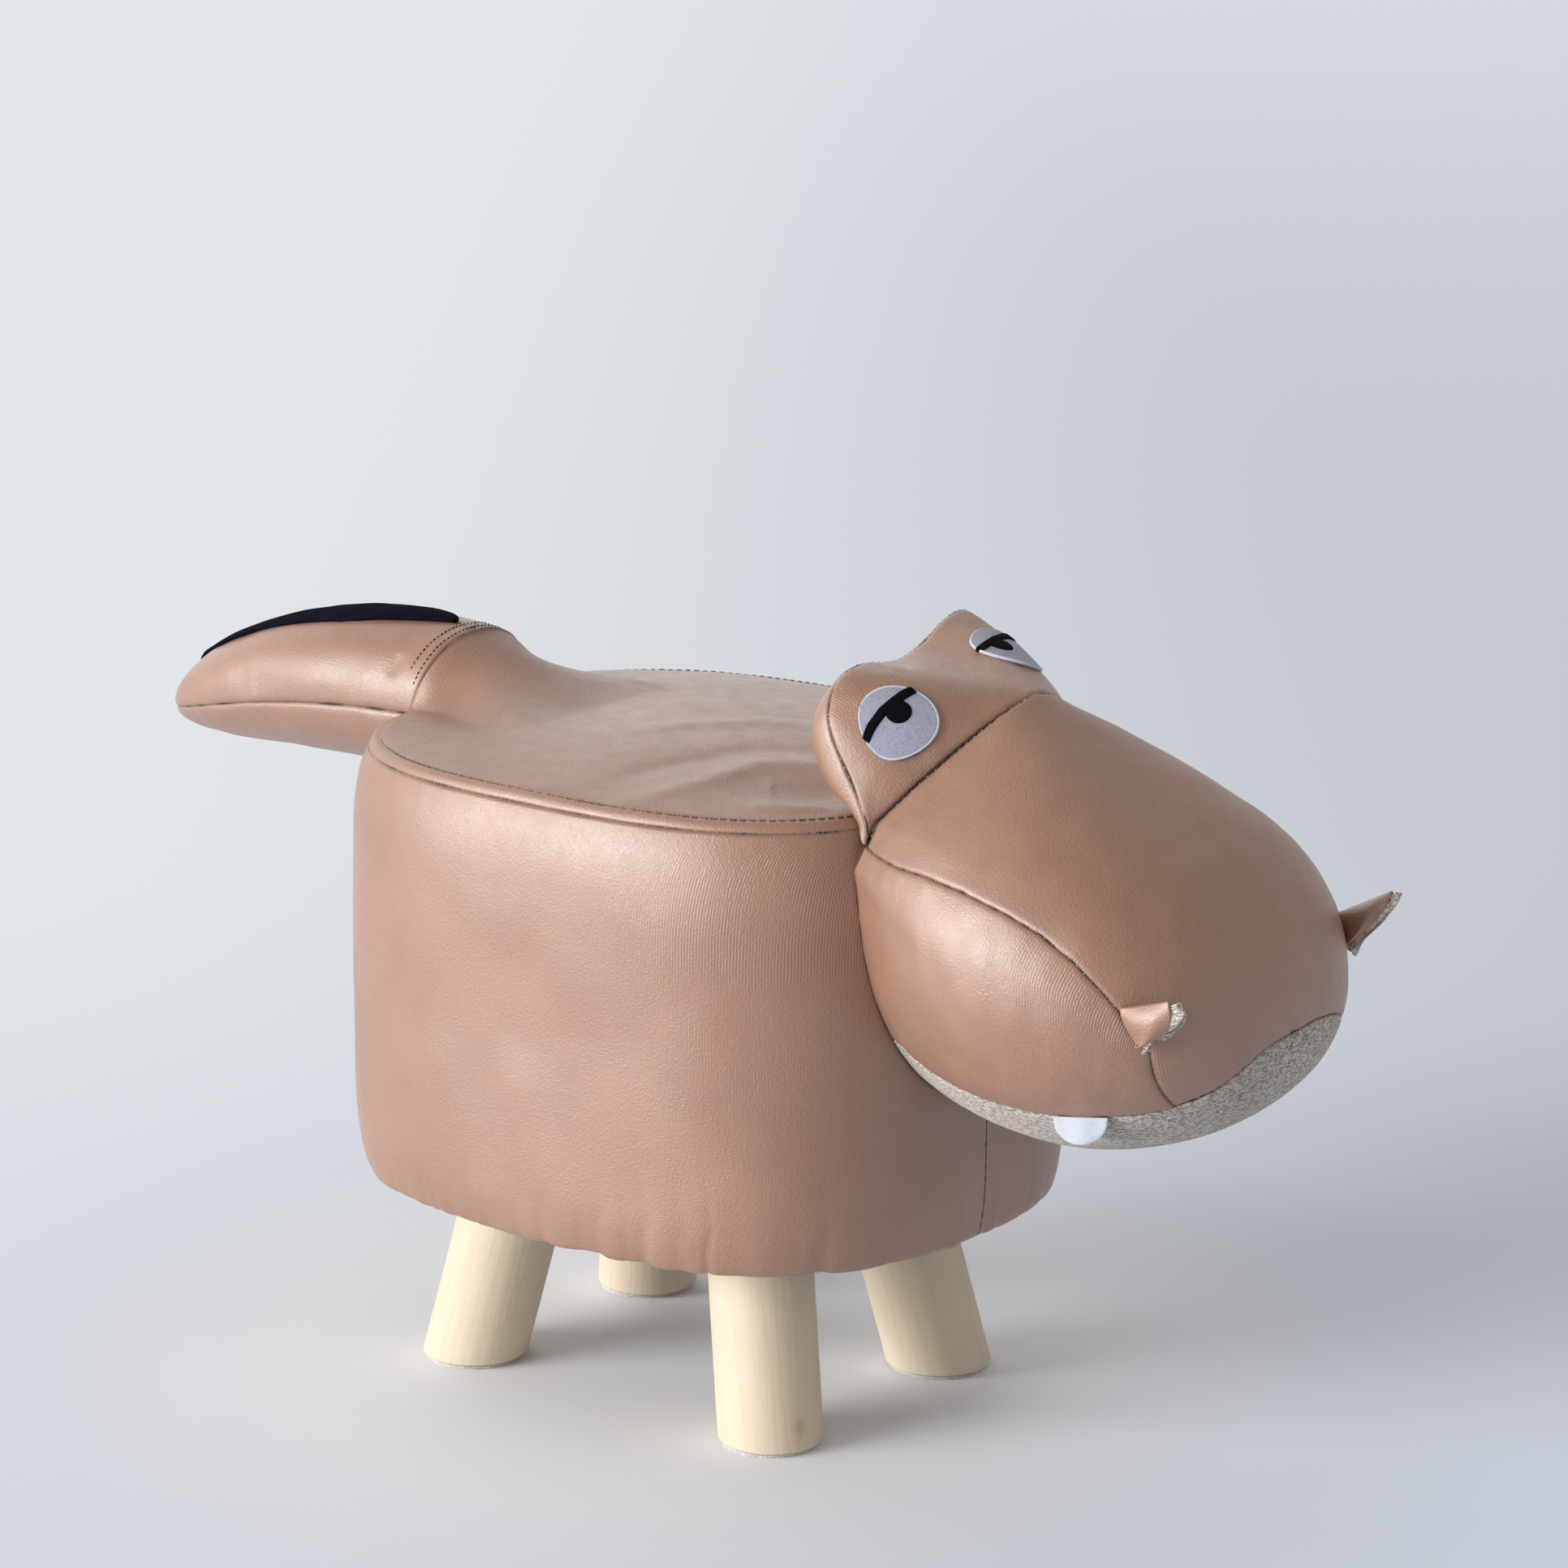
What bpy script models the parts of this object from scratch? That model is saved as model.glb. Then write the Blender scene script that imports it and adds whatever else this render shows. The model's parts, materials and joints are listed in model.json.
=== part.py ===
"""Animal footstool: an upholstered body on four raked wooden legs, with a stuffed head and tail.

The long axis is X, with the head at +X, and Z is up from the floor. Lengths are in metres and
angles in degrees. The upholstery is built in layers from the outside in: cover, foam, hardboard
wall and boards. Each layer takes its outline from the body's own and a named thickness or gap.
"""

import math

import bmesh
import bpy
from mathutils import Matrix, Vector

# Gaps and sheet thicknesses
GAP = 0.0003
STUFFING_RELIEF = 0.0008
EDGE_RELIEF = 0.0016
FILLING_GAP = 0.0009
LEATHER = 0.0012
LINING = 0.0008
FELT = 0.0015
CUT_OVERRUN = 0.002

# Body, measured over the cover
BODY_HALF_LENGTH = 0.1499
BODY_HALF_WIDTH = 0.1252
BODY_SQUARENESS = 2.81
BODY_TOP = 0.281
BODY_BOTTOM = 0.088
TOP_ROUNDING = 0.0085
TOP_ROUNDING_POWER = 5.5
BOTTOM_ROUNDING = 0.0042
BOTTOM_ROUNDING_POWER = 8.0
SEAT_CROWN = 0.009
SEAT_CROWN_POWER = 2.4
HEM_TURN = 0.034
HEM_RISE = 0.0045
SEAM_MITRE = 0.001

# Collar, where the seat cover rises into the tail
COLLAR_REACH = 0.085
COLLAR_FALL = 1.4
COLLAR_LEAN = 0.29
COLLAR_SPREAD = 0.028
COLLAR_SOFTNESS_SHARE = 1.6

# Layers inside the cover
WRAP_FOAM = 0.015
WALL_BOARD = 0.003
SEAT_FOAM = 0.024
SEAT_BOARD = 0.012
BASE_BOARD = 0.015
BASE_BOARD_BOTTOM = 0.0945
DUST_COVER = 0.0008
DUST_COVER_LAP = 0.007
POST_SIDE = 0.024
POST_EDGE_CLEARANCE = 0.004

# Legs, their pads and their fastenings
LEG_RADIUS = 0.0225
FOOT_HALF_SPACING_X = 0.0844
FOOT_HALF_SPACING_Y = 0.0593
LEG_GROUP_SHIFT = -0.0025
LEG_LEAN_X = 0.205
LEG_LEAN_Y = 0.157
LEG_EDGE_ROUND = 0.0012
PAD_THICKNESS = 0.0015
PAD_RADIUS = 0.0212
BOLT_RADIUS = 0.004
BOLT_WOOD_LENGTH = 0.034
BOLT_RUNNING_CLEARANCE = 0.0003
NUT_BARREL_RADIUS = 0.0056
NUT_BARREL_LENGTH = 0.010
NUT_FLANGE_RADIUS = 0.011
NUT_FLANGE_THICKNESS = 0.0015

# Head, as half sizes at the neck, half way along and at the nose before it rounds off
HEAD_LENGTH = 0.151
HEAD_ROUNDING = 2.18
HEAD_AXIS_HEIGHTS = (0.2602, 0.2349, 0.2128)
HEAD_UPPER_HEIGHTS = (0.0674, 0.0708, 0.0848)
HEAD_UNDER_HEIGHTS = (0.1058, 0.0976, 0.0822)
HEAD_HALF_WIDTHS = (0.0725, 0.1086, 0.1369)
BROW_SQUARENESS = 1.56
SNOUT_SQUARENESS = 2.37
THROAT_SQUARENESS = 2.26
CHIN_SQUARENESS = 2.03
NECK_EDGE_HEIGHT = 0.235
NECK_EDGE_BLEND = 0.025
BROW_SLOPE_START = 0.262
BROW_SLOPE = 0.45
MOUTH_SEAM_ANGLE = -40.0
CHEEK_SEAM_END_SHARE = 0.872
CHEEK_SEAM_SHARES = (
    (0.0, 14.5), (0.06, 15.3), (0.18, 18.0), (0.31, 22.5), (0.43, 25.3), (0.55, 26.3), (0.64, 25.4),
    (0.72, 21.5), (0.78, 15.5), (0.82, 9.5), (0.85, 2.5), (0.872, -4.0),
)

# Brow panel between the front and rear brow seams, and the panel behind it
REAR_BROW_HALF_WIDTH = 0.068
REAR_BROW_RISE = 0.072
REAR_BROW_SQUARENESS = 4.5
REAR_BROW_SETBACK = 0.034
REAR_BROW_CLIMB = 0.062
REAR_BROW_SWEEP = 0.12
BROW_SADDLE = 0.010
BROW_LEAN = 0.10
BROW_SWELLS = (0.0068, 0.0032)
BACK_HALF_WIDTH = 0.060
BACK_SETBACK = 0.026
BACK_SWELL = 0.016
EDGE_TURN_SHARE = 0.07
SEAM_CORNER_BLEND = 0.038

# Tail, as half sizes at the collar, half way along and at the tip before it rounds off
TAIL_LENGTH = 0.174
TAIL_ROUNDING = 2.25
TAIL_AXIS_HEIGHTS = (0.2828, 0.2783, 0.2543)
TAIL_UPPER_HEIGHTS = (0.0295, 0.0325, 0.0320)
TAIL_UNDER_HEIGHTS = (0.0385, 0.0373, 0.0326)
TAIL_HALF_WIDTHS = (0.0362, 0.0384, 0.0403)
TAIL_SQUARENESS = 2.12
TAIL_SEAM_ANGLES = (-5.7, -12.5, -18.0)
STRIP_START_SHARE = 0.065
STRIP_END_SHARE = 0.93
STRIP_HALF_ANGLE = 28.0

# Small pieces on the head
EYE_RADIUS = 0.0158
EYE_THICKNESS = 0.001
EYE_PLACES = {"right": (0.43, 0.245), "left": (0.50, 0.66)}
FLAP_SEAM_SHARES = {"right": 0.812, "left": 0.797}
FLAP_DROP = (0.0077, -0.0064, -0.0154)
FLAP_BASE_SHEAR_SHARES = {"inner": 1.2, "outer": 0.3}
FLAP_TAPERS = {"right": 2.4, "left": 1.45}
FLAP_RIDGES = {"right": (0.0218, -0.001, 0.0066), "left": (0.0266, -0.001, 0.0140)}
FLAP_DEPTH = 0.019
FLAP_BASE_HALF_GAP = 0.003
FLAP_OPENING = 0.0032
FLAP_INNER_EXTRA = 0.003
FLAP_STAND_OFF = 0.0018
LINING_MARGIN_SHARES = {"right": 0.24, "left": 0.15}
TOOTH_SEAM_SHARES = (0.614, 0.743)
TOOTH_THICKNESS = 0.002
TOOTH_HANG_GAP = 0.0006

# How finely each form is divided
REST_OF_GIRTH_STEPS = 40
COLLAR_STEPS = 8
SEAT_RING_SHARES = (0.945, 0.86, 0.7, 0.5, 0.27)
LEG_STEPS = 32
BOLT_STEPS = 16
SNOUT_STEPS = 16
CHEEK_STEPS = 5
CHIN_STEPS = 8
CHEEK_STATIONS = 9
NOSE_STATIONS = 4
BROW_STATIONS = 5
REAR_SEAM_STATION = -1.0
BACK_STATIONS = 3
NECK_EDGE_STATION = -2.0
TAIL_STATIONS = 9
TAIL_SIDE_STEPS = 7
TAIL_UNDER_STEPS = 7

# Colours, roughness and metal share of each finish
FINISHES = {
    "tan_leather": ((0.53, 0.33, 0.24), 0.45, 0.0),
    "beige_suede": ((0.55, 0.50, 0.42), 0.9, 0.0),
    "black_felt": ((0.01, 0.01, 0.015), 0.95, 0.0),
    "white_felt": ((0.85, 0.86, 0.88), 0.95, 0.0),
    "eye_thread": ((0.66, 0.68, 0.75), 0.6, 0.0),
    "pine": ((0.78, 0.62, 0.42), 0.6, 0.0),
    "plywood": ((0.66, 0.50, 0.32), 0.7, 0.0),
    "hardboard": ((0.30, 0.19, 0.11), 0.8, 0.0),
    "foam": ((0.85, 0.80, 0.62), 0.9, 0.0),
    "fibre_fill": ((0.90, 0.90, 0.90), 0.95, 0.0),
    "dust_cloth": ((0.03, 0.03, 0.03), 0.95, 0.0),
    "pad_felt": ((0.62, 0.63, 0.64), 0.9, 0.0),
    "zinc_steel": ((0.62, 0.63, 0.65), 0.35, 1.0),
}


def clear_scene():
    """Remove whatever objects the file starts with."""
    for item in list(bpy.data.objects):
        bpy.data.objects.remove(item, do_unlink=True)


def make_collection(name):
    """Return a new collection linked to the scene."""
    group = bpy.data.collections.new(name)
    bpy.context.scene.collection.children.link(group)
    return group


def make_material(name):
    """Return the Principled material of one finish."""
    colour, roughness, metallic = FINISHES[name]
    material = bpy.data.materials.get(name) or bpy.data.materials.new(name)
    material.use_nodes = True
    shader = material.node_tree.nodes["Principled BSDF"]
    shader.inputs["Base Color"].default_value = (*colour, 1.0)
    shader.inputs["Roughness"].default_value = roughness
    shader.inputs["Metallic"].default_value = metallic
    return material


def add_object(name, mesh_builder, finish, smooth_angle=40.0):
    """Turn a bmesh into a named object of the stool."""
    bmesh.ops.remove_doubles(mesh_builder, verts=mesh_builder.verts, dist=GAP / 30)
    bmesh.ops.dissolve_degenerate(mesh_builder, edges=mesh_builder.edges, dist=GAP / 30)
    bmesh.ops.recalc_face_normals(mesh_builder, faces=mesh_builder.faces)
    if mesh_builder.calc_volume(signed=True) < 0:
        bmesh.ops.reverse_faces(mesh_builder, faces=mesh_builder.faces)
    mesh = bpy.data.meshes.new(name)
    mesh_builder.to_mesh(mesh)
    mesh_builder.free()
    mesh.materials.append(make_material(finish))
    mesh.shade_smooth()
    mesh.set_sharp_from_angle(angle=math.radians(smooth_angle))
    item = bpy.data.objects.new(name, mesh)
    STOOL.objects.link(item)
    item.parent = ROOT
    return item


def signed_power(value, power):
    """Raise the size of a number to a power and keep its sign."""
    return math.copysign(abs(value) ** power, value)


def through(values, share):
    """Run a smooth curve through three values at shares 0, 1/2 and 1."""
    start, middle, end = values
    slope = 4 * middle - 3 * start - end
    bend = 2 * start + 2 * end - 4 * middle
    return start + slope * share + bend * share * share


def rounded_end(share, rounding):
    """Return how far a form has closed at a share of its length: 1 open, 0 closed."""
    return max(0.0, 1 - share ** rounding) ** (1 / rounding)


def smooth_step(share):
    """Ease from 0 to 1."""
    share = min(1.0, max(0.0, share))
    return share * share * (3 - 2 * share)


# The body's own form


def wall_inset(height):
    """Return how far the cover is drawn in at a height."""
    middle = (BODY_TOP + BODY_BOTTOM) / 2
    if height > middle:
        share = (height - middle) / (BODY_TOP - middle)
        return TOP_ROUNDING * share ** TOP_ROUNDING_POWER
    share = (middle - height) / (middle - BODY_BOTTOM)
    return BOTTOM_ROUNDING * share ** BOTTOM_ROUNDING_POWER


def outline_point(angle, inset):
    """Return a point of the body's plan, drawn in by an inset."""
    power = 2 / BODY_SQUARENESS
    return (
        (BODY_HALF_LENGTH - inset) * signed_power(math.cos(angle), power),
        (BODY_HALF_WIDTH - inset) * signed_power(math.sin(angle), power),
    )


def outline_reach(across, inset):
    """Return the plan's half length at a distance from the centre plane."""
    share = min(1.0, abs(across) / (BODY_HALF_WIDTH - inset))
    closing = (1 - share ** BODY_SQUARENESS) ** (1 / BODY_SQUARENESS)
    return (BODY_HALF_LENGTH - inset) * closing


def body_end(across, height, gap):
    """Return how far the body's end wall reaches along X at a place, with a gap to it."""
    return outline_reach(across, wall_inset(min(height, BODY_TOP))) + gap


def outline_angles():
    """Return the plan angles of the columns, anticlockwise from the front seam."""
    samples = 1440
    lengths = [0.0]
    previous = outline_point(0.0, 0.0)
    collar_start = collar_end = None
    for index in range(1, samples + 1):
        angle = 2 * math.pi * index / samples
        x, y = outline_point(angle, 0.0)
        lengths.append(lengths[-1] + math.hypot(x - previous[0], y - previous[1]))
        previous = (x, y)
        if x < 0 and collar_start is None and y < TAIL_HALF_WIDTHS[0]:
            collar_start = lengths[-1]
        if x < 0 and collar_end is None and y < -TAIL_HALF_WIDTHS[0]:
            collar_end = lengths[-1]
    half = REST_OF_GIRTH_STEPS // 2
    marks = [collar_start * step / half for step in range(half)]
    marks += [collar_start + (collar_end - collar_start) * step / COLLAR_STEPS for step in range(COLLAR_STEPS)]
    marks += [collar_end + (lengths[-1] - collar_end) * step / half for step in range(half + 1)]
    angles = []
    position = 0
    for mark in marks:
        while position < samples and lengths[position + 1] < mark:
            position += 1
        if position >= samples:
            angles.append(2 * math.pi)
            continue
        part = (mark - lengths[position]) / (lengths[position + 1] - lengths[position])
        angles.append(2 * math.pi * (position + part) / samples)
    return angles


def collar_rise(x, y):
    """Return how much the seat cover rises towards the tail at a place."""
    rear = -(BODY_HALF_LENGTH - TOP_ROUNDING)
    forward = (x - rear) / COLLAR_REACH
    if forward >= 1:
        return 0.0
    forward = max(0.0, forward)
    along = (1 - forward) ** COLLAR_FALL
    half_width = TAIL_HALF_WIDTHS[0] + COLLAR_SPREAD * forward
    across = min(1.0, abs(y) / half_width)
    softness = 1 / TAIL_SQUARENESS + (COLLAR_SOFTNESS_SHARE - 1 / TAIL_SQUARENESS) * smooth_step(3 * forward)
    rise = TAIL_AXIS_HEIGHTS[0] + TAIL_UPPER_HEIGHTS[0] - BODY_TOP
    return rise * along * (1 - across ** TAIL_SQUARENESS) ** softness


def seat_point(angle, share, drop):
    """Return a point of the seat's surface, or of a layer a drop below it."""
    x, y = outline_point(angle, TOP_ROUNDING)
    x, y = x * share, y * share
    crown = SEAT_CROWN * (1 - share ** SEAT_CROWN_POWER)
    rise = collar_rise(x, y)
    return Vector((x + COLLAR_LEAN * rise, y, BODY_TOP + crown + rise - drop))


def seat_height(x, y):
    """Return the height of the seat's surface above a place in plan."""
    length = BODY_HALF_LENGTH - TOP_ROUNDING
    width = BODY_HALF_WIDTH - TOP_ROUNDING
    share = ((abs(x) / length) ** BODY_SQUARENESS + (abs(y) / width) ** BODY_SQUARENESS) ** (1 / BODY_SQUARENESS)
    crown = SEAT_CROWN * (1 - min(1.0, share) ** SEAT_CROWN_POWER)
    return BODY_TOP + crown + collar_rise(x, y)


# Mesh building


def falling_diagonals(rows):
    """Tell for each cell of a grid whether its shorter diagonal runs from first to last corner."""
    return [
        [
            (upper[left] - lower[left + 1]).length <= (upper[left + 1] - lower[left]).length
            for left in range(len(upper) - 1)
        ]
        for upper, lower in zip(rows, rows[1:])
    ]


def add_grid(builder, rows, diagonals=None):
    """Add triangles between rows of points and return the rows of vertices."""
    diagonals = diagonals or falling_diagonals(rows)
    grid = [[builder.verts.new(point) for point in row] for row in rows]
    for upper, lower, falling in zip(grid, grid[1:], diagonals):
        for left in range(len(upper) - 1):
            a, b, c, d = upper[left], upper[left + 1], lower[left + 1], lower[left]
            for corners in ((a, b, c), (a, c, d)) if falling[left] else ((a, b, d), (b, c, d)):
                builder.faces.new(corners)
    return grid


def pull(point, towards, distance):
    """Move a point a small distance towards another."""
    step = towards - point
    if step.length < distance:
        return point.copy()
    return point + step.normalized() * distance


def drawn_in(rows, distance):
    """Return a grid whose four edges are drawn in, which leaves the seam's gap."""
    rows = [[point.copy() for point in row] for row in rows]
    for row in rows:
        first, last = pull(row[0], row[1], distance), pull(row[-1], row[-2], distance)
        row[0], row[-1] = first, last
    top = [pull(point, below, distance) for point, below in zip(rows[0], rows[1])]
    bottom = [pull(point, above, distance) for point, above in zip(rows[-1], rows[-2])]
    rows[0], rows[-1] = top, bottom
    return rows


def add_sheet(builder, rows, normals, thickness, offset=0.0):
    """Add a closed sheet: a grid, its copy a thickness below it, and the edge between them."""
    diagonals = falling_diagonals(rows)
    outer_points = [
        [point + normal * offset for point, normal in zip(*pair)] for pair in zip(rows, normals)
    ]
    inner_points = [
        [point + normal * (offset - thickness) for point, normal in zip(*pair)] for pair in zip(rows, normals)
    ]
    outer = add_grid(builder, outer_points, diagonals)
    inner = add_grid(builder, inner_points, diagonals)
    for top, bottom in ((outer[0], inner[0]), (outer[-1], inner[-1])):
        for left in range(len(top) - 1):
            builder.faces.new((top[left], bottom[left], bottom[left + 1], top[left + 1]))
    for side in (0, -1):
        for upper in range(len(outer) - 1):
            builder.faces.new(
                (outer[upper][side], outer[upper + 1][side], inner[upper + 1][side], inner[upper][side])
            )


def add_ring_shell(builder, outer_rows, inner_rows):
    """Add a closed ring from matching outer and inner rows that each run right round."""
    loop = outer_rows + inner_rows[::-1]
    loop.append(outer_rows[0])
    add_grid(builder, [row + row[:1] for row in loop])


def gather(patches):
    """Join grids of points and normals that share edges: return points, normals and triangles."""
    places, points, normals, triangles = {}, [], [], []
    for patch in patches:
        numbers = []
        for row in patch:
            keys = [tuple(round(value / (GAP / 10)) for value in point) for point, normal in row]
            for key, (point, normal) in zip(keys, row):
                if key not in places:
                    places[key] = len(points)
                    points.append(point)
                    normals.append(normal)
            numbers.append([places[key] for key in keys])
        diagonals = falling_diagonals([[point for point, normal in row] for row in patch])
        for upper, lower, falling in zip(numbers, numbers[1:], diagonals):
            for left in range(len(upper) - 1):
                a, b, c, d = upper[left], upper[left + 1], lower[left + 1], lower[left]
                for corners in ((a, b, c), (a, c, d)) if falling[left] else ((a, b, d), (b, c, d)):
                    if len(set(corners)) == 3:
                        triangles.append(corners)
    return points, normals, triangles


def free_edges(triangles):
    """Return the edges that only one triangle uses, each with the corner opposite to it."""
    edges = {}
    for corners in triangles:
        for index in range(3):
            start, end, opposite = corners[index], corners[(index + 1) % 3], corners[(index + 2) % 3]
            edges.setdefault(frozenset((start, end)), []).append((start, end, opposite))
    return [uses[0] for uses in edges.values() if len(uses) == 1]


def panel(name, patches, finish, thickness):
    """Make a sewn panel from grids of points and normals, drawn in a little along its seams."""
    points, normals, triangles = gather(patches)
    border = free_edges(triangles)
    inward = {}
    for start, end, opposite in border:
        along = (points[end] - points[start]).normalized()
        across = points[opposite] - points[start]
        across = (across - along * across.dot(along)).normalized()
        for corner in (start, end):
            inward[corner] = inward.get(corner, Vector()) + across
    for corner, direction in inward.items():
        points[corner] = points[corner] + direction.normalized() * (GAP / 2)
    builder = bmesh.new()
    outer = [builder.verts.new(point) for point in points]
    inner = [builder.verts.new(point - normal * thickness) for point, normal in zip(points, normals)]
    for corners in triangles:
        builder.faces.new([outer[corner] for corner in corners])
        builder.faces.new([inner[corner] for corner in reversed(corners)])
    for start, end, opposite in border:
        builder.faces.new((outer[end], outer[start], inner[start], inner[end]))
    return add_object(name, builder, finish)


def add_filling(builder, patches):
    """Add the surface of a filling that lies just inside a set of panels."""
    points, normals, triangles = gather(patches)
    depth = LEATHER + FILLING_GAP
    verts = [builder.verts.new(point - normal * depth) for point, normal in zip(points, normals)]
    for corners in triangles:
        builder.faces.new([verts[corner] for corner in corners])


# Body: cover, foam, wall and boards


def band_profile():
    """Return the side band's outer section as insets and heights, from the seam to the hem."""
    height = BODY_TOP - BODY_BOTTOM
    rows = []
    for share in (1.0, 0.975, 0.92, 0.81, 0.58, 0.27, 0.09, 0.035, 0.0):
        level = BODY_BOTTOM + height * share
        rows.append((wall_inset(level), level))
    fold = BOTTOM_ROUNDING
    rows.append((fold + HEM_TURN * 0.18, BODY_BOTTOM))
    rows.append((fold + HEM_TURN * 0.5, BODY_BOTTOM + HEM_RISE))
    rows.append((fold + HEM_TURN, BODY_BOTTOM + HEM_RISE))
    return rows


def cover_inset(height):
    """Return the inset of the band's flat strips at a height, between its rows."""
    rows = band_profile()
    for (upper_inset, upper), (lower_inset, lower) in zip(rows, rows[1:]):
        if upper >= height > lower:
            return lower_inset + (upper_inset - lower_inset) * (height - lower) / (upper - lower)
    return wall_inset(height)


def levels_between(top, bottom):
    """Return the heights of the band's rows between two heights, with those two as well."""
    inner = [height for inset, height in band_profile() if bottom + GAP < height < top - GAP]
    return [top] + inner + [bottom]


def offset_profile(profile, distance):
    """Return a section moved square to itself, towards the inside of the body."""
    moved = []
    for index, (inset, height) in enumerate(profile):
        before = profile[max(0, index - 1)]
        after = profile[min(len(profile) - 1, index + 1)]
        along = Vector((after[0] - before[0], after[1] - before[1])).normalized()
        moved.append((inset - along.y * distance, height + along.x * distance))
    return moved


def ring(profile_point, angles):
    """Return the points of the plan at one inset and height."""
    inset, height = profile_point
    return [Vector((*outline_point(angle, inset), height)) for angle in angles]


def build_side_cover(angles):
    """The leather band round the body, open only at its seam at the front."""
    outer = band_profile()
    inner = offset_profile(outer, LEATHER)
    inner[0] = (TOP_ROUNDING + SEAM_MITRE, BODY_TOP - LEATHER)
    rows = [ring(point, angles) for point in outer]
    lower = [ring(point, angles) for point in inner]
    normals = [
        [(under - point) / -LEATHER for point, under in zip(*pair)] for pair in zip(rows, lower)
    ]
    rows = drawn_in(rows, GAP / 2)
    builder = bmesh.new()
    add_sheet(builder, rows, normals, LEATHER)
    return add_object("side_cover", builder, "tan_leather")


def seat_rows(angles, drop, edge_inset):
    """Return the rings of the seat's surface, without its centre."""
    edge_share = 1 - edge_inset / (BODY_HALF_WIDTH - TOP_ROUNDING)
    shares = (edge_share,) + SEAT_RING_SHARES
    return [[seat_point(angle, share, drop) for angle in angles] for share in shares]


def add_crown(builder, rows, centre):
    """Add rings that close on a centre point and return the outer ring's vertices."""
    grid = add_grid(builder, [row + row[:1] for row in rows])
    peak = builder.verts.new(centre)
    last = grid[-1]
    for left in range(len(last) - 1):
        builder.faces.new((last[left], last[left + 1], peak))
    return grid[0]


def build_seat_cover(angles):
    """The leather panel over the seat, with the tongue that rises into the tail."""
    angles = angles[:-1]
    builder = bmesh.new()
    centre = Vector((0, 0, seat_height(0, 0)))
    top = add_crown(builder, seat_rows(angles, 0.0, GAP), centre)
    under_rows = seat_rows(angles, LEATHER, GAP + SEAM_MITRE)
    under = add_crown(builder, under_rows, centre - Vector((0, 0, LEATHER)))
    for left in range(len(top) - 1):
        builder.faces.new((top[left], under[left], under[left + 1], top[left + 1]))
    return add_object("seat_cover", builder, "tan_leather")


def build_seat_foam(angles):
    """The seat's foam pad, which also fills the tongue."""
    angles = angles[:-1]
    skin = GAP + LEATHER + GAP
    board_top = BODY_TOP - SEAT_FOAM
    side_top = BODY_TOP - skin - skin
    builder = bmesh.new()
    rows = seat_rows(angles, skin, skin + skin)
    crown = add_crown(builder, rows, Vector((0, 0, seat_height(0, 0) - skin)))
    rings = [ring((cover_inset(level) + skin, level), angles) for level in levels_between(side_top, board_top + GAP)]
    sides = [[builder.verts.new(point) for point in row] for row in rings]
    sides = [row + row[:1] for row in sides]
    for left in range(len(crown) - 1):
        builder.faces.new((crown[left], crown[left + 1], sides[0][left + 1], sides[0][left]))
    for upper, lower in zip(sides, sides[1:]):
        for left in range(len(upper) - 1):
            builder.faces.new((upper[left], upper[left + 1], lower[left + 1], lower[left]))
    builder.faces.new(sides[-1][:-1])
    return add_object("seat_foam", builder, "foam")


def build_wrap_foam(angles):
    """The sheet of foam round the wall, under the side band."""
    angles = angles[:-1]
    skin = GAP + LEATHER + GAP
    top = BODY_TOP - SEAT_FOAM
    bottom = BASE_BOARD_BOTTOM
    levels = levels_between(top, bottom)
    outer = [ring((cover_inset(level) + skin, level), angles) for level in levels]
    inner = [ring((skin + WRAP_FOAM, level), angles) for level in (top, bottom)]
    builder = bmesh.new()
    add_ring_shell(builder, outer, inner)
    return add_object("wrap_foam", builder, "foam")


def wall_outer_inset():
    """Return the inset of the hardboard wall's outer face."""
    return LEATHER + 2 * GAP + WRAP_FOAM + GAP


def board_inset():
    """Return the inset of the boards' edges, inside the wall."""
    return wall_outer_inset() + WALL_BOARD + GAP


def build_wall(angles):
    """The bent hardboard wall that the foam is wrapped on."""
    angles = angles[:-1]
    top, bottom = BODY_TOP - SEAT_FOAM, BASE_BOARD_BOTTOM
    outer = [ring((wall_outer_inset(), level), angles) for level in (top, bottom)]
    inner = [ring((wall_outer_inset() + WALL_BOARD, level), angles) for level in (top, bottom)]
    builder = bmesh.new()
    add_ring_shell(builder, outer, inner)
    return add_object("wall_board", builder, "hardboard")


def build_board(name, bottom, thickness, inset, finish, angles):
    """A flat board or sheet of the body's plan."""
    builder = bmesh.new()
    face = builder.faces.new([builder.verts.new(point) for point in ring((inset, bottom), angles[:-1])])
    lifted = bmesh.ops.extrude_face_region(builder, geom=[face])
    moved = [item for item in lifted["geom"] if isinstance(item, bmesh.types.BMVert)]
    bmesh.ops.translate(builder, verts=moved, vec=(0, 0, thickness))
    return add_object(name, builder, finish)


def cut_round_hole(item, centre, radius, bottom, top):
    """Cut an upright round hole through a piece."""
    builder = bmesh.new()
    depth = top - bottom + 2 * CUT_OVERRUN
    middle = Vector((*centre, (top + bottom) / 2))
    bmesh.ops.create_cone(
        builder, cap_ends=True, segments=BOLT_STEPS, radius1=radius, radius2=radius, depth=depth,
        matrix=Matrix.Translation(middle),
    )
    mesh = bpy.data.meshes.new(item.name + "_hole")
    builder.to_mesh(mesh)
    builder.free()
    cutter = bpy.data.objects.new(mesh.name, mesh)
    cutter.display_type = "WIRE"
    cutter.hide_render = True
    CUTTERS.objects.link(cutter)
    cutter.parent = ROOT
    cut = item.modifiers.new("hole", "BOOLEAN")
    cut.operation = "DIFFERENCE"
    cut.solver = "EXACT"
    cut.object = cutter


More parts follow.
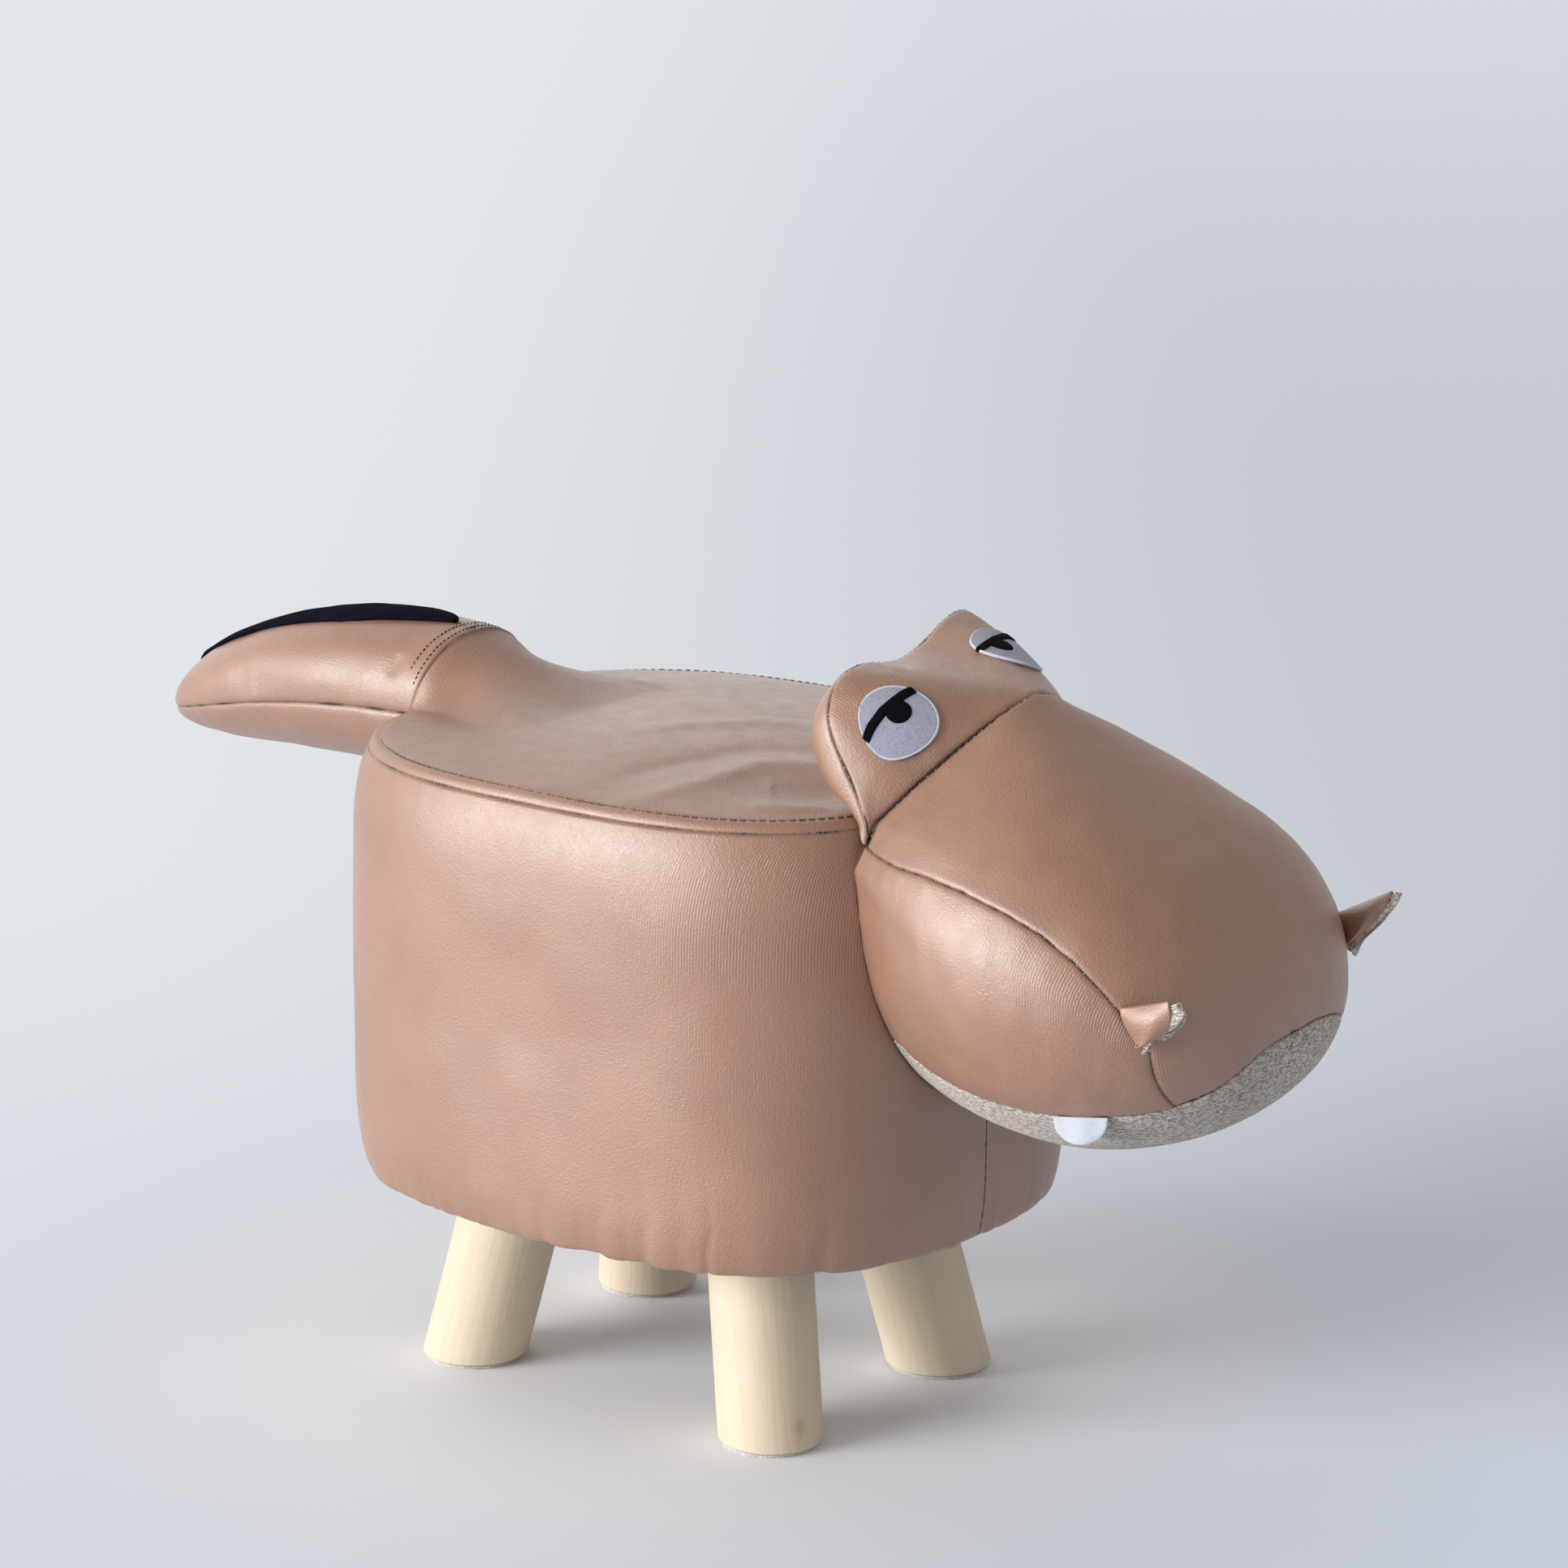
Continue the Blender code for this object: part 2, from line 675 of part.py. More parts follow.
def build_posts():
    """Four softwood posts between the two boards."""
    bottom = BASE_BOARD_BOTTOM + BASE_BOARD + GAP
    top = BODY_TOP - SEAT_FOAM - SEAT_BOARD - GAP
    reach = board_inset() + POST_EDGE_CLEARANCE + POST_SIDE / 2
    places = {
        "post_front": (BODY_HALF_LENGTH - reach, 0),
        "post_rear": (reach - BODY_HALF_LENGTH, 0),
        "post_left": (0, BODY_HALF_WIDTH - reach),
        "post_right": (0, reach - BODY_HALF_WIDTH),
    }
    for name, (x, y) in places.items():
        builder = bmesh.new()
        bmesh.ops.create_cube(builder, size=1.0)
        bmesh.ops.scale(builder, vec=(POST_SIDE, POST_SIDE, top - bottom), verts=builder.verts)
        bmesh.ops.translate(builder, vec=(x, y, (top + bottom) / 2), verts=builder.verts)
        add_object(name, builder, "pine")


# Legs and their fastenings


def leg_centre(side_x, side_y, height):
    """Return the centre of a leg's level section at a height."""
    return Vector((
        LEG_GROUP_SHIFT + side_x * (FOOT_HALF_SPACING_X - LEG_LEAN_X * height),
        side_y * (FOOT_HALF_SPACING_Y - LEG_LEAN_Y * height),
        height,
    ))


def leg_ring(side_x, side_y, height, radius):
    """Return the level section of the raked round leg: an ellipse."""
    lean = Vector((-side_x * LEG_LEAN_X, -side_y * LEG_LEAN_Y))
    along = lean.normalized()
    stretch = math.sqrt(1 + lean.length_squared)
    centre = leg_centre(side_x, side_y, height)
    points = []
    for step in range(LEG_STEPS):
        angle = 2 * math.pi * step / LEG_STEPS
        forward = along * (radius * stretch * math.cos(angle))
        sideways = Vector((-along.y, along.x)) * (radius * math.sin(angle))
        points.append(centre + Vector((*(forward + sideways), 0)))
    return points


def leg_top_height():
    """Return the height at which the legs meet the dust cover."""
    return dust_cover_bottom() - GAP


def dust_cover_bottom():
    """Return the height of the dust cover's lower face."""
    return BODY_BOTTOM + HEM_RISE - GAP - DUST_COVER


def build_leg(tag, side_x, side_y):
    """One leg with its pad, its hanger bolt and the tee nut in the board above."""
    foot = PAD_THICKNESS + GAP
    top = leg_top_height()
    rows = [
        leg_ring(side_x, side_y, foot, LEG_RADIUS - LEG_EDGE_ROUND),
        leg_ring(side_x, side_y, foot + LEG_EDGE_ROUND, LEG_RADIUS),
        leg_ring(side_x, side_y, top, LEG_RADIUS),
    ]
    builder = bmesh.new()
    grid = add_grid(builder, [row + row[:1] for row in rows])
    builder.faces.new(grid[0][:-1])
    builder.faces.new(grid[-1][:-1])
    leg = add_object("leg_" + tag, builder, "pine")
    centre = leg_centre(side_x, side_y, top)
    bolt_bottom = top - BOLT_WOOD_LENGTH
    cut_round_hole(leg, centre[:2], BOLT_RADIUS + BOLT_RUNNING_CLEARANCE, bolt_bottom + CUT_OVERRUN - GAP, top)
    build_pad(tag, side_x, side_y)
    build_bolt(tag, centre, bolt_bottom)
    build_tee_nut(tag, centre)
    return centre


def build_pad(tag, side_x, side_y):
    """The felt pad under a leg."""
    builder = bmesh.new()
    centre = leg_centre(side_x, side_y, PAD_THICKNESS / 2)
    bmesh.ops.create_cone(
        builder, cap_ends=True, segments=LEG_STEPS, radius1=PAD_RADIUS, radius2=PAD_RADIUS,
        depth=PAD_THICKNESS, matrix=Matrix.Translation(centre),
    )
    add_object("leg_pad_" + tag, builder, "pad_felt")


def turned(name, profile, centre, steps, finish):
    """Make a turned piece from a closed profile of radii and heights, by the Screw modifier."""
    mesh = bpy.data.meshes.new(name)
    points = [(radius, 0, height) for radius, height in profile]
    closed = profile[0][0] > 0
    edges = [(index, index + 1) for index in range(len(points) - 1)]
    if closed:
        edges.append((len(points) - 1, 0))
    mesh.from_pydata(points, edges, [])
    mesh.materials.append(make_material(finish))
    item = bpy.data.objects.new(name, mesh)
    STOOL.objects.link(item)
    item.parent = ROOT
    item.location = (centre.x, centre.y, 0)
    screw = item.modifiers.new("turn", "SCREW")
    screw.axis = "Z"
    screw.steps = steps
    screw.render_steps = steps
    screw.use_merge_vertices = True
    screw.merge_threshold = GAP / 30
    screw.use_normal_calculate = True
    screw.use_normal_flip = closed
    screw.use_smooth_shade = False
    return item


def build_bolt(tag, centre, bottom):
    """The hanger bolt: wood thread in the leg, machine thread up into the tee nut."""
    top = BASE_BOARD_BOTTOM + BASE_BOARD + NUT_FLANGE_THICKNESS + GAP
    tip = BOLT_RADIUS / 2
    profile = [
        (0, top),
        (BOLT_RADIUS - tip / 4, top),
        (BOLT_RADIUS, top - tip / 4),
        (BOLT_RADIUS, bottom + 2 * tip),
        (tip / 2, bottom),
        (0, bottom),
    ]
    turned("hanger_bolt_" + tag, profile, centre, BOLT_STEPS, "zinc_steel")


def build_tee_nut(tag, centre):
    """The tee nut: a barrel down in the base board and a flange on top of it."""
    bore = BOLT_RADIUS + BOLT_RUNNING_CLEARANCE
    seat = BASE_BOARD_BOTTOM + BASE_BOARD + GAP
    profile = [
        (NUT_FLANGE_RADIUS, seat + NUT_FLANGE_THICKNESS),
        (NUT_FLANGE_RADIUS, seat),
        (NUT_BARREL_RADIUS, seat),
        (NUT_BARREL_RADIUS, seat - NUT_BARREL_LENGTH),
        (bore, seat - NUT_BARREL_LENGTH),
        (bore, seat + NUT_FLANGE_THICKNESS),
    ]
    turned("tee_nut_" + tag, profile, centre, BOLT_STEPS, "zinc_steel")


def build_base(angles):
    """The legs, and the boards and sheet that they are fastened through."""
    base = build_board(
        "base_board", BASE_BOARD_BOTTOM, BASE_BOARD, board_inset(), "plywood", angles)
    dust = build_board(
        "dust_cover", dust_cover_bottom(), DUST_COVER, BOTTOM_ROUNDING + HEM_TURN - DUST_COVER_LAP,
        "dust_cloth", angles)
    for tag, side_x, side_y in (
            ("front_left", 1, 1), ("front_right", 1, -1), ("rear_left", -1, 1), ("rear_right", -1, -1)):
        centre = build_leg(tag, side_x, side_y)
        barrel = NUT_BARREL_RADIUS + GAP
        cut_round_hole(base, centre[:2], barrel, BASE_BOARD_BOTTOM, BASE_BOARD_BOTTOM + BASE_BOARD)
        cut_round_hole(
            dust, centre[:2], BOLT_RADIUS + BOLT_RUNNING_CLEARANCE, dust_cover_bottom(),
            dust_cover_bottom() + DUST_COVER)


# The head's form


def cheek_seam_angle(share):
    """Return the angle of the seam between snout and cheek at a share of the head's length."""
    for (start, angle), (end, next_angle) in zip(CHEEK_SEAM_SHARES, CHEEK_SEAM_SHARES[1:]):
        if share <= end:
            part = (share - start) / (end - start)
            return angle + (next_angle - angle) * part
    return CHEEK_SEAM_SHARES[-1][1]


def snout_point(share, degrees):
    """Return a point of the snout: a loft of squared ovals that rounds off at the nose."""
    angle = math.radians(degrees)
    closing = rounded_end(share, HEAD_ROUNDING)
    early = (1 - share) ** 2
    if math.sin(angle) >= 0:
        squareness = SNOUT_SQUARENESS + (BROW_SQUARENESS - SNOUT_SQUARENESS) * early
        half_height = through(HEAD_UPPER_HEIGHTS, share)
    else:
        squareness = CHIN_SQUARENESS + (THROAT_SQUARENESS - CHIN_SQUARENESS) * early
        half_height = through(HEAD_UNDER_HEIGHTS, share)
    power = 2 / squareness
    y = -through(HEAD_HALF_WIDTHS, share) * closing * signed_power(math.cos(angle), power)
    z = through(HEAD_AXIS_HEIGHTS, share) + half_height * closing * signed_power(math.sin(angle), power)
    neck = body_end(y, z, STUFFING_RELIEF * (1 + smooth_step((z - NECK_EDGE_HEIGHT) / NECK_EDGE_BLEND)))
    x = neck + (BODY_HALF_LENGTH - neck) * share + HEAD_LENGTH * share
    x += BROW_SLOPE * early * max(0.0, z - BROW_SLOPE_START)
    return Vector((x, y, z))


def rear_brow_point(turn):
    """Return a point of the rear brow seam, from one side of the head to the other."""
    corner = snout_point(0.0, cheek_seam_angle(0.0))
    angle = math.pi * turn
    cosine, sine = math.cos(angle), abs(math.sin(angle))
    reach = (abs(cosine) ** REAR_BROW_SQUARENESS + sine ** REAR_BROW_SQUARENESS) ** (-1 / REAR_BROW_SQUARENESS)
    rise = reach * sine
    half_width = abs(corner.y) + (REAR_BROW_HALF_WIDTH - abs(corner.y)) * smooth_step(rise * 2)
    y = -half_width * reach * cosine
    dip = BROW_SADDLE * math.cos(math.pi * min(1.0, abs(y) / (REAR_BROW_HALF_WIDTH * 0.75)) / 2) ** 2
    z = corner.z + REAR_BROW_RISE * rise + BROW_LEAN * y * rise - dip * rise
    x = corner.x - REAR_BROW_SETBACK * smooth_step((z - corner.z) / REAR_BROW_CLIMB)
    return Vector((x - REAR_BROW_SWEEP * y * rise, y, z))


def brow_point(share, turn):
    """Return a point of the brow panel: 0 at the front seam and 1 at the rear seam."""
    start = cheek_seam_angle(0.0)
    front = snout_point(0.0, start + (180 - 2 * start) * turn)
    rear = rear_brow_point(turn)
    right_swell, left_swell = BROW_SWELLS
    swell = right_swell + (left_swell - right_swell) * smooth_step(turn)
    swell *= 4 * share * (1 - share) * math.sin(math.pi * turn)
    eyes = math.sin(2 * math.pi * turn) ** 2
    outward = Vector((0, front.y + rear.y, REAR_BROW_HALF_WIDTH)).normalized()
    return front.lerp(rear, share) + outward * swell * (0.35 + 0.9 * eyes)


def back_point(share, turn):
    """Return a point of the panel behind the brow: 0 at the seam and 1 on the seat."""
    rear = rear_brow_point(turn)
    corner = snout_point(0.0, cheek_seam_angle(0.0))
    angle = math.pi * turn
    x = corner.x - BACK_SETBACK * math.sin(angle) ** 0.7
    y = -BACK_HALF_WIDTH * signed_power(math.cos(angle), 0.8)
    if turn in (0.0, 1.0):
        base = Vector((corner.x, math.copysign(corner.y, -math.cos(angle)), corner.z))
    else:
        base = Vector((x, y, seat_height(x, y) + EDGE_RELIEF))
        if min(turn, 1 - turn) < EDGE_TURN_SHARE:
            base = Vector((body_end(y, BODY_TOP, EDGE_RELIEF), y, BODY_TOP + EDGE_RELIEF))
    swell = BACK_SWELL * 4 * share * (1 - share) * math.sin(angle) ** 0.6
    outward = Vector((-1.0, 0.5 * y / BACK_HALF_WIDTH, 0.15)).normalized()
    return rear.lerp(base, share) + outward * swell


def head_point(station, turn_or_angle):
    """Return a point of the head, by one running measure: -2 seat, -1 rear seam, 0 rim, 1 nose."""
    if station >= 0:
        return snout_point(min(1.0, station), turn_or_angle)
    start = cheek_seam_angle(0.0)
    turn = (turn_or_angle - start) / (180 - 2 * start)
    turn = min(1.0, max(0.0, turn))
    if station >= -1:
        return brow_point(-station, turn)
    return back_point(min(1.0, -station - 1), turn)


def form_normal(form, first, second, first_step, second_step, first_range, inward):
    """Return the outward normal of a form that two measures place, away from an inner point."""
    low, high = max(first_range[0], first - first_step), min(first_range[1], first + first_step)
    along = form(high, second) - form(low, second)
    around = form(first, second + second_step) - form(first, second - second_step)
    normal = along.cross(around)
    if normal.length == 0:
        return None
    normal.normalize()
    point = form(first, second)
    return normal if normal.dot(point - inward) > 0 else -normal


def head_core():
    """Return a point deep inside the head."""
    middle = through(HEAD_AXIS_HEIGHTS, 0.5)
    return Vector((BODY_HALF_LENGTH + HEAD_LENGTH * 0.3, 0, middle))


def head_sample(station, degrees):
    """Return a point of the head with its normal, which is shared where panels meet."""
    point = head_point(station, degrees)
    core = head_core()
    if station >= 0.9999:
        return point, Vector((1, 0, 0))
    start = cheek_seam_angle(0.0)
    above = start <= degrees <= 180 - start
    low = NECK_EDGE_STATION if above else 0.0
    degrees_inside = min(180 - start - 1.5, max(start + 1.5, degrees)) if station < 0.05 and above else degrees
    normal = form_normal(head_point, station, degrees_inside, 0.02, 1.5, (low, 0.999), core)
    if normal is None:
        normal = (point - core).normalized()
    if not above and station < 0.001:
        normal = Vector((0, normal.y, normal.z)).normalized()
    if station < -1.999:
        normal = Vector((normal.x, normal.y, 0)).normalized()
    for side in (-1, 1):
        corner = snout_point(0.0, start if side < 0 else 180 - start)
        nearness = 1 - smooth_step((point - corner).length / SEAM_CORNER_BLEND)
        shared = Vector((0, side, 0.25)).normalized()
        normal = normal.lerp(shared, nearness).normalized()
    return point, normal


def head_stations():
    """Return the snout's stations: to the end of the cheek seam, then on to the nose."""
    turn_at_cheek = math.asin(CHEEK_SEAM_END_SHARE)
    stations = [math.sin(turn_at_cheek * step / CHEEK_STATIONS) for step in range(CHEEK_STATIONS + 1)]
    rest = math.pi / 2 - turn_at_cheek
    stations += [math.sin(turn_at_cheek + rest * step / NOSE_STATIONS) for step in range(1, NOSE_STATIONS)]
    return stations + [1.0]


def spread(start, end, steps):
    """Return evenly spaced values from a start to an end."""
    return [start + (end - start) * step / steps for step in range(steps + 1)]


def head_patches():
    """Return each of the head's panels as grids of points and normals."""
    mouth = MOUTH_SEAM_ANGLE
    snout, nose, right, left, chin = [], [], [], [], []
    for index, station in enumerate(head_stations()):
        seam = cheek_seam_angle(min(station, CHEEK_SEAM_END_SHARE))
        over = spread(seam, 180 - seam, SNOUT_STEPS)
        near = spread(mouth, seam, CHEEK_STEPS)
        far = [180 - angle for angle in near]
        under = spread(180 - mouth, 360 + mouth, CHIN_STEPS)
        chin.append([head_sample(station, angle) for angle in under])
        if index <= CHEEK_STATIONS:
            snout.append([head_sample(station, angle) for angle in over])
            right.append([head_sample(station, angle) for angle in near])
            left.append([head_sample(station, angle) for angle in far])
        if index >= CHEEK_STATIONS:
            whole = near[:-1] + over + far[-2::-1]
            nose.append([head_sample(station, angle) for angle in whole])
    start = cheek_seam_angle(0.0)
    over = spread(start, 180 - start, SNOUT_STEPS)
    brow_stations = spread(0.0, REAR_SEAM_STATION, BROW_STATIONS)
    back_stations = spread(REAR_SEAM_STATION, NECK_EDGE_STATION, BACK_STATIONS)
    brow = [[head_sample(station, angle) for angle in over] for station in brow_stations]
    back = [[head_sample(station, angle) for angle in over] for station in back_stations]
    return {
        "snout_panel": [snout, nose],
        "cheek_panel_right": [right],
        "cheek_panel_left": [left],
        "chin_panel": [chin],
        "brow_panel": [brow],
        "head_back_panel": [back],
    }


def inner_row(row):
    """Return a patch's row of points moved in to the surface of the filling."""
    return [point - normal * (LEATHER + FILLING_GAP) for point, normal in row]


def mirrored_pairs(row):
    """Return the lower rim as pairs of points that face each other across the head."""
    return list(zip(row[:len(row) // 2 + 1], row[::-1][:len(row) // 2 + 1]))


def build_head():
    """The head's leather panels and the fibre filling inside them."""
    patches = head_patches()
    for name, grids in patches.items():
        finish = "beige_suede" if name == "chin_panel" else "tan_leather"
        panel(name, grids, finish, LEATHER)
    builder = bmesh.new()
    add_filling(builder, [grid for grids in patches.values() for grid in grids])
    # The closing face lies on the body: over the seat's edge and down the front wall.
    first = {name: inner_row(grids[0][0]) for name, grids in patches.items()}
    base_row = inner_row(patches["head_back_panel"][0][-1])
    rim = first["cheek_panel_right"][::-1] + first["chin_panel"][::-1][1:]
    rim += first["cheek_panel_left"][1:]
    closing = [base_row, edge_row(base_row)]
    for near, far in mirrored_pairs(rim):
        closing.append(wall_row(near, far, len(base_row)))
    add_grid(builder, closing)
    return add_object("head_filling", builder, "fibre_fill")


def edge_row(base_row):
    """Return the filling's row along the seat's edge, pinned at the head's two side corners."""
    row = []
    for index, point in enumerate(base_row):
        if index in (0, len(base_row) - 1):
            row.append(point.copy())
            continue
        x = body_end(point.y, BODY_TOP, EDGE_RELIEF)
        row.append(Vector((x, point.y, BODY_TOP + EDGE_RELIEF)))
    return row


def wall_row(near, far, columns):
    """Return a level row of points across the body's front wall between two rim points."""
    row = []
    for index in range(columns):
        share = (1 - math.cos(math.pi * index / (columns - 1))) / 2
        point = near.lerp(far, share)
        if index not in (0, columns - 1):
            point.x = body_end(point.y, point.z, STUFFING_RELIEF)
        row.append(point)
    return row


# Small pieces on the head


def brow_frame(share, turn):
    """Return a point of the brow with its normal and how it runs along its two measures."""
    step = 0.01
    point = brow_point(share, turn)
    along = (brow_point(share + step, turn) - brow_point(share - step, turn)) / (2 * step)
    around = (brow_point(share, turn + step) - brow_point(share, turn - step)) / (2 * step)
    normal = along.cross(around).normalized()
    if normal.dot(point - head_core()) < 0:
        normal = -normal
    return point, normal, along, around


def build_eye(tag):
    """A round embroidered patch that follows the brow."""
    share, turn = EYE_PLACES[tag]
    centre, normal, along, around = brow_frame(share, turn)
    side = along.normalized()
    up = normal.cross(side).normalized()
    rows, normals = [], []
    for ring_share in (1.0, 0.66, 0.33):
        row, row_normals = [], []
        for step in range(LEG_STEPS):
            angle = 2 * math.pi * step / LEG_STEPS
            offset = (side * math.cos(angle) + up * math.sin(angle)) * EYE_RADIUS * ring_share
            first, second = solve_measures(offset, along, around)
            point, local, _, _ = brow_frame(share + first, turn + second)
            row.append(point)
            row_normals.append(local)
        rows.append(row)
        normals.append(row_normals)
    builder = bmesh.new()
    lift, top = GAP, GAP + EYE_THICKNESS
    upper = add_crown(
        builder, [[p + n * top for p, n in zip(*pair)] for pair in zip(rows, normals)], centre + normal * top)
    lower = add_crown(
        builder, [[p + n * lift for p, n in zip(*pair)] for pair in zip(rows, normals)], centre + normal * lift)
    for left in range(len(upper) - 1):
        builder.faces.new((upper[left], lower[left], lower[left + 1], upper[left + 1]))
    add_object("eye_patch_" + tag, builder, "eye_thread")


def solve_measures(offset, along, around):
    """Return the two measures that move a point by an offset in the surface."""
    aa, ab, bb = along.dot(along), along.dot(around), around.dot(around)
    oa, ob = offset.dot(along), offset.dot(around)
    spread_of_both = aa * bb - ab * ab
    return (oa * bb - ob * ab) / spread_of_both, (ob * aa - oa * ab) / spread_of_both


def flap_point(start, along, down, across, share, turn, margin, tapering):
    """Return a point of a folded flap: share runs to its tip, turn from rim over the ridge to rim."""
    depth = abs(turn)
    taper = max(0.05, 1 - share ** tapering)
    drop = (FLAP_DEPTH * (1 + margin / 2) + max(0.0, -turn) * FLAP_INNER_EXTRA * share) * taper
    reach = share * (1 + margin) + max(0.0, -turn) * share * (1 - share) / 4
    gap = FLAP_BASE_HALF_GAP + FLAP_OPENING * math.sin(math.pi * share)
    side = math.copysign(gap * (1 - (1 - depth) ** 4), turn)
    shear_share = FLAP_BASE_SHEAR_SHARES["inner" if turn < 0 else "outer"]
    shear = along.normalized() * (-shear_share * side * (1 - share))
    return start + along * reach + shear + down * (drop * depth) + across * side


def build_flap(tag, side):
    """A petal of leather folded along its ridge, with its lining, at the end of the cheek seam."""
    share = FLAP_SEAM_SHARES[tag]
    seam = snout_point(share, cheek_seam_angle(share))
    forward, outward, up = FLAP_RIDGES[tag]
    along = Vector((forward, side * outward, up))
    down = Vector((FLAP_DROP[0], side * FLAP_DROP[1], FLAP_DROP[2])).normalized()
    across = along.cross(down).normalized()
    if across.y * side < 0:
        across = -across
    start = Vector((seam.x, side * abs(seam.y), seam.z)) + along.normalized() * FLAP_STAND_OFF
    for name, finish, thickness, margin in (
            ("flap_" + tag, "tan_leather", LEATHER, 0.0),
            ("flap_lining_" + tag, "beige_suede", LINING, LINING_MARGIN_SHARES[tag])):
        origin = start + along.normalized() * (FLAP_STAND_OFF / 2 if margin else 0.0)
        turns = (-1.0, -0.62, -0.28, 0.0, 0.28, 0.62, 1.0)
        shares = (0.0, 0.2, 0.4, 0.6, 0.78, 0.92, 1.0)
        rows, normals = [], []
        for share in shares:
            points = [
                flap_point(origin, along, down, across, share, turn, margin, FLAP_TAPERS[tag]) for turn in turns
            ]
            rows.append(points)
            normals.append([fold_normal(points, index, along, across) for index in range(len(points))])
        builder = bmesh.new()
        add_sheet(builder, rows, normals, thickness, -(LEATHER + FILLING_GAP) if margin else 0.0)
        add_object(name, builder, finish)


def fold_normal(points, index, along, across):
    """Return the outward normal of a folded row of points."""
    before, after = points[max(0, index - 1)], points[min(len(points) - 1, index + 1)]
    normal = (after - before).cross(along).normalized()
    middle = len(points) // 2
    outward = across if index > middle else -across
    if index == middle:
        outward = points[middle] - (points[0] + points[-1]) / 2
    return normal if normal.dot(outward) > 0 else -normal


def build_tooth(tag, side):
    """A half-round felt tooth that hangs from the mouth seam."""
    ends = [snout_point(share, MOUTH_SEAM_ANGLE) for share in TOOTH_SEAM_SHARES]
    if side > 0:
        ends = [Vector((end.x, -end.y, end.z)) for end in ends]
    middle = (ends[0] + ends[1]) / 2
    along = (ends[1] - ends[0]) / 2
    down = Vector((0, 0, -along.length))
    outward = Vector((0, side, 0))
    start = middle + outward * (TOOTH_HANG_GAP + TOOTH_THICKNESS / 2) + down * (TOOTH_HANG_GAP / along.length)
    steps = 14
    front = outward * (TOOTH_THICKNESS / 2)
    builder = bmesh.new()
    faces = []
    for offset in (front, -front):
        edge = [
            builder.verts.new(
                start + along * math.cos(math.pi * step / steps) + down * math.sin(math.pi * step / steps) + offset)
            for step in range(steps + 1)
        ]
        builder.faces.new(edge)
        faces.append(edge)
    upper, lower = faces
    for index in range(len(upper)):
        following = (index + 1) % len(upper)
        builder.faces.new((upper[index], upper[following], lower[following], lower[index]))
    add_object("tooth_" + tag, builder, "white_felt")


# The tail


def tail_point(share, degrees):
    """Return a point of the tail: a loft of near-round ovals that rounds off at the tip."""
    angle = math.radians(degrees)
    closing = rounded_end(share, TAIL_ROUNDING)
    power = 2 / TAIL_SQUARENESS
    y = -through(TAIL_HALF_WIDTHS, share) * closing * signed_power(math.cos(angle), power)
    heights = TAIL_UPPER_HEIGHTS if math.sin(angle) >= 0 else TAIL_UNDER_HEIGHTS
    z = through(TAIL_AXIS_HEIGHTS, share)
    z += through(heights, share) * closing * signed_power(math.sin(angle), power)
    collar = body_end(0, BODY_TOP, STUFFING_RELIEF)
    root = tail_root(y, z)
    return Vector((root + (-collar - root) * share - TAIL_LENGTH * share, y, z))


def tail_root(across, height):
    """Return where the tail meets the body: on its rear wall, or on the collar above it."""
    lean = COLLAR_LEAN * max(0.0, height - BODY_TOP)
    return lean - body_end(across, height, STUFFING_RELIEF)


def tail_sample(share, degrees):
    """Return a point of the tail with its outward normal."""
    point = tail_point(share, degrees)
    if share >= 0.9999:
        return point, Vector((-1, 0, 0))
    core = Vector((point.x, 0, through(TAIL_AXIS_HEIGHTS, share)))
    normal = form_normal(tail_point, share, degrees, 0.02, 1.5, (0.0, 0.999), core)
    if share == 0.0:
        normal = Vector((0, normal.y, normal.z)).normalized()
    return point, normal


def tail_stations():
    """Return the tail's stations, closer together towards the tip."""
    return [math.sin(math.pi / 2 * step / TAIL_STATIONS) for step in range(TAIL_STATIONS)] + [1.0]


def tail_patches():
    """Return each of the tail's panels as rows of points and normals."""
    patches = {"tail_upper_right": [], "tail_upper_left": [], "tail_under": []}
    for share in tail_stations():
        seam = through(TAIL_SEAM_ANGLES, share)
        patches["tail_upper_right"].append([tail_sample(share, angle) for angle in spread(seam, 90, TAIL_SIDE_STEPS)])
        left = spread(90, 180 - seam, TAIL_SIDE_STEPS)
        patches["tail_upper_left"].append([tail_sample(share, angle) for angle in left])
        under = spread(180 - seam, 360 + seam, TAIL_UNDER_STEPS)
        patches["tail_under"].append([tail_sample(share, angle) for angle in under])
    return patches


def build_tail():
    """The tail's three leather panels, its filling and the felt strip along its top."""
    patches = tail_patches()
    for name, patch in patches.items():
        panel(name, [patch], "tan_leather", LEATHER)
    builder = bmesh.new()
    add_filling(builder, list(patches.values()))
    rims = {name: inner_row(patch[0]) for name, patch in patches.items()}
    around = rims["tail_upper_right"][::-1] + rims["tail_under"][::-1][1:]
    around += rims["tail_upper_left"][::-1][1:]
    closing = [tail_root_row(near, far) for near, far in mirrored_pairs(around)]
    add_grid(builder, closing)
    add_object("tail_filling", builder, "fibre_fill")
    build_tail_strip()


def tail_root_row(near, far):
    """Return a level row across the tail's root, which lies on the body."""
    columns = 6
    row = []
    for index in range(columns + 1):
        point = near.lerp(far, index / columns)
        if index not in (0, columns):
            point.x = tail_root(point.y, point.z)
        row.append(point)
    return row


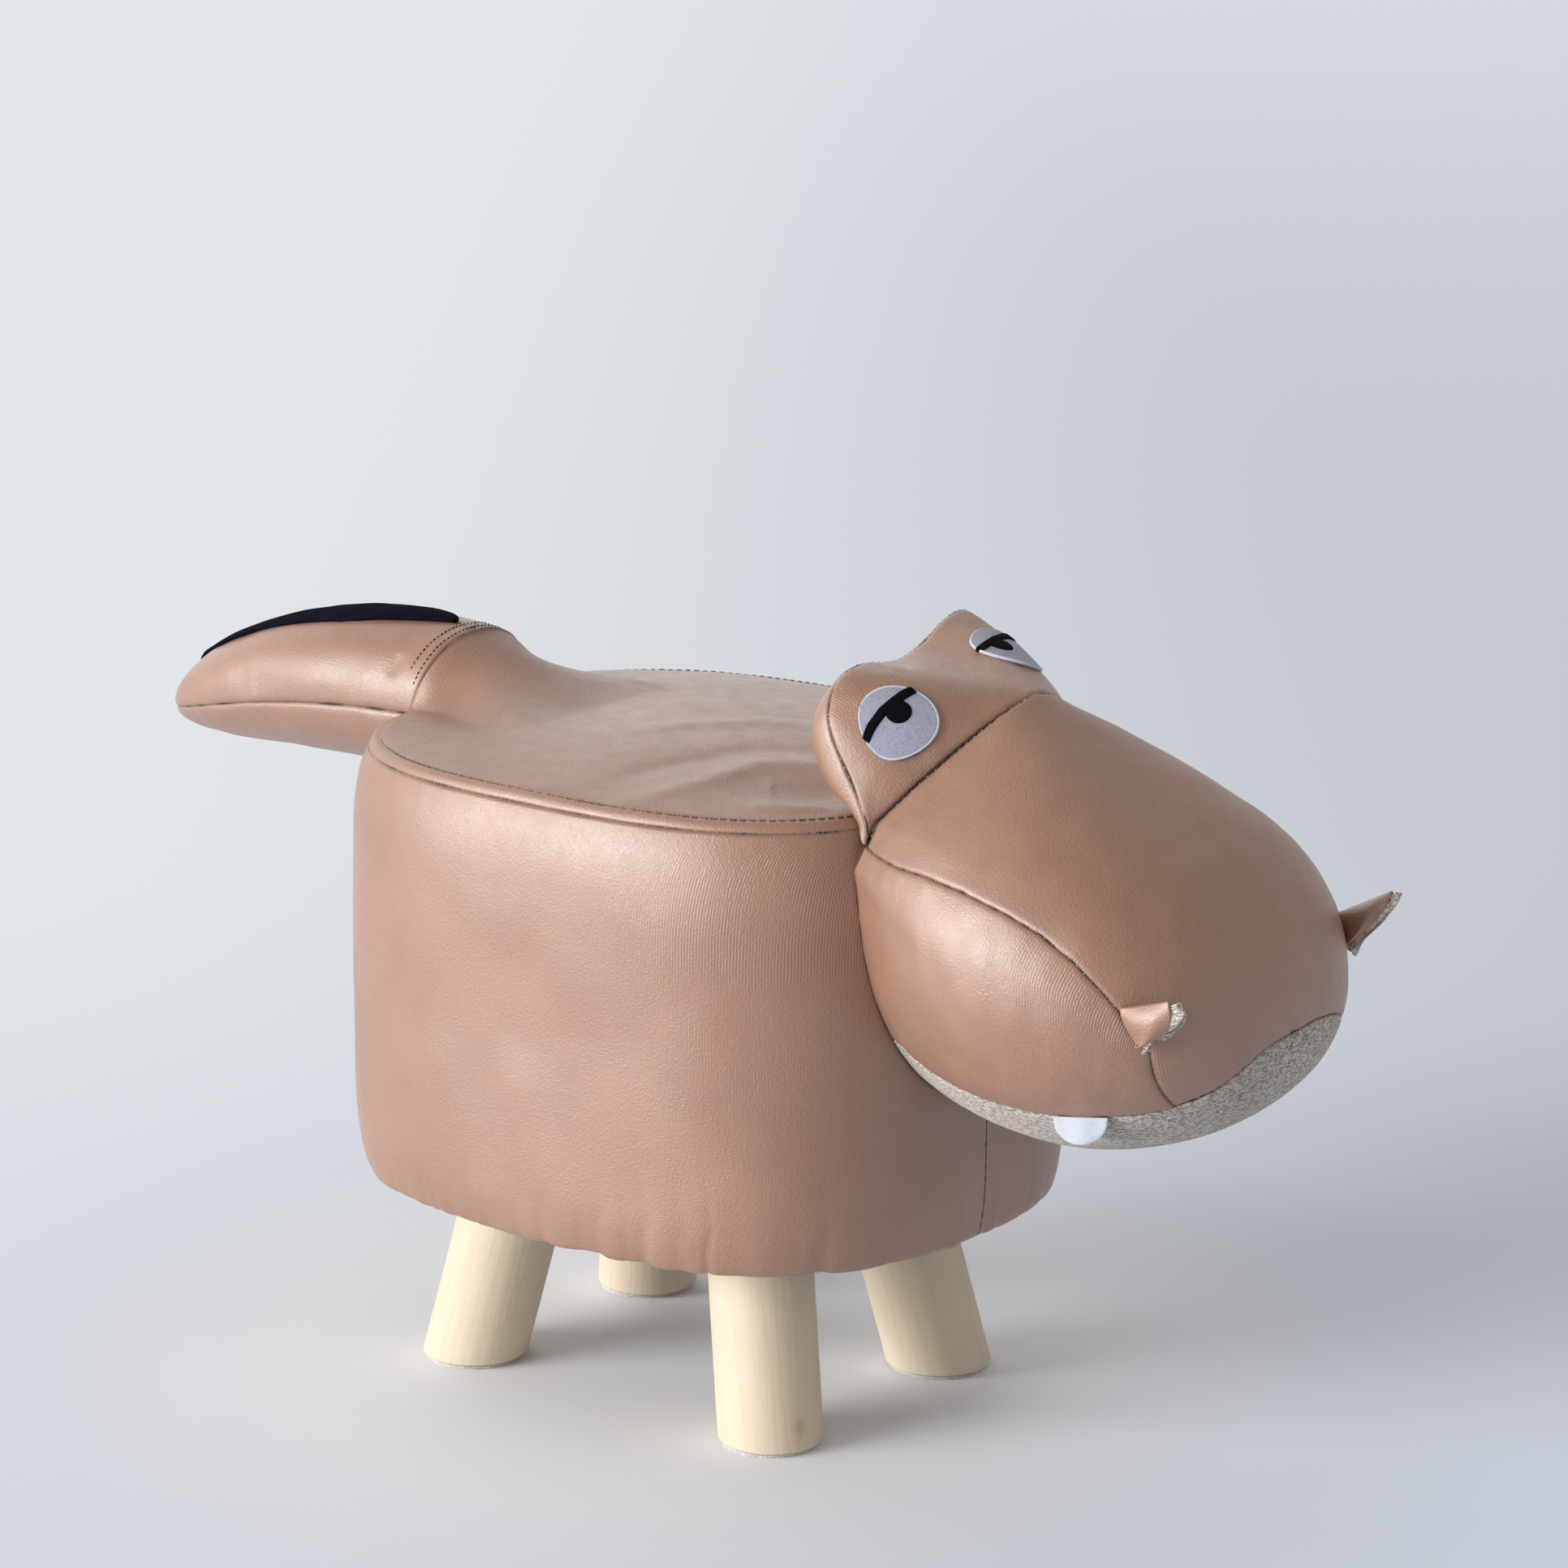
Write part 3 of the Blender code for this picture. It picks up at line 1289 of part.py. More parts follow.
def build_tail_strip():
    """The pointed felt strip along the tail's ridge."""
    steps = 12
    rows, normals = [], []
    for index in range(steps + 1):
        share = index / steps
        station = STRIP_START_SHARE + (STRIP_END_SHARE - STRIP_START_SHARE) * share
        half = STRIP_HALF_ANGLE * max(0.06, math.sin(math.pi * share) ** 0.55)
        samples = [tail_sample(station, 90 + half * across) for across in (-1.0, -0.5, 0.0, 0.5, 1.0)]
        rows.append([point for point, normal in samples])
        normals.append([normal for point, normal in samples])
    builder = bmesh.new()
    add_sheet(builder, rows, normals, FELT, FELT + STUFFING_RELIEF)
    add_object("tail_strip", builder, "black_felt")


def centre_on_floor():
    """Move the whole stool so that its footprint's box is centred on the origin."""
    bpy.context.view_layer.update()
    graph = bpy.context.evaluated_depsgraph_get()
    xs, ys = [], []
    for item in STOOL.objects:
        shape = item.evaluated_get(graph)
        for vertex in shape.data.vertices:
            place = shape.matrix_world @ vertex.co
            xs.append(place.x)
            ys.append(place.y)
    ROOT.location = (-(min(xs) + max(xs)) / 2, -(min(ys) + max(ys)) / 2, 0)


def build_stool():
    """Build every piece, from the legs up."""
    angles = outline_angles()
    build_base(angles)
    build_posts()
    build_board(
        "seat_board", BODY_TOP - SEAT_FOAM - SEAT_BOARD, SEAT_BOARD, board_inset(), "plywood", angles)
    build_wall(angles)
    build_wrap_foam(angles)
    build_seat_foam(angles)
    build_side_cover(angles)
    build_seat_cover(angles)
    build_head()
    for tag, side in (("right", -1), ("left", 1)):
        build_eye(tag)
        build_flap(tag, side)
        build_tooth(tag, side)
    build_tail()
    centre_on_floor()


clear_scene()
STOOL = make_collection("animal_footstool")
CUTTERS = make_collection("cutters")
ROOT = bpy.data.objects.new("stool_origin", None)
bpy.context.scene.collection.objects.link(ROOT)
build_stool()
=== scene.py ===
"""Studio scene of the animal footstool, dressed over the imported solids.

Forms are worked out in the stool's design frame, with the body's centre at X = 0, and moved by one
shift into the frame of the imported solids. Lengths are in metres and angles in degrees.
"""

from __future__ import annotations

import itertools
import json
import logging
import math
from collections.abc import Callable, Iterable, Sequence
from dataclasses import dataclass, field
from enum import Enum

import bmesh
import bpy
import numpy as np
from mathutils import Matrix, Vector
from mathutils.kdtree import KDTree

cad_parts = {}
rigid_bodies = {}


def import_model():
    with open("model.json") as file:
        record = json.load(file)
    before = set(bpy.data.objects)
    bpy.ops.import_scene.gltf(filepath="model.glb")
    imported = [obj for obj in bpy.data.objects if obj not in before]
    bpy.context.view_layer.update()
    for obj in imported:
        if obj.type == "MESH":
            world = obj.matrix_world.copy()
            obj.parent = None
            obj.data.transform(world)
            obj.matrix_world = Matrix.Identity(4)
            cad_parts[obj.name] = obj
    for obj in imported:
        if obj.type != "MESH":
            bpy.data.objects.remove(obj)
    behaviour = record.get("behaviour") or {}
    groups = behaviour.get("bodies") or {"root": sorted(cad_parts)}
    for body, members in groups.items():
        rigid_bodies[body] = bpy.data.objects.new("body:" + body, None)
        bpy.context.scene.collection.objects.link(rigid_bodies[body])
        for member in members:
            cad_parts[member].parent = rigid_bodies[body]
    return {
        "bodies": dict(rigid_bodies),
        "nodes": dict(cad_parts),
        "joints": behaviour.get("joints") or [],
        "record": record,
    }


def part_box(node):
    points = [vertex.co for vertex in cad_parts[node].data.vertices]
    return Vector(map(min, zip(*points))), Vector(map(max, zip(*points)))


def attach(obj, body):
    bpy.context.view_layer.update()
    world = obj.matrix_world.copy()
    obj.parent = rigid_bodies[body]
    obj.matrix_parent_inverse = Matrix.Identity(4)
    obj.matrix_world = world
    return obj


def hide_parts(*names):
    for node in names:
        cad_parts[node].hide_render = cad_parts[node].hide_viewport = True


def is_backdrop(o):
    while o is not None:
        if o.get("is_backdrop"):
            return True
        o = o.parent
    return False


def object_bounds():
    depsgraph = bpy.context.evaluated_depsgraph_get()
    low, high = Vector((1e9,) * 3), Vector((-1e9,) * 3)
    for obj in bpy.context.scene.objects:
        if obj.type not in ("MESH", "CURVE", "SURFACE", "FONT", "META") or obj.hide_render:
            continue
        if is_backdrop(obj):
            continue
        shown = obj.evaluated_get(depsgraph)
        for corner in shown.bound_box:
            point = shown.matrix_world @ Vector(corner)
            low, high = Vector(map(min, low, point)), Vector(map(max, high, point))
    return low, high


LOG = logging.getLogger("footstool")
Array = np.ndarray
Item = bpy.types.Object
Material = bpy.types.Material
Colour = tuple[float, float, float]
ROOT = "root"
MERGE = 1e-6
SOFT_RELIEF = 0.0045
SOFT_EDGE = 0.008
UP = np.array([0, 0, 1.0])
FRAME: dict = {}


# Small maths


def signed_power(value: Array, power: float) -> Array:
    """Raise the size of numbers to a power and keep their signs."""
    return np.sign(value) * np.abs(value) ** power


def through(values: Sequence[float], share: Array) -> Array:
    """Run a smooth curve through three values at shares 0, 1/2 and 1."""
    start, middle, end = values
    slope = 4 * middle - 3 * start - end
    bend = 2 * start + 2 * end - 4 * middle
    return start + slope * share + bend * share * share


def rounded_end(share: Array, rounding: float) -> Array:
    """Return how far a form is still open at a share of its length."""
    return np.maximum(0.0, 1 - share ** rounding) ** (1 / rounding)


def smooth_step(share: Array) -> Array:
    """Ease from 0 to 1."""
    share = np.clip(share, 0.0, 1.0)
    return share * share * (3 - 2 * share)


def bell(distance: Array, width: float) -> Array:
    """Return a soft peak of height 1 that falls off over a width."""
    return np.exp(-((distance / width) ** 2))


def shaded(colour: Colour, share: float) -> Colour:
    """Return a darker colour of the same hue."""
    return tuple(part * share for part in colour)


def full_turn(count: int) -> Array:
    """Return evenly spaced angles round a full turn, in radians."""
    return np.linspace(0, 2 * np.pi, count + 1)[:-1]


def stack(*parts: Array) -> Array:
    """Stack coordinates of any shapes that fit each other into points."""
    return np.stack(np.broadcast_arrays(*parts), axis=-1)


def unit(vectors: Array) -> Array:
    """Return vectors at length 1; a vector of no length stays as it is."""
    lengths = np.linalg.norm(vectors, axis=-1, keepdims=True)
    return vectors / np.where(lengths < 1e-12, 1.0, lengths)


def mix(first: Array, second: Array, share: Array) -> Array:
    """Blend points; the share has one value for each point."""
    share = np.asarray(share)[..., None]
    return first * (1 - share) + second * share


def softened(grid: Array, row: int, spread: float, times: int, share: Array) -> Array:
    """Smooth a grid's rows near one row, by a share of its own for each column."""
    near = bell(np.arange(len(grid)) - row, spread)[:, None] * share
    for _ in range(times):
        soft = grid.copy()
        soft[1:-1] = (grid[:-2] + 2 * grid[1:-1] + grid[2:]) / 4
        grid = mix(grid, soft, near)
    return grid


def arc_lengths(points: Array, axis: int = 0) -> Array:
    """Return the running length along one axis of a grid or line of points."""
    steps = np.linalg.norm(np.diff(points, axis=axis), axis=-1)
    start = np.zeros_like(np.take(steps, [0], axis=axis))
    return np.concatenate([start, np.cumsum(steps, axis=axis)], axis=axis)


def even_line(points: Array, spacing: float) -> Array:
    """Return a line's points again at even spacing."""
    lengths = arc_lengths(points)
    count = max(2, int(lengths[-1] / spacing) + 1)
    places = np.linspace(0, lengths[-1], count)
    return np.stack([np.interp(places, lengths, points[:, axis]) for axis in range(3)], axis=-1)


def even_values(values: Array, points: Array, count: int) -> Array:
    """Return values of a measure at which the points that it places are evenly spaced."""
    lengths = arc_lengths(points)
    return np.interp(np.linspace(0, lengths[-1], count), lengths, values)


def lifted(points: Array, normals: Array, height: Array | float) -> Array:
    """Return points moved along their normals."""
    return points + normals * height


class Lattice:
    """Seeded smooth noise between -1 and 1, the same on each run."""

    cells = 32

    def __init__(self, seed: int) -> None:
        """Draw the values at the lattice's corners."""
        self.values = np.random.default_rng(seed).uniform(-1, 1, (self.cells, self.cells, self.cells))

    def at(self, points: Array, size: float) -> Array:
        """Return the noise at points.

        Args:
            points: The points, in metres.
            size: The size of one cell of the noise.

        Returns:
            One value for each point.
        """
        places = points / size
        base = np.floor(places).astype(int)
        part = places - base
        part = part * part * (3 - 2 * part)
        total = np.zeros(points.shape[:-1])
        for corner in itertools.product((0, 1), repeat=3):
            cell = (base + np.array(corner)) % self.cells
            weight = np.prod(np.where(np.array(corner) == 1, part, 1 - part), axis=-1)
            total += weight * self.values[cell[..., 0], cell[..., 1], cell[..., 2]]
        return total

    def along(self, lengths: Array, size: float) -> Array:
        """Return the noise along a line, at running lengths."""
        return self.at(stack(lengths, np.asarray(0.37 * size), np.asarray(0.61 * size)), size)


# The forms, as in the part's source


@dataclass(frozen=True)
class BodyForm:
    """The padded body: a squared oval in plan, with a collar that rises into the tail."""

    half_length: float = 0.1499
    half_width: float = 0.1252
    squareness: float = 2.81
    top: float = 0.281
    bottom: float = 0.088
    top_rounding: float = 0.0085
    top_power: float = 5.5
    bottom_rounding: float = 0.0042
    bottom_power: float = 8.0
    crown: float = 0.009
    crown_power: float = 2.4
    hem_turn: float = 0.034
    hem_rise: float = 0.0045
    collar_reach: float = 0.085
    collar_fall: float = 1.4
    collar_lean: float = 0.29
    collar_spread: float = 0.028
    collar_softness: float = 1.6
    collar_half_width: float = 0.0362
    collar_squareness: float = 2.12
    collar_height: float = 0.0313
    cloth_gap: float = 0.0003
    cloth: float = 0.0008

    def inset(self, height: Array) -> Array:
        """Return how far the wall is drawn in at a height."""
        middle = (self.top + self.bottom) / 2
        above = np.clip((height - middle) / (self.top - middle), 0, 1)
        below = np.clip((middle - height) / (middle - self.bottom), 0, 1)
        return self.top_rounding * above ** self.top_power + self.bottom_rounding * below ** self.bottom_power

    def cloth_height(self) -> float:
        """Return the height of the dust cover's lower face."""
        return self.bottom + self.hem_rise - self.cloth_gap - self.cloth

    def outline(self, angle: Array, inset: Array | float) -> tuple[Array, Array]:
        """Return the plan's point at an angle in radians, drawn in by an inset."""
        power = 2 / self.squareness
        x = (self.half_length - inset) * signed_power(np.cos(angle), power)
        y = (self.half_width - inset) * signed_power(np.sin(angle), power)
        return x, y

    def end(self, across: Array, height: Array, gap: float) -> Array:
        """Return how far the end wall reaches along X at a place, with a gap to it."""
        inset = self.inset(np.minimum(height, self.top))
        share = np.minimum(1.0, np.abs(across) / (self.half_width - inset))
        closing = (1 - share ** self.squareness) ** (1 / self.squareness)
        return (self.half_length - inset) * closing + gap

    def collar_rise(self, x: Array, y: Array) -> Array:
        """Return how much the seat rises towards the tail."""
        rear = -(self.half_length - self.top_rounding)
        forward = np.clip((x - rear) / self.collar_reach, 0, 1)
        half_width = self.collar_half_width + self.collar_spread * forward
        across = np.minimum(1.0, np.abs(y) / half_width)
        firm = 1 / self.collar_squareness
        softness = firm + (self.collar_softness - firm) * smooth_step(3 * forward)
        return self.collar_height * (1 - forward) ** self.collar_fall * (
            1 - across ** self.collar_squareness) ** softness

    def seat(self, angle: Array, share: Array) -> Array:
        """Return points of the seat, from its centre at share 0 to its edge at share 1."""
        x, y = self.outline(angle, self.top_rounding)
        x, y = x * share, y * share
        rise = self.collar_rise(x, y)
        height = self.top + self.crown * (1 - share ** self.crown_power) + rise
        return stack(x + self.collar_lean * rise, y, height)

    def seat_height(self, x: Array, y: Array) -> Array:
        """Return the height of the seat above a place in plan."""
        length = self.half_length - self.top_rounding
        width = self.half_width - self.top_rounding
        power = self.squareness
        share = ((np.abs(x) / length) ** power + (np.abs(y) / width) ** power) ** (1 / power)
        crown = self.crown * (1 - np.minimum(1.0, share) ** self.crown_power)
        return self.top + crown + self.collar_rise(x, y)


@dataclass(frozen=True)
class HeadForm:
    """The stuffed head: snout, brow and the panel behind the brow."""

    body: BodyForm
    length: float = 0.151
    rounding: float = 2.18
    axis_heights: tuple[float, ...] = (0.2602, 0.2349, 0.2073)
    upper_heights: tuple[float, ...] = (0.0674, 0.0708, 0.0903)
    under_heights: tuple[float, ...] = (0.1058, 0.0976, 0.0767)
    half_widths: tuple[float, ...] = (0.0725, 0.1086, 0.1369)
    brow_squareness: float = 1.56
    snout_squareness: float = 2.37
    throat_squareness: float = 2.26
    chin_squareness: float = 2.03
    relief: float = 0.0008
    neck_edge_height: float = 0.235
    neck_edge_blend: float = 0.025
    brow_slope_start: float = 0.262
    brow_slope: float = 0.45
    mouth_angle: float = -40.0
    mouth_climbs: tuple[float, float] = (34.0, -46.0)
    mouth_reaches: tuple[float, float] = (0.24, 0.46)
    cheek_end: float = 0.872
    cheek_shares: tuple[float, ...] = (0.0, 0.06, 0.18, 0.31, 0.43, 0.55, 0.64, 0.72, 0.78, 0.82, 0.85, 0.872)
    cheek_angles: tuple[float, ...] = (14.5, 15.3, 18, 22.5, 25.3, 26.3, 25.4, 21.5, 15.5, 9.5, 2.5, -4)
    rear_half_width: float = 0.068
    rear_rise: float = 0.072
    rear_squareness: float = 4.5
    rear_setback: float = 0.034
    rear_climb: float = 0.062
    rear_sweep: float = 0.12
    saddle: float = 0.010
    lean: float = 0.10
    swells: tuple[float, float] = (0.0068, 0.0032)
    back_half_width: float = 0.060
    back_setback: float = 0.026
    back_swell: float = 0.016
    edge_relief: float = 0.0006

    def cheek_angle(self, share: Array) -> Array:
        """Return the angle of the seam between snout and cheek."""
        return np.interp(share, self.cheek_shares, self.cheek_angles)

    def mouth_right(self, share: Array) -> Array:
        """Return the angle of the right mouth seam, which levels out at the nose."""
        return self.mouth_angle + self.mouth_climbs[0] * bell(
            rounded_end(share, self.rounding), self.mouth_reaches[0])

    def mouth_left(self, share: Array) -> Array:
        """Return the angle of the left mouth seam, which climbs in front of the nose."""
        return 180 - self.mouth_angle + self.mouth_climbs[1] * bell(
            rounded_end(share, self.rounding), self.mouth_reaches[1])

    def snout(self, share: Array, degrees: Array) -> Array:
        """Return points of the snout, from the rim at share 0 to the nose at share 1."""
        angle = np.radians(degrees)
        closing = rounded_end(share, self.rounding)
        early = (1 - share) ** 2
        above = np.sin(angle) >= 0
        upper = self.snout_squareness + (self.brow_squareness - self.snout_squareness) * early
        lower = self.chin_squareness + (self.throat_squareness - self.chin_squareness) * early
        power = 2 / np.where(above, upper, lower)
        half = np.where(above, through(self.upper_heights, share), through(self.under_heights, share))
        y = -through(self.half_widths, share) * closing * signed_power(np.cos(angle), power)
        z = through(self.axis_heights, share) + half * closing * signed_power(np.sin(angle), power)
        gap = self.relief * (1 + smooth_step((z - self.neck_edge_height) / self.neck_edge_blend))
        neck = self.body.end(y, z, gap)
        x = neck + (self.body.half_length - neck) * share + self.length * share
        return stack(x + self.brow_slope * early * np.maximum(0.0, z - self.brow_slope_start), y, z)

    def corner(self) -> Array:
        """Return the point where brow, cheek and body meet on the right."""
        return self.snout(np.asarray(0.0), self.cheek_angle(0.0))

    def rear_brow(self, turn: Array) -> Array:
        """Return points of the rear brow seam, from the right side to the left."""
        corner = self.corner()
        angle = np.pi * turn
        cosine, sine = np.cos(angle), np.abs(np.sin(angle))
        power = self.rear_squareness
        reach = (np.abs(cosine) ** power + sine ** power) ** (-1 / power)
        rise = reach * sine
        half = abs(corner[1]) + (self.rear_half_width - abs(corner[1])) * smooth_step(rise * 2)
        y = -half * reach * cosine
        across = np.minimum(1.0, np.abs(y) / (self.rear_half_width * 0.75))
        dip = self.saddle * np.cos(np.pi * across / 2) ** 2
        z = corner[2] + self.rear_rise * rise + self.lean * y * rise - dip * rise
        x = corner[0] - self.rear_setback * smooth_step((z - corner[2]) / self.rear_climb)
        return stack(x - self.rear_sweep * y * rise, y, z)

    def brow(self, share: Array, turn: Array) -> Array:
        """Return points of the brow, from the front seam at share 0 to the rear seam at share 1."""
        start = self.cheek_angle(0.0)
        front = self.snout(np.zeros_like(turn), start + (180 - 2 * start) * turn)
        rear = self.rear_brow(turn)
        right, left = self.swells
        swell = (right + (left - right) * smooth_step(turn)) * 4 * share * (1 - share) * np.sin(np.pi * turn)
        eyes = np.sin(2 * np.pi * turn) ** 2
        side = front[..., 1] + rear[..., 1]
        outward = unit(stack(np.zeros_like(side), side, np.full_like(side, self.rear_half_width)))
        return mix(front, rear, share) + outward * (swell * (0.35 + 0.9 * eyes))[..., None]

    def back(self, share: Array, turn: Array) -> Array:
        """Return points of the panel behind the brow, from the seam at share 0 down to the seat."""
        rear = self.rear_brow(turn)
        corner = self.corner()
        angle = np.pi * turn
        sine = np.abs(np.sin(angle))
        x = corner[0] - self.back_setback * sine ** 0.7
        y = -self.back_half_width * signed_power(np.cos(angle), 0.8)
        top = np.full_like(y, self.body.top)
        start = stack(corner[0], np.where(turn < 0.5, corner[1], -corner[1]), corner[2])
        edge = stack(self.body.end(y, top, self.edge_relief), y, top + self.edge_relief)
        seat = stack(x, y, self.body.seat_height(x, y) - self.edge_relief)
        near = np.minimum(turn, 1 - turn)
        base = mix(mix(start, edge, smooth_step(near / 0.035)), seat, smooth_step((near - 0.03) / 0.1))
        swell = self.back_swell * 4 * share * (1 - share) * sine ** 0.6
        outward = unit(stack(-np.ones_like(y), 0.5 * y / self.back_half_width, np.full_like(y, 0.15)))
        return mix(rear, base, share) + outward * swell[..., None]

    def core(self) -> Array:
        """Return a point deep inside the head."""
        middle = through(self.axis_heights, 0.5)
        return np.array([self.body.half_length + self.length * 0.3, 0, middle])


@dataclass(frozen=True)
class TailForm:
    """The stuffed tail: a loft of near-round ovals that rounds off at the tip."""

    body: BodyForm
    length: float = 0.174
    rounding: float = 2.25
    axis_heights: tuple[float, ...] = (0.2828, 0.2783, 0.2543)
    upper_heights: tuple[float, ...] = (0.0295, 0.0325, 0.0320)
    under_heights: tuple[float, ...] = (0.0385, 0.0373, 0.0326)
    half_widths: tuple[float, ...] = (0.0362, 0.0384, 0.0403)
    squareness: float = 2.12
    seam_angles: tuple[float, ...] = (-5.7, -12.5, -18.0)
    relief: float = 0.0008

    def point(self, share: Array, degrees: Array) -> Array:
        """Return points of the tail, from its root at share 0 to its tip at share 1."""
        angle = np.radians(degrees)
        closing = rounded_end(share, self.rounding)
        power = 2 / self.squareness
        y = -through(self.half_widths, share) * closing * signed_power(np.cos(angle), power)
        above = np.sin(angle) >= 0
        half = np.where(above, through(self.upper_heights, share), through(self.under_heights, share))
        z = through(self.axis_heights, share) + half * closing * signed_power(np.sin(angle), power)
        collar = self.body.end(np.asarray(0.0), np.asarray(self.body.top), self.relief)
        lean = self.body.collar_lean * np.maximum(0.0, z - self.body.top)
        root = lean - self.body.end(y, z, self.relief)
        return stack(root + (-collar - root) * share - self.length * share, y, z)

    def seam_angle(self, share: Array) -> Array:
        """Return the angle of the tail's side seam."""
        return through(self.seam_angles, share)


# Grids of points, seams and meshes


@dataclass
class Patch:
    """A grid of surface points with normals, a flat layout in metres and values for the finish."""

    points: Array
    normals: Array
    layout: Array
    wrap: bool = False
    values: dict[str, Array] = field(default_factory=dict)

    @classmethod
    def over(cls, points: Array, core: Array, wrap: bool = False, swap: bool = False) -> Patch:
        """Make a patch from a grid of points.

        Args:
            points: Rows and columns of points.
            core: A point or points inside the form, which the normals point away from.
            wrap: Whether the last column joins the first.
            swap: Whether the layout's U runs along the rows' axis.

        Returns:
            The patch.
        """
        if wrap:
            wide = np.concatenate([points[:, -1:], points, points[:, :1]], axis=1)
            around = (wide[:, 2:] - wide[:, :-2]) / 2
        else:
            around = np.gradient(points, axis=1)
        normals = unit(np.cross(np.gradient(points, axis=0), around))
        flat = np.linalg.norm(np.cross(np.gradient(points, axis=0), around), axis=-1) < 1e-12
        for row, inner in ((0, 1), (-1, -2)):
            if flat[row].all():
                normals[row] = unit(normals[inner].mean(axis=0))
            else:
                normals[row] = np.where(flat[row][:, None], normals[inner], normals[row])
        side = np.sum(normals * (points - core), axis=-1)
        if np.nanmean(side) < 0:
            normals = -normals
        across = arc_lengths(points, axis=1)
        across = across - across[:, across.shape[1] // 2][:, None]
        down = arc_lengths(points, axis=0)
        layout = stack(down, across) if swap else stack(across, down)
        return cls(points, normals, layout, wrap)

    def moved(self, heights: Array) -> Patch:
        """Return the patch with its points moved along their normals."""
        points = lifted(self.points, self.normals, heights[..., None])
        return Patch(points, self.normals, self.layout, self.wrap, self.values)


def share_normals(patches: Sequence[Patch]) -> None:
    """Give points that lie on each other in different patches one common normal."""
    flat = np.concatenate([patch.points.reshape(-1, 3) for patch in patches])
    normals = np.concatenate([patch.normals.reshape(-1, 3) for patch in patches])
    _, joined = np.unique(np.round(flat / MERGE).astype(np.int64), axis=0, return_inverse=True)
    joined = joined.reshape(-1)
    sums = np.stack([np.bincount(joined, normals[:, axis]) for axis in range(3)], axis=-1)
    common = unit(sums)[joined]
    start = 0
    for patch in patches:
        size = patch.points[..., 0].size
        patch.normals = common[start:start + size].reshape(patch.points.shape)
        start += size


class Seam:
    """A sewn line that panels share, with the nearest place on it for any point."""

    spacing = 0.0008

    def __init__(self, points: Array, closed: bool = False) -> None:
        """Lay out the seam's points evenly and sort them for the search."""
        line = np.concatenate([points, points[:1]]) if closed else points
        self.points = even_line(line, self.spacing)
        self.lengths = arc_lengths(self.points)
        self.tree = KDTree(len(self.points))
        for index, point in enumerate(self.points):
            self.tree.insert(point, index)
        self.tree.balance()

    def near(self, points: Array) -> tuple[Array, Array]:
        """Return the distance to the seam and the running length along it, for each point."""
        flat = points.reshape(-1, 3)
        found = [self.tree.find(point) for point in flat]
        distance = np.array([item[2] for item in found]).reshape(points.shape[:-1])
        along = self.lengths[[item[1] for item in found]].reshape(points.shape[:-1])
        return distance, along


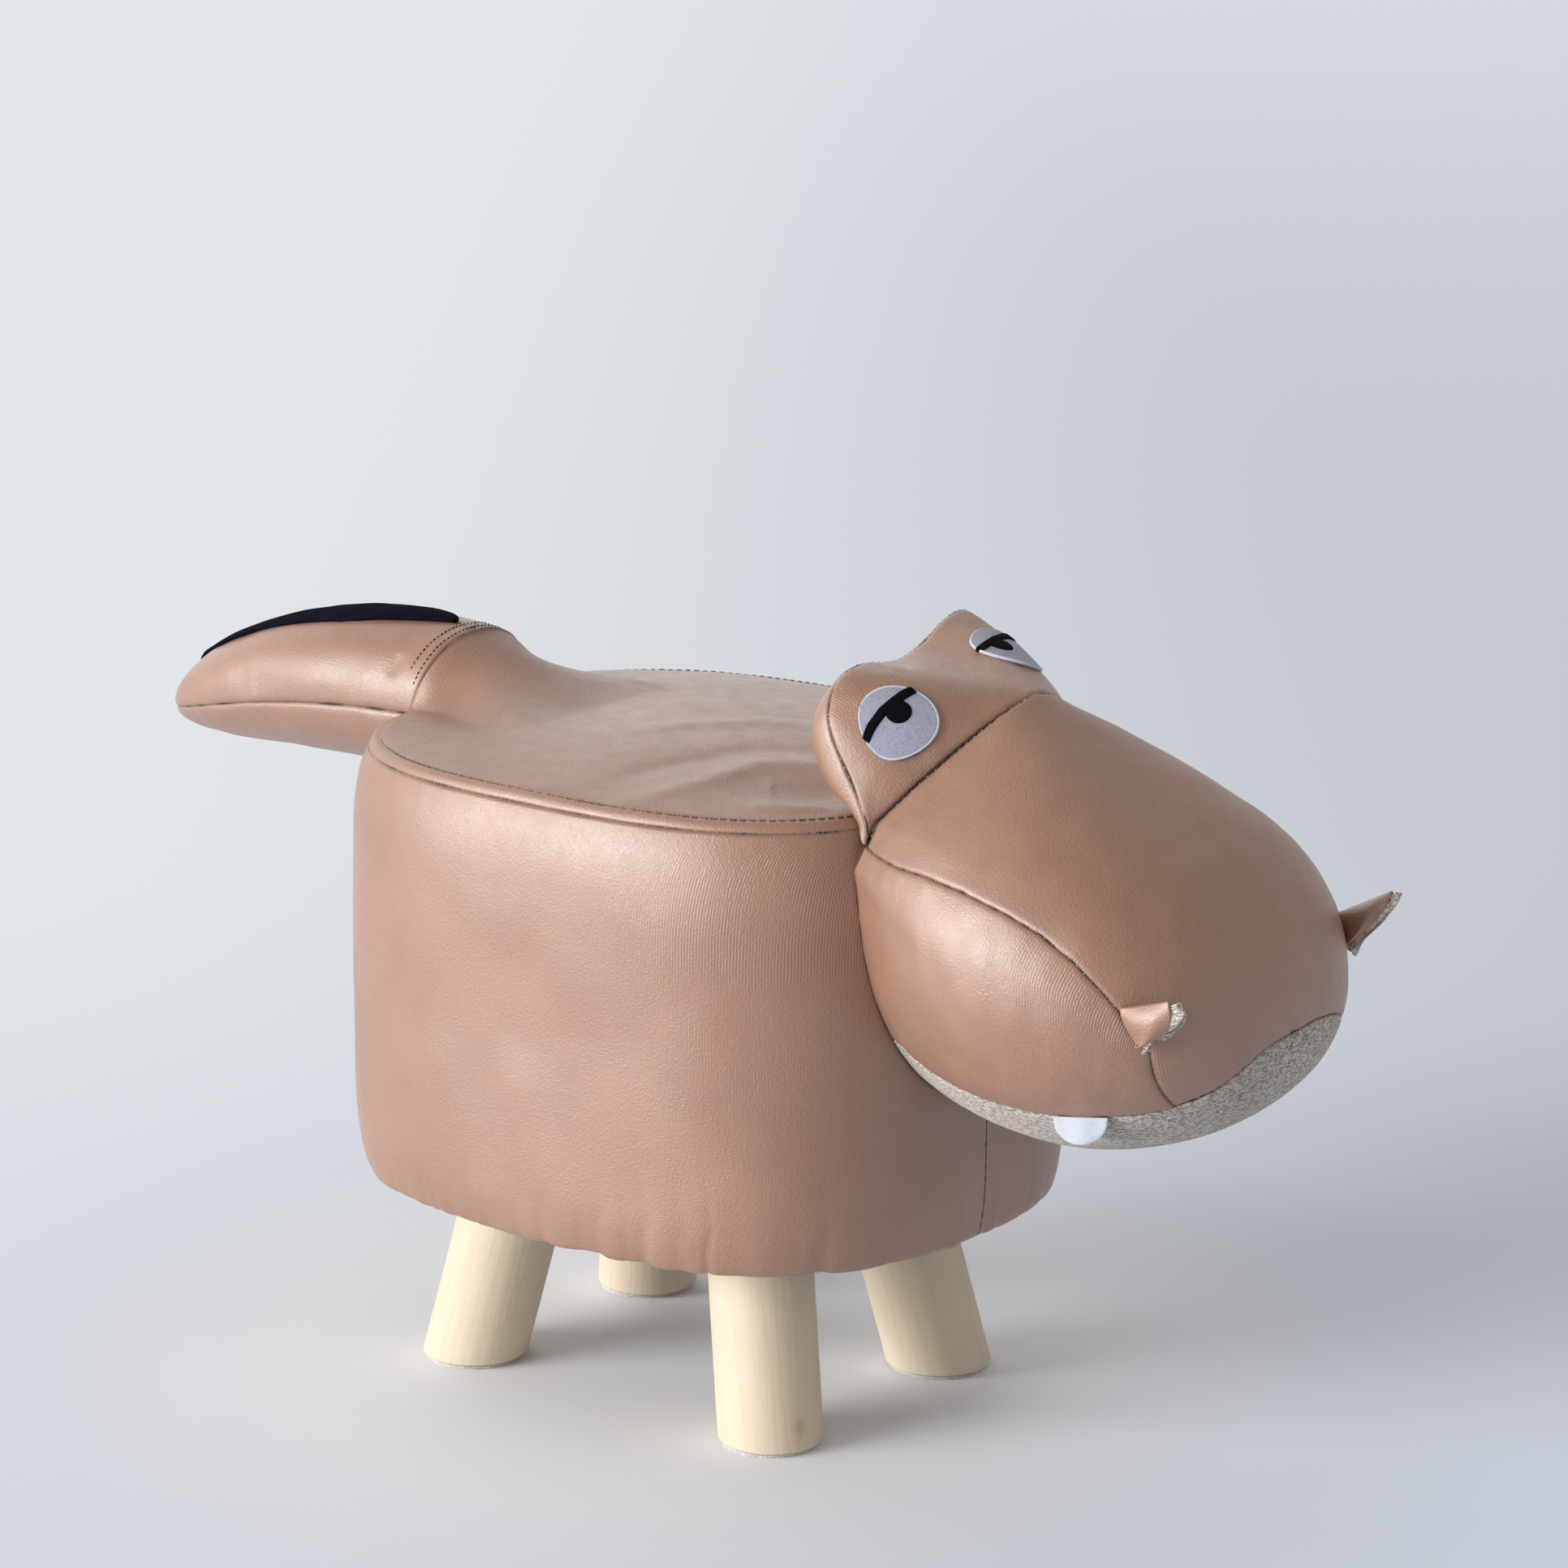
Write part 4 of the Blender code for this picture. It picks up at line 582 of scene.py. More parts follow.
@dataclass
class MeshMaker:
    """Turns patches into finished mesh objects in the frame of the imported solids."""

    shift: float

    def build(self, name: str, patches: Sequence[Patch], material: Material, lip: float = 0.0) -> Item:
        """Make one object from patches that share edges.

        Args:
            name: The object's name.
            patches: The grids, which are joined where their points meet.
            material: The finish.
            lip: How far free edges are turned inwards.

        Returns:
            The object, with a layout map and the patches' values as attributes.
        """
        corners, points, normals, layouts, faces = 0, [], [], [], []
        values: dict[str, list[Array]] = {key: [] for key in patches[0].values}
        for patch in patches:
            rows, columns = patch.points.shape[:2]
            numbers = corners + np.arange(rows * columns).reshape(rows, columns)
            right = np.roll(numbers, -1, axis=1) if patch.wrap else numbers[:, 1:]
            left = numbers if patch.wrap else numbers[:, :-1]
            cells = np.stack([left[:-1], right[:-1], right[1:], left[1:]], axis=-1).reshape(-1, 4)
            flat = patch.points.reshape(-1, 3)
            local = cells - corners
            ends = [flat[local[:, corner]] for corner in range(4)]
            facing = np.cross(ends[2] - ends[0], ends[3] - ends[1])
            outward = np.sum(facing * patch.normals.reshape(-1, 3)[local[:, 0]], axis=-1)
            if outward.sum() < 0:
                cells = cells[:, ::-1]
            faces.append(cells)
            points.append(flat)
            normals.append(patch.normals.reshape(-1, 3))
            layouts.append(patch.layout.reshape(-1, 2))
            for key in values:
                values[key].append(np.broadcast_to(patch.values[key], (rows, columns)).reshape(-1))
            corners += rows * columns
        all_points = np.concatenate(points)
        keys = np.round(all_points / MERGE).astype(np.int64)
        _, first, joined = np.unique(keys, axis=0, return_index=True, return_inverse=True)
        joined = joined.reshape(-1)
        quads = np.concatenate(faces)
        layout = np.concatenate(layouts)
        kept, uvs = [], []
        for quad, ends in zip(quads, joined[quads]):
            unique = list(dict.fromkeys(ends.tolist()))
            if len(unique) < 3:
                continue
            places = [quad[ends.tolist().index(end)] for end in unique]
            kept.append(unique)
            uvs.extend(layout[places])
        spots = all_points[first] + np.array([self.shift, 0, 0])
        if lip:
            copied = self.turn_in(kept, uvs, len(first))
            inward = np.concatenate(normals)[first[copied]] * lip
            spots = np.concatenate([spots, spots[copied] - inward])
            first = np.concatenate([first, first[copied]])
        mesh = bpy.data.meshes.new(name)
        mesh.from_pydata(spots.tolist(), [], kept)
        mesh.uv_layers.new(name="layout")
        mesh.uv_layers[0].data.foreach_set("uv", np.array(uvs).reshape(-1).astype(np.float32))
        for key, parts in values.items():
            mesh.attributes.new(key, "FLOAT", "POINT")
            mesh.attributes[key].data.foreach_set("value", np.concatenate(parts)[first].astype(np.float32))
        return self.finish(name, mesh, material)

    @staticmethod
    def turn_in(faces: list[list[int]], uvs: list[Array], count: int) -> list[int]:
        """Add a row of faces along the free edges, as a seam allowance that is turned inwards.

        Args:
            faces: The faces by their points, which the new ones are added to.
            uvs: The layout of the faces' corners, which is added to as well.
            count: How many points there are.

        Returns:
            The points that the new ones are copies of, in order.
        """
        edges, corner = {}, 0
        for face in faces:
            layout = uvs[corner:corner + len(face)]
            corner += len(face)
            ends = zip(face, face[1:] + face[:1])
            edges.update(zip(ends, zip(layout, layout[1:] + layout[:1])))
        free = {edge: layout for edge, layout in edges.items() if edge[::-1] not in edges}
        points = list(dict.fromkeys(itertools.chain.from_iterable(free)))
        copies = {point: count + number for number, point in enumerate(points)}
        for (start, end), (start_uv, end_uv) in free.items():
            faces.append([end, start, copies[start], copies[end]])
            uvs.extend((end_uv, start_uv, start_uv, end_uv))
        return points

    @staticmethod
    def finish(name: str, mesh: bpy.types.Mesh, material: Material, smooth: bool = True) -> Item:
        """Link a mesh as a named object with its finish."""
        mesh.materials.clear()
        mesh.materials.append(material)
        if smooth:
            mesh.shade_smooth()
        item = bpy.data.objects.new(name, mesh)
        bpy.context.scene.collection.objects.link(item)
        return item

    def lines(self, name: str, lines: Iterable[Array]) -> Item:
        """Make an object of edges only from lines of points, for a nodes tree to follow."""
        points, edges = [], []
        for line in lines:
            start = len(points)
            points.extend((line + np.array([self.shift, 0, 0])).tolist())
            edges.extend((start + step, start + step + 1) for step in range(len(line) - 1))
        mesh = bpy.data.meshes.new(name)
        mesh.from_pydata(points, edges, [])
        item = bpy.data.objects.new(name, mesh)
        bpy.context.scene.collection.objects.link(item)
        return item


def solid_sheet(points: Array, normals: Array, thickness: float) -> Patch:
    """Return a closed sheet as one patch that runs over the outer face, the edge and the inner face.

    Args:
        points: The outer face's grid.
        normals: Its normals.
        thickness: The sheet's thickness.

    Returns:
        A patch whose columns run round the sheet and whose first and last rows close it in the middle.
    """
    inner = points - normals * thickness
    middle = (points + inner) / 2
    rim = np.concatenate([middle, middle[:, ::-1]], axis=1)
    grid = np.concatenate([rim[:1], np.concatenate([points, inner[:, ::-1]], axis=1), rim[-1:]])
    outward = np.concatenate([normals, -normals[:, ::-1]], axis=1)
    outward = np.concatenate([outward[:1], outward, outward[-1:]])
    layout = stack(arc_lengths(grid, axis=1), arc_lengths(grid, axis=0))
    return Patch(grid, outward, layout, wrap=True)


# Shader and geometry trees


class Link:
    """A socket that takes part in Python expressions and adds the Math nodes that they need."""

    def __init__(self, tree: NodeBuilder, socket: bpy.types.NodeSocket) -> None:
        """Keep the tree and the socket."""
        self.tree = tree
        self.socket = socket

    def maths(self, operation: str, *values: Link | float) -> Link:
        """Add a Math node with these values as its operands."""
        return self.tree.add("ShaderNodeMath", {"operation": operation}, dict(enumerate(values)))

    def __add__(self, other: Link | float) -> Link:
        """Return this value plus another."""
        return self.maths("ADD", self, other)

    def __radd__(self, other: float) -> Link:
        """Return a number plus this value."""
        return self.maths("ADD", other, self)

    def __sub__(self, other: Link | float) -> Link:
        """Return this value less another."""
        return self.maths("SUBTRACT", self, other)

    def __rsub__(self, other: float) -> Link:
        """Return a number less this value."""
        return self.maths("SUBTRACT", other, self)

    def __mul__(self, other: Link | float) -> Link:
        """Return this value times another."""
        return self.maths("MULTIPLY", self, other)

    def __rmul__(self, other: float) -> Link:
        """Return a number times this value."""
        return self.maths("MULTIPLY", other, self)

    def __pow__(self, power: Link | float) -> Link:
        """Return this value to a power."""
        return self.maths("POWER", self, power)

    def __rpow__(self, base: float) -> Link:
        """Return a number to the power of this value."""
        return self.maths("POWER", base, self)

    def __neg__(self) -> Link:
        """Return this value with the other sign."""
        return self.maths("MULTIPLY", self, -1.0)

    def ramp(self, low: float, high: float, out_low: float = 0.0, out_high: float = 1.0) -> Link:
        """Return this value mapped smoothly from one range to another."""
        return self.tree.add(
            "ShaderNodeMapRange", {"interpolation_type": "SMOOTHSTEP"},
            {"Value": self, "From Min": low, "From Max": high, "To Min": out_low, "To Max": out_high})


class NodeBuilder:
    """Adds nodes to a tree through one method."""

    def __init__(self, tree: bpy.types.NodeTree) -> None:
        """Keep the tree."""
        self.tree = tree

    def add(self, kind: str, settings: dict | None = None, sockets: dict | None = None,
            output: int | str = 0) -> Link:
        """Add a node.

        Args:
            kind: The node's type.
            settings: Its settings, set before its sockets.
            sockets: Values or links by socket name or number.
            output: Which output is returned.

        Returns:
            The output as a link.
        """
        node = self.tree.nodes.new(kind)
        for name, value in (settings or {}).items():
            setattr(node, name, value)
        for name, value in (sockets or {}).items():
            socket = self.find(node.inputs, name)
            if isinstance(value, Link):
                self.tree.links.new(value.socket, socket)
            else:
                socket.default_value = value
        return Link(self, self.find(node.outputs, output))

    @staticmethod
    def find(sockets: Sequence[bpy.types.NodeSocket], name: int | str) -> bpy.types.NodeSocket:
        """Return a socket by number, or the first enabled one of a name."""
        if isinstance(name, int):
            return sockets[name]
        named = [socket for socket in sockets if socket.name == name]
        return next((socket for socket in named if socket.enabled), named[0])

    def join(self, x: Link | float, y: Link | float, z: Link | float) -> Link:
        """Return a vector from its three parts."""
        return self.add("ShaderNodeCombineXYZ", sockets={"X": x, "Y": y, "Z": z})


class Coordinates(Enum):
    """What a pattern is laid out on."""

    OBJECT = "Object"
    LAYOUT = "UV"


class MaterialBuilder(NodeBuilder):
    """The tree of one material, with the patterns that the finishes use."""

    def __init__(self, name: str) -> None:
        """Start a new material with its shader."""
        self.material = bpy.data.materials.new(name)
        self.material.use_nodes = True
        super().__init__(self.material.node_tree)
        self.shader = self.material.node_tree.nodes["Principled BSDF"]

    def set(self, **constants: float) -> None:
        """Set the shader's own constants, by socket names with underscores for spaces."""
        for name, value in constants.items():
            self.shader.inputs[name.replace("_", " ")].default_value = value

    def feed(self, name: str, value: Link) -> None:
        """Link a value that changes over the surface to the shader."""
        self.tree.links.new(value.socket, self.shader.inputs[name])

    def coordinates(self, kind: Coordinates = Coordinates.OBJECT) -> Link:
        """Return the coordinates that a pattern reads."""
        return self.add("ShaderNodeTexCoord", output=kind.value)

    def value_of(self, attribute: str) -> Link:
        """Return a value that the mesh carries."""
        return self.add("ShaderNodeAttribute", {"attribute_name": attribute}, output="Fac")

    def noise(self, place: Link, size: float, detail: float = 2.0, roughness: float = 0.5,
              distortion: float = 0.0) -> Link:
        """Return noise whose cells have a size in metres."""
        sockets = {"Vector": place, "Scale": 1 / size, "Detail": detail, "Roughness": roughness,
                   "Distortion": distortion}
        return self.add("ShaderNodeTexNoise", sockets=sockets)

    def cells(self, place: Link, size: float, feature: str = "F1") -> Link:
        """Return a Voronoi pattern whose cells have a size in metres."""
        sockets = {"Vector": place, "Scale": 1 / size}
        return self.add("ShaderNodeTexVoronoi", {"feature": feature}, sockets, "Distance")

    def wave(self, length: Link, pitch: float) -> Link:
        """Return a wave between 0 and 1 over a running length in metres."""
        phase = length * (2 * math.pi / pitch)
        return phase.maths("SINE", phase) * 0.5 + 0.5

    def split(self, vector: Link) -> tuple[Link, Link, Link]:
        """Return a vector's three parts."""
        node = self.add("ShaderNodeSeparateXYZ", sockets={"Vector": vector}).socket.node
        return tuple(Link(self, node.outputs[index]) for index in range(3))

    def stretched(self, vector: Link, scale: Sequence[float]) -> Link:
        """Return a vector scaled along each axis."""
        return self.add("ShaderNodeVectorMath", {"operation": "MULTIPLY"}, {0: vector, 1: scale})

    def blend(self, factor: Link | float, first: Link | Colour, second: Link | Colour) -> Link:
        """Return a mix of two colours."""
        first, second = (value if isinstance(value, Link) else (*value, 1.0) for value in (first, second))
        settings = {"data_type": "RGBA", "blend_type": "MIX", "clamp_result": False}
        return self.add("ShaderNodeMix", settings, {0: factor, 6: first, 7: second}, 2)

    def bump(self, height: Link, distance: float, strength: float, below: Link | None = None) -> Link:
        """Return a normal raised by a height between 0 and 1."""
        sockets: dict = {"Height": height, "Distance": distance, "Strength": strength}
        if below is not None:
            sockets["Normal"] = below
        return self.add("ShaderNodeBump", sockets=sockets, output="Normal")


class GeometryBuilder(NodeBuilder):
    """A Geometry Nodes tree with named inputs and a finish."""

    kinds = {"Seed": "NodeSocketInt", "Finish": "NodeSocketMaterial"}

    def __init__(self, name: str, inputs: Sequence[str]) -> None:
        """Start a new tree with a geometry and named inputs; those without a kind here are numbers."""
        tree = bpy.data.node_groups.new(name, "GeometryNodeTree")
        super().__init__(tree)
        for way in ("INPUT", "OUTPUT"):
            tree.interface.new_socket("Geometry", in_out=way, socket_type="NodeSocketGeometry")
        self.keys = {}
        for label in inputs:
            kind = self.kinds.get(label, "NodeSocketFloat")
            self.keys[label] = tree.interface.new_socket(label, in_out="INPUT", socket_type=kind).identifier
        self.entry = tree.nodes.new("NodeGroupInput")
        self.exit = tree.nodes.new("NodeGroupOutput")

    def given(self, name: str) -> Link:
        """Return a named input."""
        return Link(self, self.entry.outputs[name])

    def end(self, geometry: Link) -> None:
        """Make the result plain and smooth, give it its finish and link it."""
        real = self.add("GeometryNodeRealizeInstances", sockets={"Geometry": geometry})
        smooth = self.add("GeometryNodeSetShadeSmooth", sockets={"Geometry": real})
        dressed = self.add("GeometryNodeSetMaterial",
                           sockets={"Geometry": smooth, "Material": self.given("Finish")})
        self.tree.links.new(dressed.socket, self.exit.inputs[0])

    def grow(self, item: Item, name: str, values: dict[str, object]) -> Item:
        """Run the tree on an object and return its result as a plain mesh object.

        Args:
            item: The object that the tree starts from, which is removed afterwards.
            name: The name of the new object.
            values: The tree's inputs by name.

        Returns:
            The new object.
        """
        modifier = item.modifiers.new("nodes", "NODES")
        modifier.node_group = self.tree
        for label, value in values.items():
            modifier[self.keys[label]] = value
        graph = bpy.context.evaluated_depsgraph_get()
        graph.update()
        mesh = bpy.data.meshes.new_from_object(item.evaluated_get(graph), depsgraph=graph)
        mesh.name = name
        grown = bpy.data.objects.new(name, mesh)
        bpy.context.scene.collection.objects.link(grown)
        item.modifiers.clear()
        bpy.data.objects.remove(item, do_unlink=True)
        return grown


class StitchTree(GeometryBuilder):
    """Short rounded stitches at an even pitch along lines."""

    past_any_line = 100.0
    segments = 8
    rings = 6
    smallest = 0.86
    largest = 1.12

    def __init__(self) -> None:
        """Build the tree."""
        inputs = ("Pitch", "Stitch Length", "Thread", "Start", "Wander", "Seed", "Finish")
        super().__init__("stitches_along_lines", inputs)
        line = self.add("GeometryNodeMeshToCurve", sockets={"Mesh": self.given("Geometry")})
        trimmed = self.add("GeometryNodeTrimCurve", {"mode": "LENGTH"},
                           {"Curve": line, 4: self.given("Start"), 5: self.past_any_line})
        places = self.add("GeometryNodeCurveToPoints", {"mode": "LENGTH"},
                          {"Curve": trimmed, "Length": self.given("Pitch")})
        turn = Link(self, places.socket.node.outputs["Rotation"])
        wander = self.given("Wander")
        back = -wander
        seed = self.given("Seed")
        low, high = (self.join(part, part, part) for part in (back, wander))
        offset = self.add("FunctionNodeRandomValue", {"data_type": "FLOAT_VECTOR"},
                          {0: low, 1: high, "Seed": seed})
        moved = self.add("GeometryNodeSetPosition", sockets={"Geometry": places, "Offset": offset})
        ball = self.add("GeometryNodeMeshUVSphere",
                        sockets={"Segments": self.segments, "Rings": self.rings, "Radius": 0.5})
        size = self.join(self.given("Thread"), self.given("Thread"), self.given("Stitch Length"))
        stitch = self.add("GeometryNodeTransform", sockets={"Geometry": ball, "Scale": size})
        scale = self.add("FunctionNodeRandomValue", {"data_type": "FLOAT"},
                         {2: self.smallest, 3: self.largest, "Seed": seed}, output=1)
        self.end(self.add("GeometryNodeInstanceOnPoints",
                          sockets={"Points": moved, "Instance": stitch, "Rotation": turn, "Scale": scale}))


class CordTree(GeometryBuilder):
    """A round thread laid along lines."""

    sides = 7

    def __init__(self) -> None:
        """Build the tree."""
        super().__init__("thread_along_lines", ("Radius", "Finish"))
        line = self.add("GeometryNodeMeshToCurve", sockets={"Mesh": self.given("Geometry")})
        ring = self.add("GeometryNodeCurvePrimitiveCircle",
                        sockets={"Resolution": self.sides, "Radius": self.given("Radius")})
        self.end(self.add("GeometryNodeCurveToMesh",
                          sockets={"Curve": line, "Profile Curve": ring, "Fill Caps": True}))


# Finishes


@dataclass(frozen=True)
class Finish:
    """What every finish has: a name, and nodes that it adds to a new material."""

    name: str

    def make(self) -> Material:
        """Build the material."""
        tree = MaterialBuilder(self.name)
        self.fill(tree)
        return tree.material

    def fill(self, tree: MaterialBuilder) -> None:
        """Add the finish's own nodes to its tree."""
        raise NotImplementedError


@dataclass(frozen=True)
class Leather(Finish):
    """Faux leather with a pebbled grain, fine ribs where the cloth behind shows, and soft mottling."""

    colour: Colour
    deep: Colour
    roughness: float = 0.42
    gloss: float = 0.6
    coat: float = 1.0
    coat_roughness: float = 0.53
    coat_index: float = 1.72
    # How dark the painted shade along the seams is, as a share of the deep tone.
    seam_shade: float = 0.42
    mottle_size: float = 0.06
    speckle_size: float = 0.0011
    dull_size: float = 0.009
    crease_size: float = 0.0045
    crease_depth: float = 0.0006
    pebble_size: float = 0.0009
    pore_size: float = 0.0005
    pebble_depth: float = 0.00035
    rib_pitch: float = 0.0013
    rib_depth: float = 0.0004
    rib_sway: float = 0.0012
    sway_size: float = 0.02
    patch_size: float = 0.03
    break_size: float = 0.0022

    def fill(self, tree: MaterialBuilder) -> None:
        """Add the colour, painted shade along the seams, the dull patches and three layers of relief."""
        place = tree.coordinates()
        layout = tree.coordinates(Coordinates.LAYOUT)
        mottle = tree.noise(place, self.mottle_size, 3.0, 0.6)
        speckle = tree.noise(place, self.speckle_size, 2.0, 0.6)
        tone = tree.blend(mottle.ramp(0.3, 0.72), self.deep, self.colour)
        tone = tree.blend(speckle.ramp(0.3, 0.75, 0.0, 0.22), tone, self.deep)
        # Painted shade: the leather darkens towards a deeper tone along each seam, where the groove's shade
        # falls.
        tone = tree.blend(tree.value_of("seam") ** 2.0 * 0.6, tone, shaded(self.deep, self.seam_shade))
        tree.feed("Base Color", tone)
        dull = tree.noise(place, self.dull_size, 3.0, 0.6)
        tree.feed("Roughness", dull.ramp(0.25, 0.75, self.roughness - 0.05, self.roughness + 0.09))
        grain = tree.cells(place, self.pebble_size, "SMOOTH_F1")
        fine = tree.noise(place, self.pore_size, 2.0, 0.6)
        crease = tree.noise(tree.stretched(place, (1.0, 1.0, 0.6)), self.crease_size, 3.0, 0.62, 0.6)
        across, along, _ = tree.split(layout)
        sway = tree.noise(layout, self.sway_size, 1.0) * self.rib_sway
        rib = tree.wave(across + sway, self.rib_pitch)
        patchy = tree.noise(layout, self.patch_size, 2.0).ramp(0.35, 0.65, 0.25, 1.0)
        broken = tree.noise(tree.join(across, along * 0.25, 0.0), self.break_size, 1.0) * 0.5 + 0.5
        normal = tree.bump(crease, self.crease_depth, 0.24)
        normal = tree.bump(grain + fine * 0.5, self.pebble_depth, 0.65, normal)
        normal = tree.bump(rib * broken * patchy * tree.value_of("ribs"), self.rib_depth, 0.6, normal)
        tree.feed("Normal", normal)
        tree.set(Specular_IOR_Level=self.gloss, Coat_Weight=self.coat, Coat_Roughness=self.coat_roughness,
                 Coat_IOR=self.coat_index)


@dataclass(frozen=True)
class Suede(Finish):
    """Pale pebbled lining with small dark pits."""

    colour: Colour
    pit: Colour
    pit_size: float = 0.0010
    pit_depth: float = 0.0005
    warp_size: float = 0.0012
    cloud_size: float = 0.03
    cloud_shade: float = 0.86
    fuzz_size: float = 0.0007
    fuzz_depth: float = 0.0004

    def fill(self, tree: MaterialBuilder) -> None:
        """Add the pits, the soft clouds, painted shade along the seams and the fuzz."""
        place = tree.coordinates()
        warped = tree.noise(place, self.warp_size, 1.0)
        streaks = tree.noise(tree.stretched(place, (0.55, 0.55, 1.35)), self.pit_size, 1.0, 0.5, 1.2)
        pits = (streaks + warped * 0.15).ramp(0.56, 0.65)
        cloud = tree.noise(place, self.cloud_size, 3.0).ramp(0.3, 0.7)
        tone = tree.blend(cloud, self.colour, shaded(self.colour, self.cloud_shade))
        tone = tree.blend(pits * 0.8, tone, self.pit)
        # Painted shade: the lining darkens towards the pit colour along each seam, where the groove's shade
        # falls.
        tree.feed("Base Color", tree.blend(tree.value_of("seam") ** 2.0 * 0.6, tone, self.pit))
        fuzz = tree.noise(place, self.fuzz_size, 3.0, 0.7)
        normal = tree.bump(1 - pits, self.pit_depth, 0.6)
        tree.feed("Normal", tree.bump(fuzz, self.fuzz_depth, 0.6, normal))
        tree.set(Roughness=0.88, Specular_IOR_Level=0.3, Sheen_Weight=0.2)


@dataclass(frozen=True)
class Felt(Finish):
    """Pressed felt: matted fibres and a soft nap."""

    colour: Colour
    fibre: Colour
    strand_size: float = 0.0009
    clump_size: float = 0.006
    depth: float = 0.0006

    def fill(self, tree: MaterialBuilder) -> None:
        """Add the fibres and the clumps that they lie in."""
        place = tree.coordinates()
        strands = tree.noise(place, self.strand_size, 4.0, 0.75, 1.6)
        clumps = tree.noise(place, self.clump_size, 2.0)
        tone = tree.blend(strands.ramp(0.42, 0.72, 0.0, 0.75), self.colour, self.fibre)
        tree.feed("Base Color", tree.blend(clumps.ramp(0.4, 0.8, 0.0, 0.3), tone, self.fibre))
        tree.feed("Normal", tree.bump(strands + clumps * 0.6, self.depth, 0.7))
        tree.set(Roughness=0.95, Specular_IOR_Level=0.02)


@dataclass(frozen=True)
class SatinStitch(Finish):
    """Dense parallel embroidery threads."""

    colour: Colour
    gap: Colour
    roughness: float = 0.5
    gloss: float = 0.35
    pitch: float = 0.00055
    sway: float = 0.0006
    sway_size: float = 0.003
    break_size: float = 0.0022
    row_size: float = 0.0016
    depth: float = 0.00035

    def fill(self, tree: MaterialBuilder) -> None:
        """Add the threads, their breaks and the rows that they end in."""
        layout = tree.coordinates(Coordinates.LAYOUT)
        across, along, _ = tree.split(layout)
        sway = tree.noise(layout, self.sway_size, 2.0) * self.sway
        thread = tree.wave(across + sway, self.pitch)
        broken = tree.noise(tree.join(across * 5.0, along, 0.0), self.break_size, 2.0)
        rows = tree.noise(tree.join(across * 0.6, along * 2.2, 0.0), self.row_size, 1.0)
        tone = tree.blend((1 - thread) * 0.45, self.colour, self.gap)
        tone = tree.blend(broken.ramp(0.5, 0.74, 0.0, 0.55), tone, self.gap)
        tree.feed("Base Color", tree.blend(rows.ramp(0.58, 0.7, 0.0, 0.4), tone, self.gap))
        tree.feed("Normal", tree.bump(thread + broken * 0.7, self.depth, 0.8))
        tree.set(Roughness=self.roughness, Specular_IOR_Level=self.gloss)


@dataclass(frozen=True)
class Pine(Finish):
    """Pale pine, with growth rings along the grain, fine pores and a few knots."""

    pale: Colour = (0.62, 0.535, 0.405)
    sapwood: Colour = (0.68, 0.61, 0.49)
    ring: Colour = (0.53, 0.40, 0.25)
    knot: Colour = (0.36, 0.20, 0.10)
    ring_pitch: float = 0.0032
    sway: float = 0.010
    sway_size: float = 0.02
    fibre_size: float = 0.0007
    cloud_size: float = 0.03
    depth: float = 0.00018

    def fill(self, tree: MaterialBuilder) -> None:
        """Add the rings round the log's core, the fibres and the knots."""
        place = tree.add("ShaderNodeAttribute", {"attribute_name": "grain_place"}, output="Vector")
        x, y, z = tree.split(place)
        sway = tree.noise(tree.join(x, y, z * 0.12), self.sway_size, 2.0) * self.sway
        away = tree.add("ShaderNodeVectorMath", {"operation": "LENGTH"},
                        {0: tree.join(x + sway, y + sway * 0.7, 0.0)}, "Value")
        band = tree.wave(away, self.ring_pitch) ** 3.0
        fibre = tree.noise(tree.join(x, y, z * 0.03), self.fibre_size, 3.0, 0.6)
        cloud = tree.noise(place, self.cloud_size, 2.0)
        tone = tree.blend(band * 0.2, self.pale, self.ring)
        tone = tree.blend(fibre.ramp(0.35, 0.75, 0.0, 0.18), tone, self.ring)
        tone = tree.blend(cloud.ramp(0.3, 0.7, 0.0, 0.25), tone, self.sapwood)
        tree.feed("Base Color", tree.blend(tree.value_of("knot") * 0.55, tone, self.knot))
        tree.feed("Roughness", fibre.ramp(0.2, 0.8, 0.5, 0.66))
        tree.feed("Normal", tree.bump(fibre - band * 0.25, self.depth, 0.5))
        tree.set(Specular_IOR_Level=0.42)


@dataclass(frozen=True)
class Layered(Finish):
    """A board: plywood's layers by height, or an even pressed board."""

    colour: Colour
    dark: Colour
    layer: float
    grain: Colour = (0.05, 1.0, 1.0)
    figure_size: float = 0.004
    depth: float = 0.0004

    def fill(self, tree: MaterialBuilder) -> None:
        """Add the layers and the figure of the wood."""
        place = tree.coordinates()
        _, _, z = tree.split(place)
        ply = tree.wave(z, 2 * self.layer).ramp(0.4, 0.6)
        figure = tree.noise(tree.stretched(place, self.grain), self.figure_size, 4.0, 0.65)
        tree.feed("Base Color", tree.blend(ply * 0.45 + figure * 0.4, self.colour, self.dark))
        tree.feed("Normal", tree.bump(figure, self.depth, 0.5))
        tree.set(Roughness=0.72)


@dataclass(frozen=True)
class OpenStuff(Finish):
    """Foam, loose fibre, woven lining or a pad: one colour family with a grain of one size."""

    colour: Colour
    shade: Colour
    grain: float
    roughness: float = 0.92
    depth: float = 0.0008

    def fill(self, tree: MaterialBuilder) -> None:
        """Add the pores and the fuzz between them."""
        place = tree.coordinates()
        pores = tree.cells(place, self.grain)
        fuzz = tree.noise(place, self.grain * 0.7, 3.0, 0.7)
        tone = tree.blend((pores * 0.7 + fuzz * 0.4).ramp(0.15, 0.85), self.shade, self.colour)
        tree.feed("Base Color", tone)
        tree.feed("Normal", tree.bump(pores + fuzz, self.depth, 0.6))
        tree.set(Roughness=self.roughness, Specular_IOR_Level=0.3)


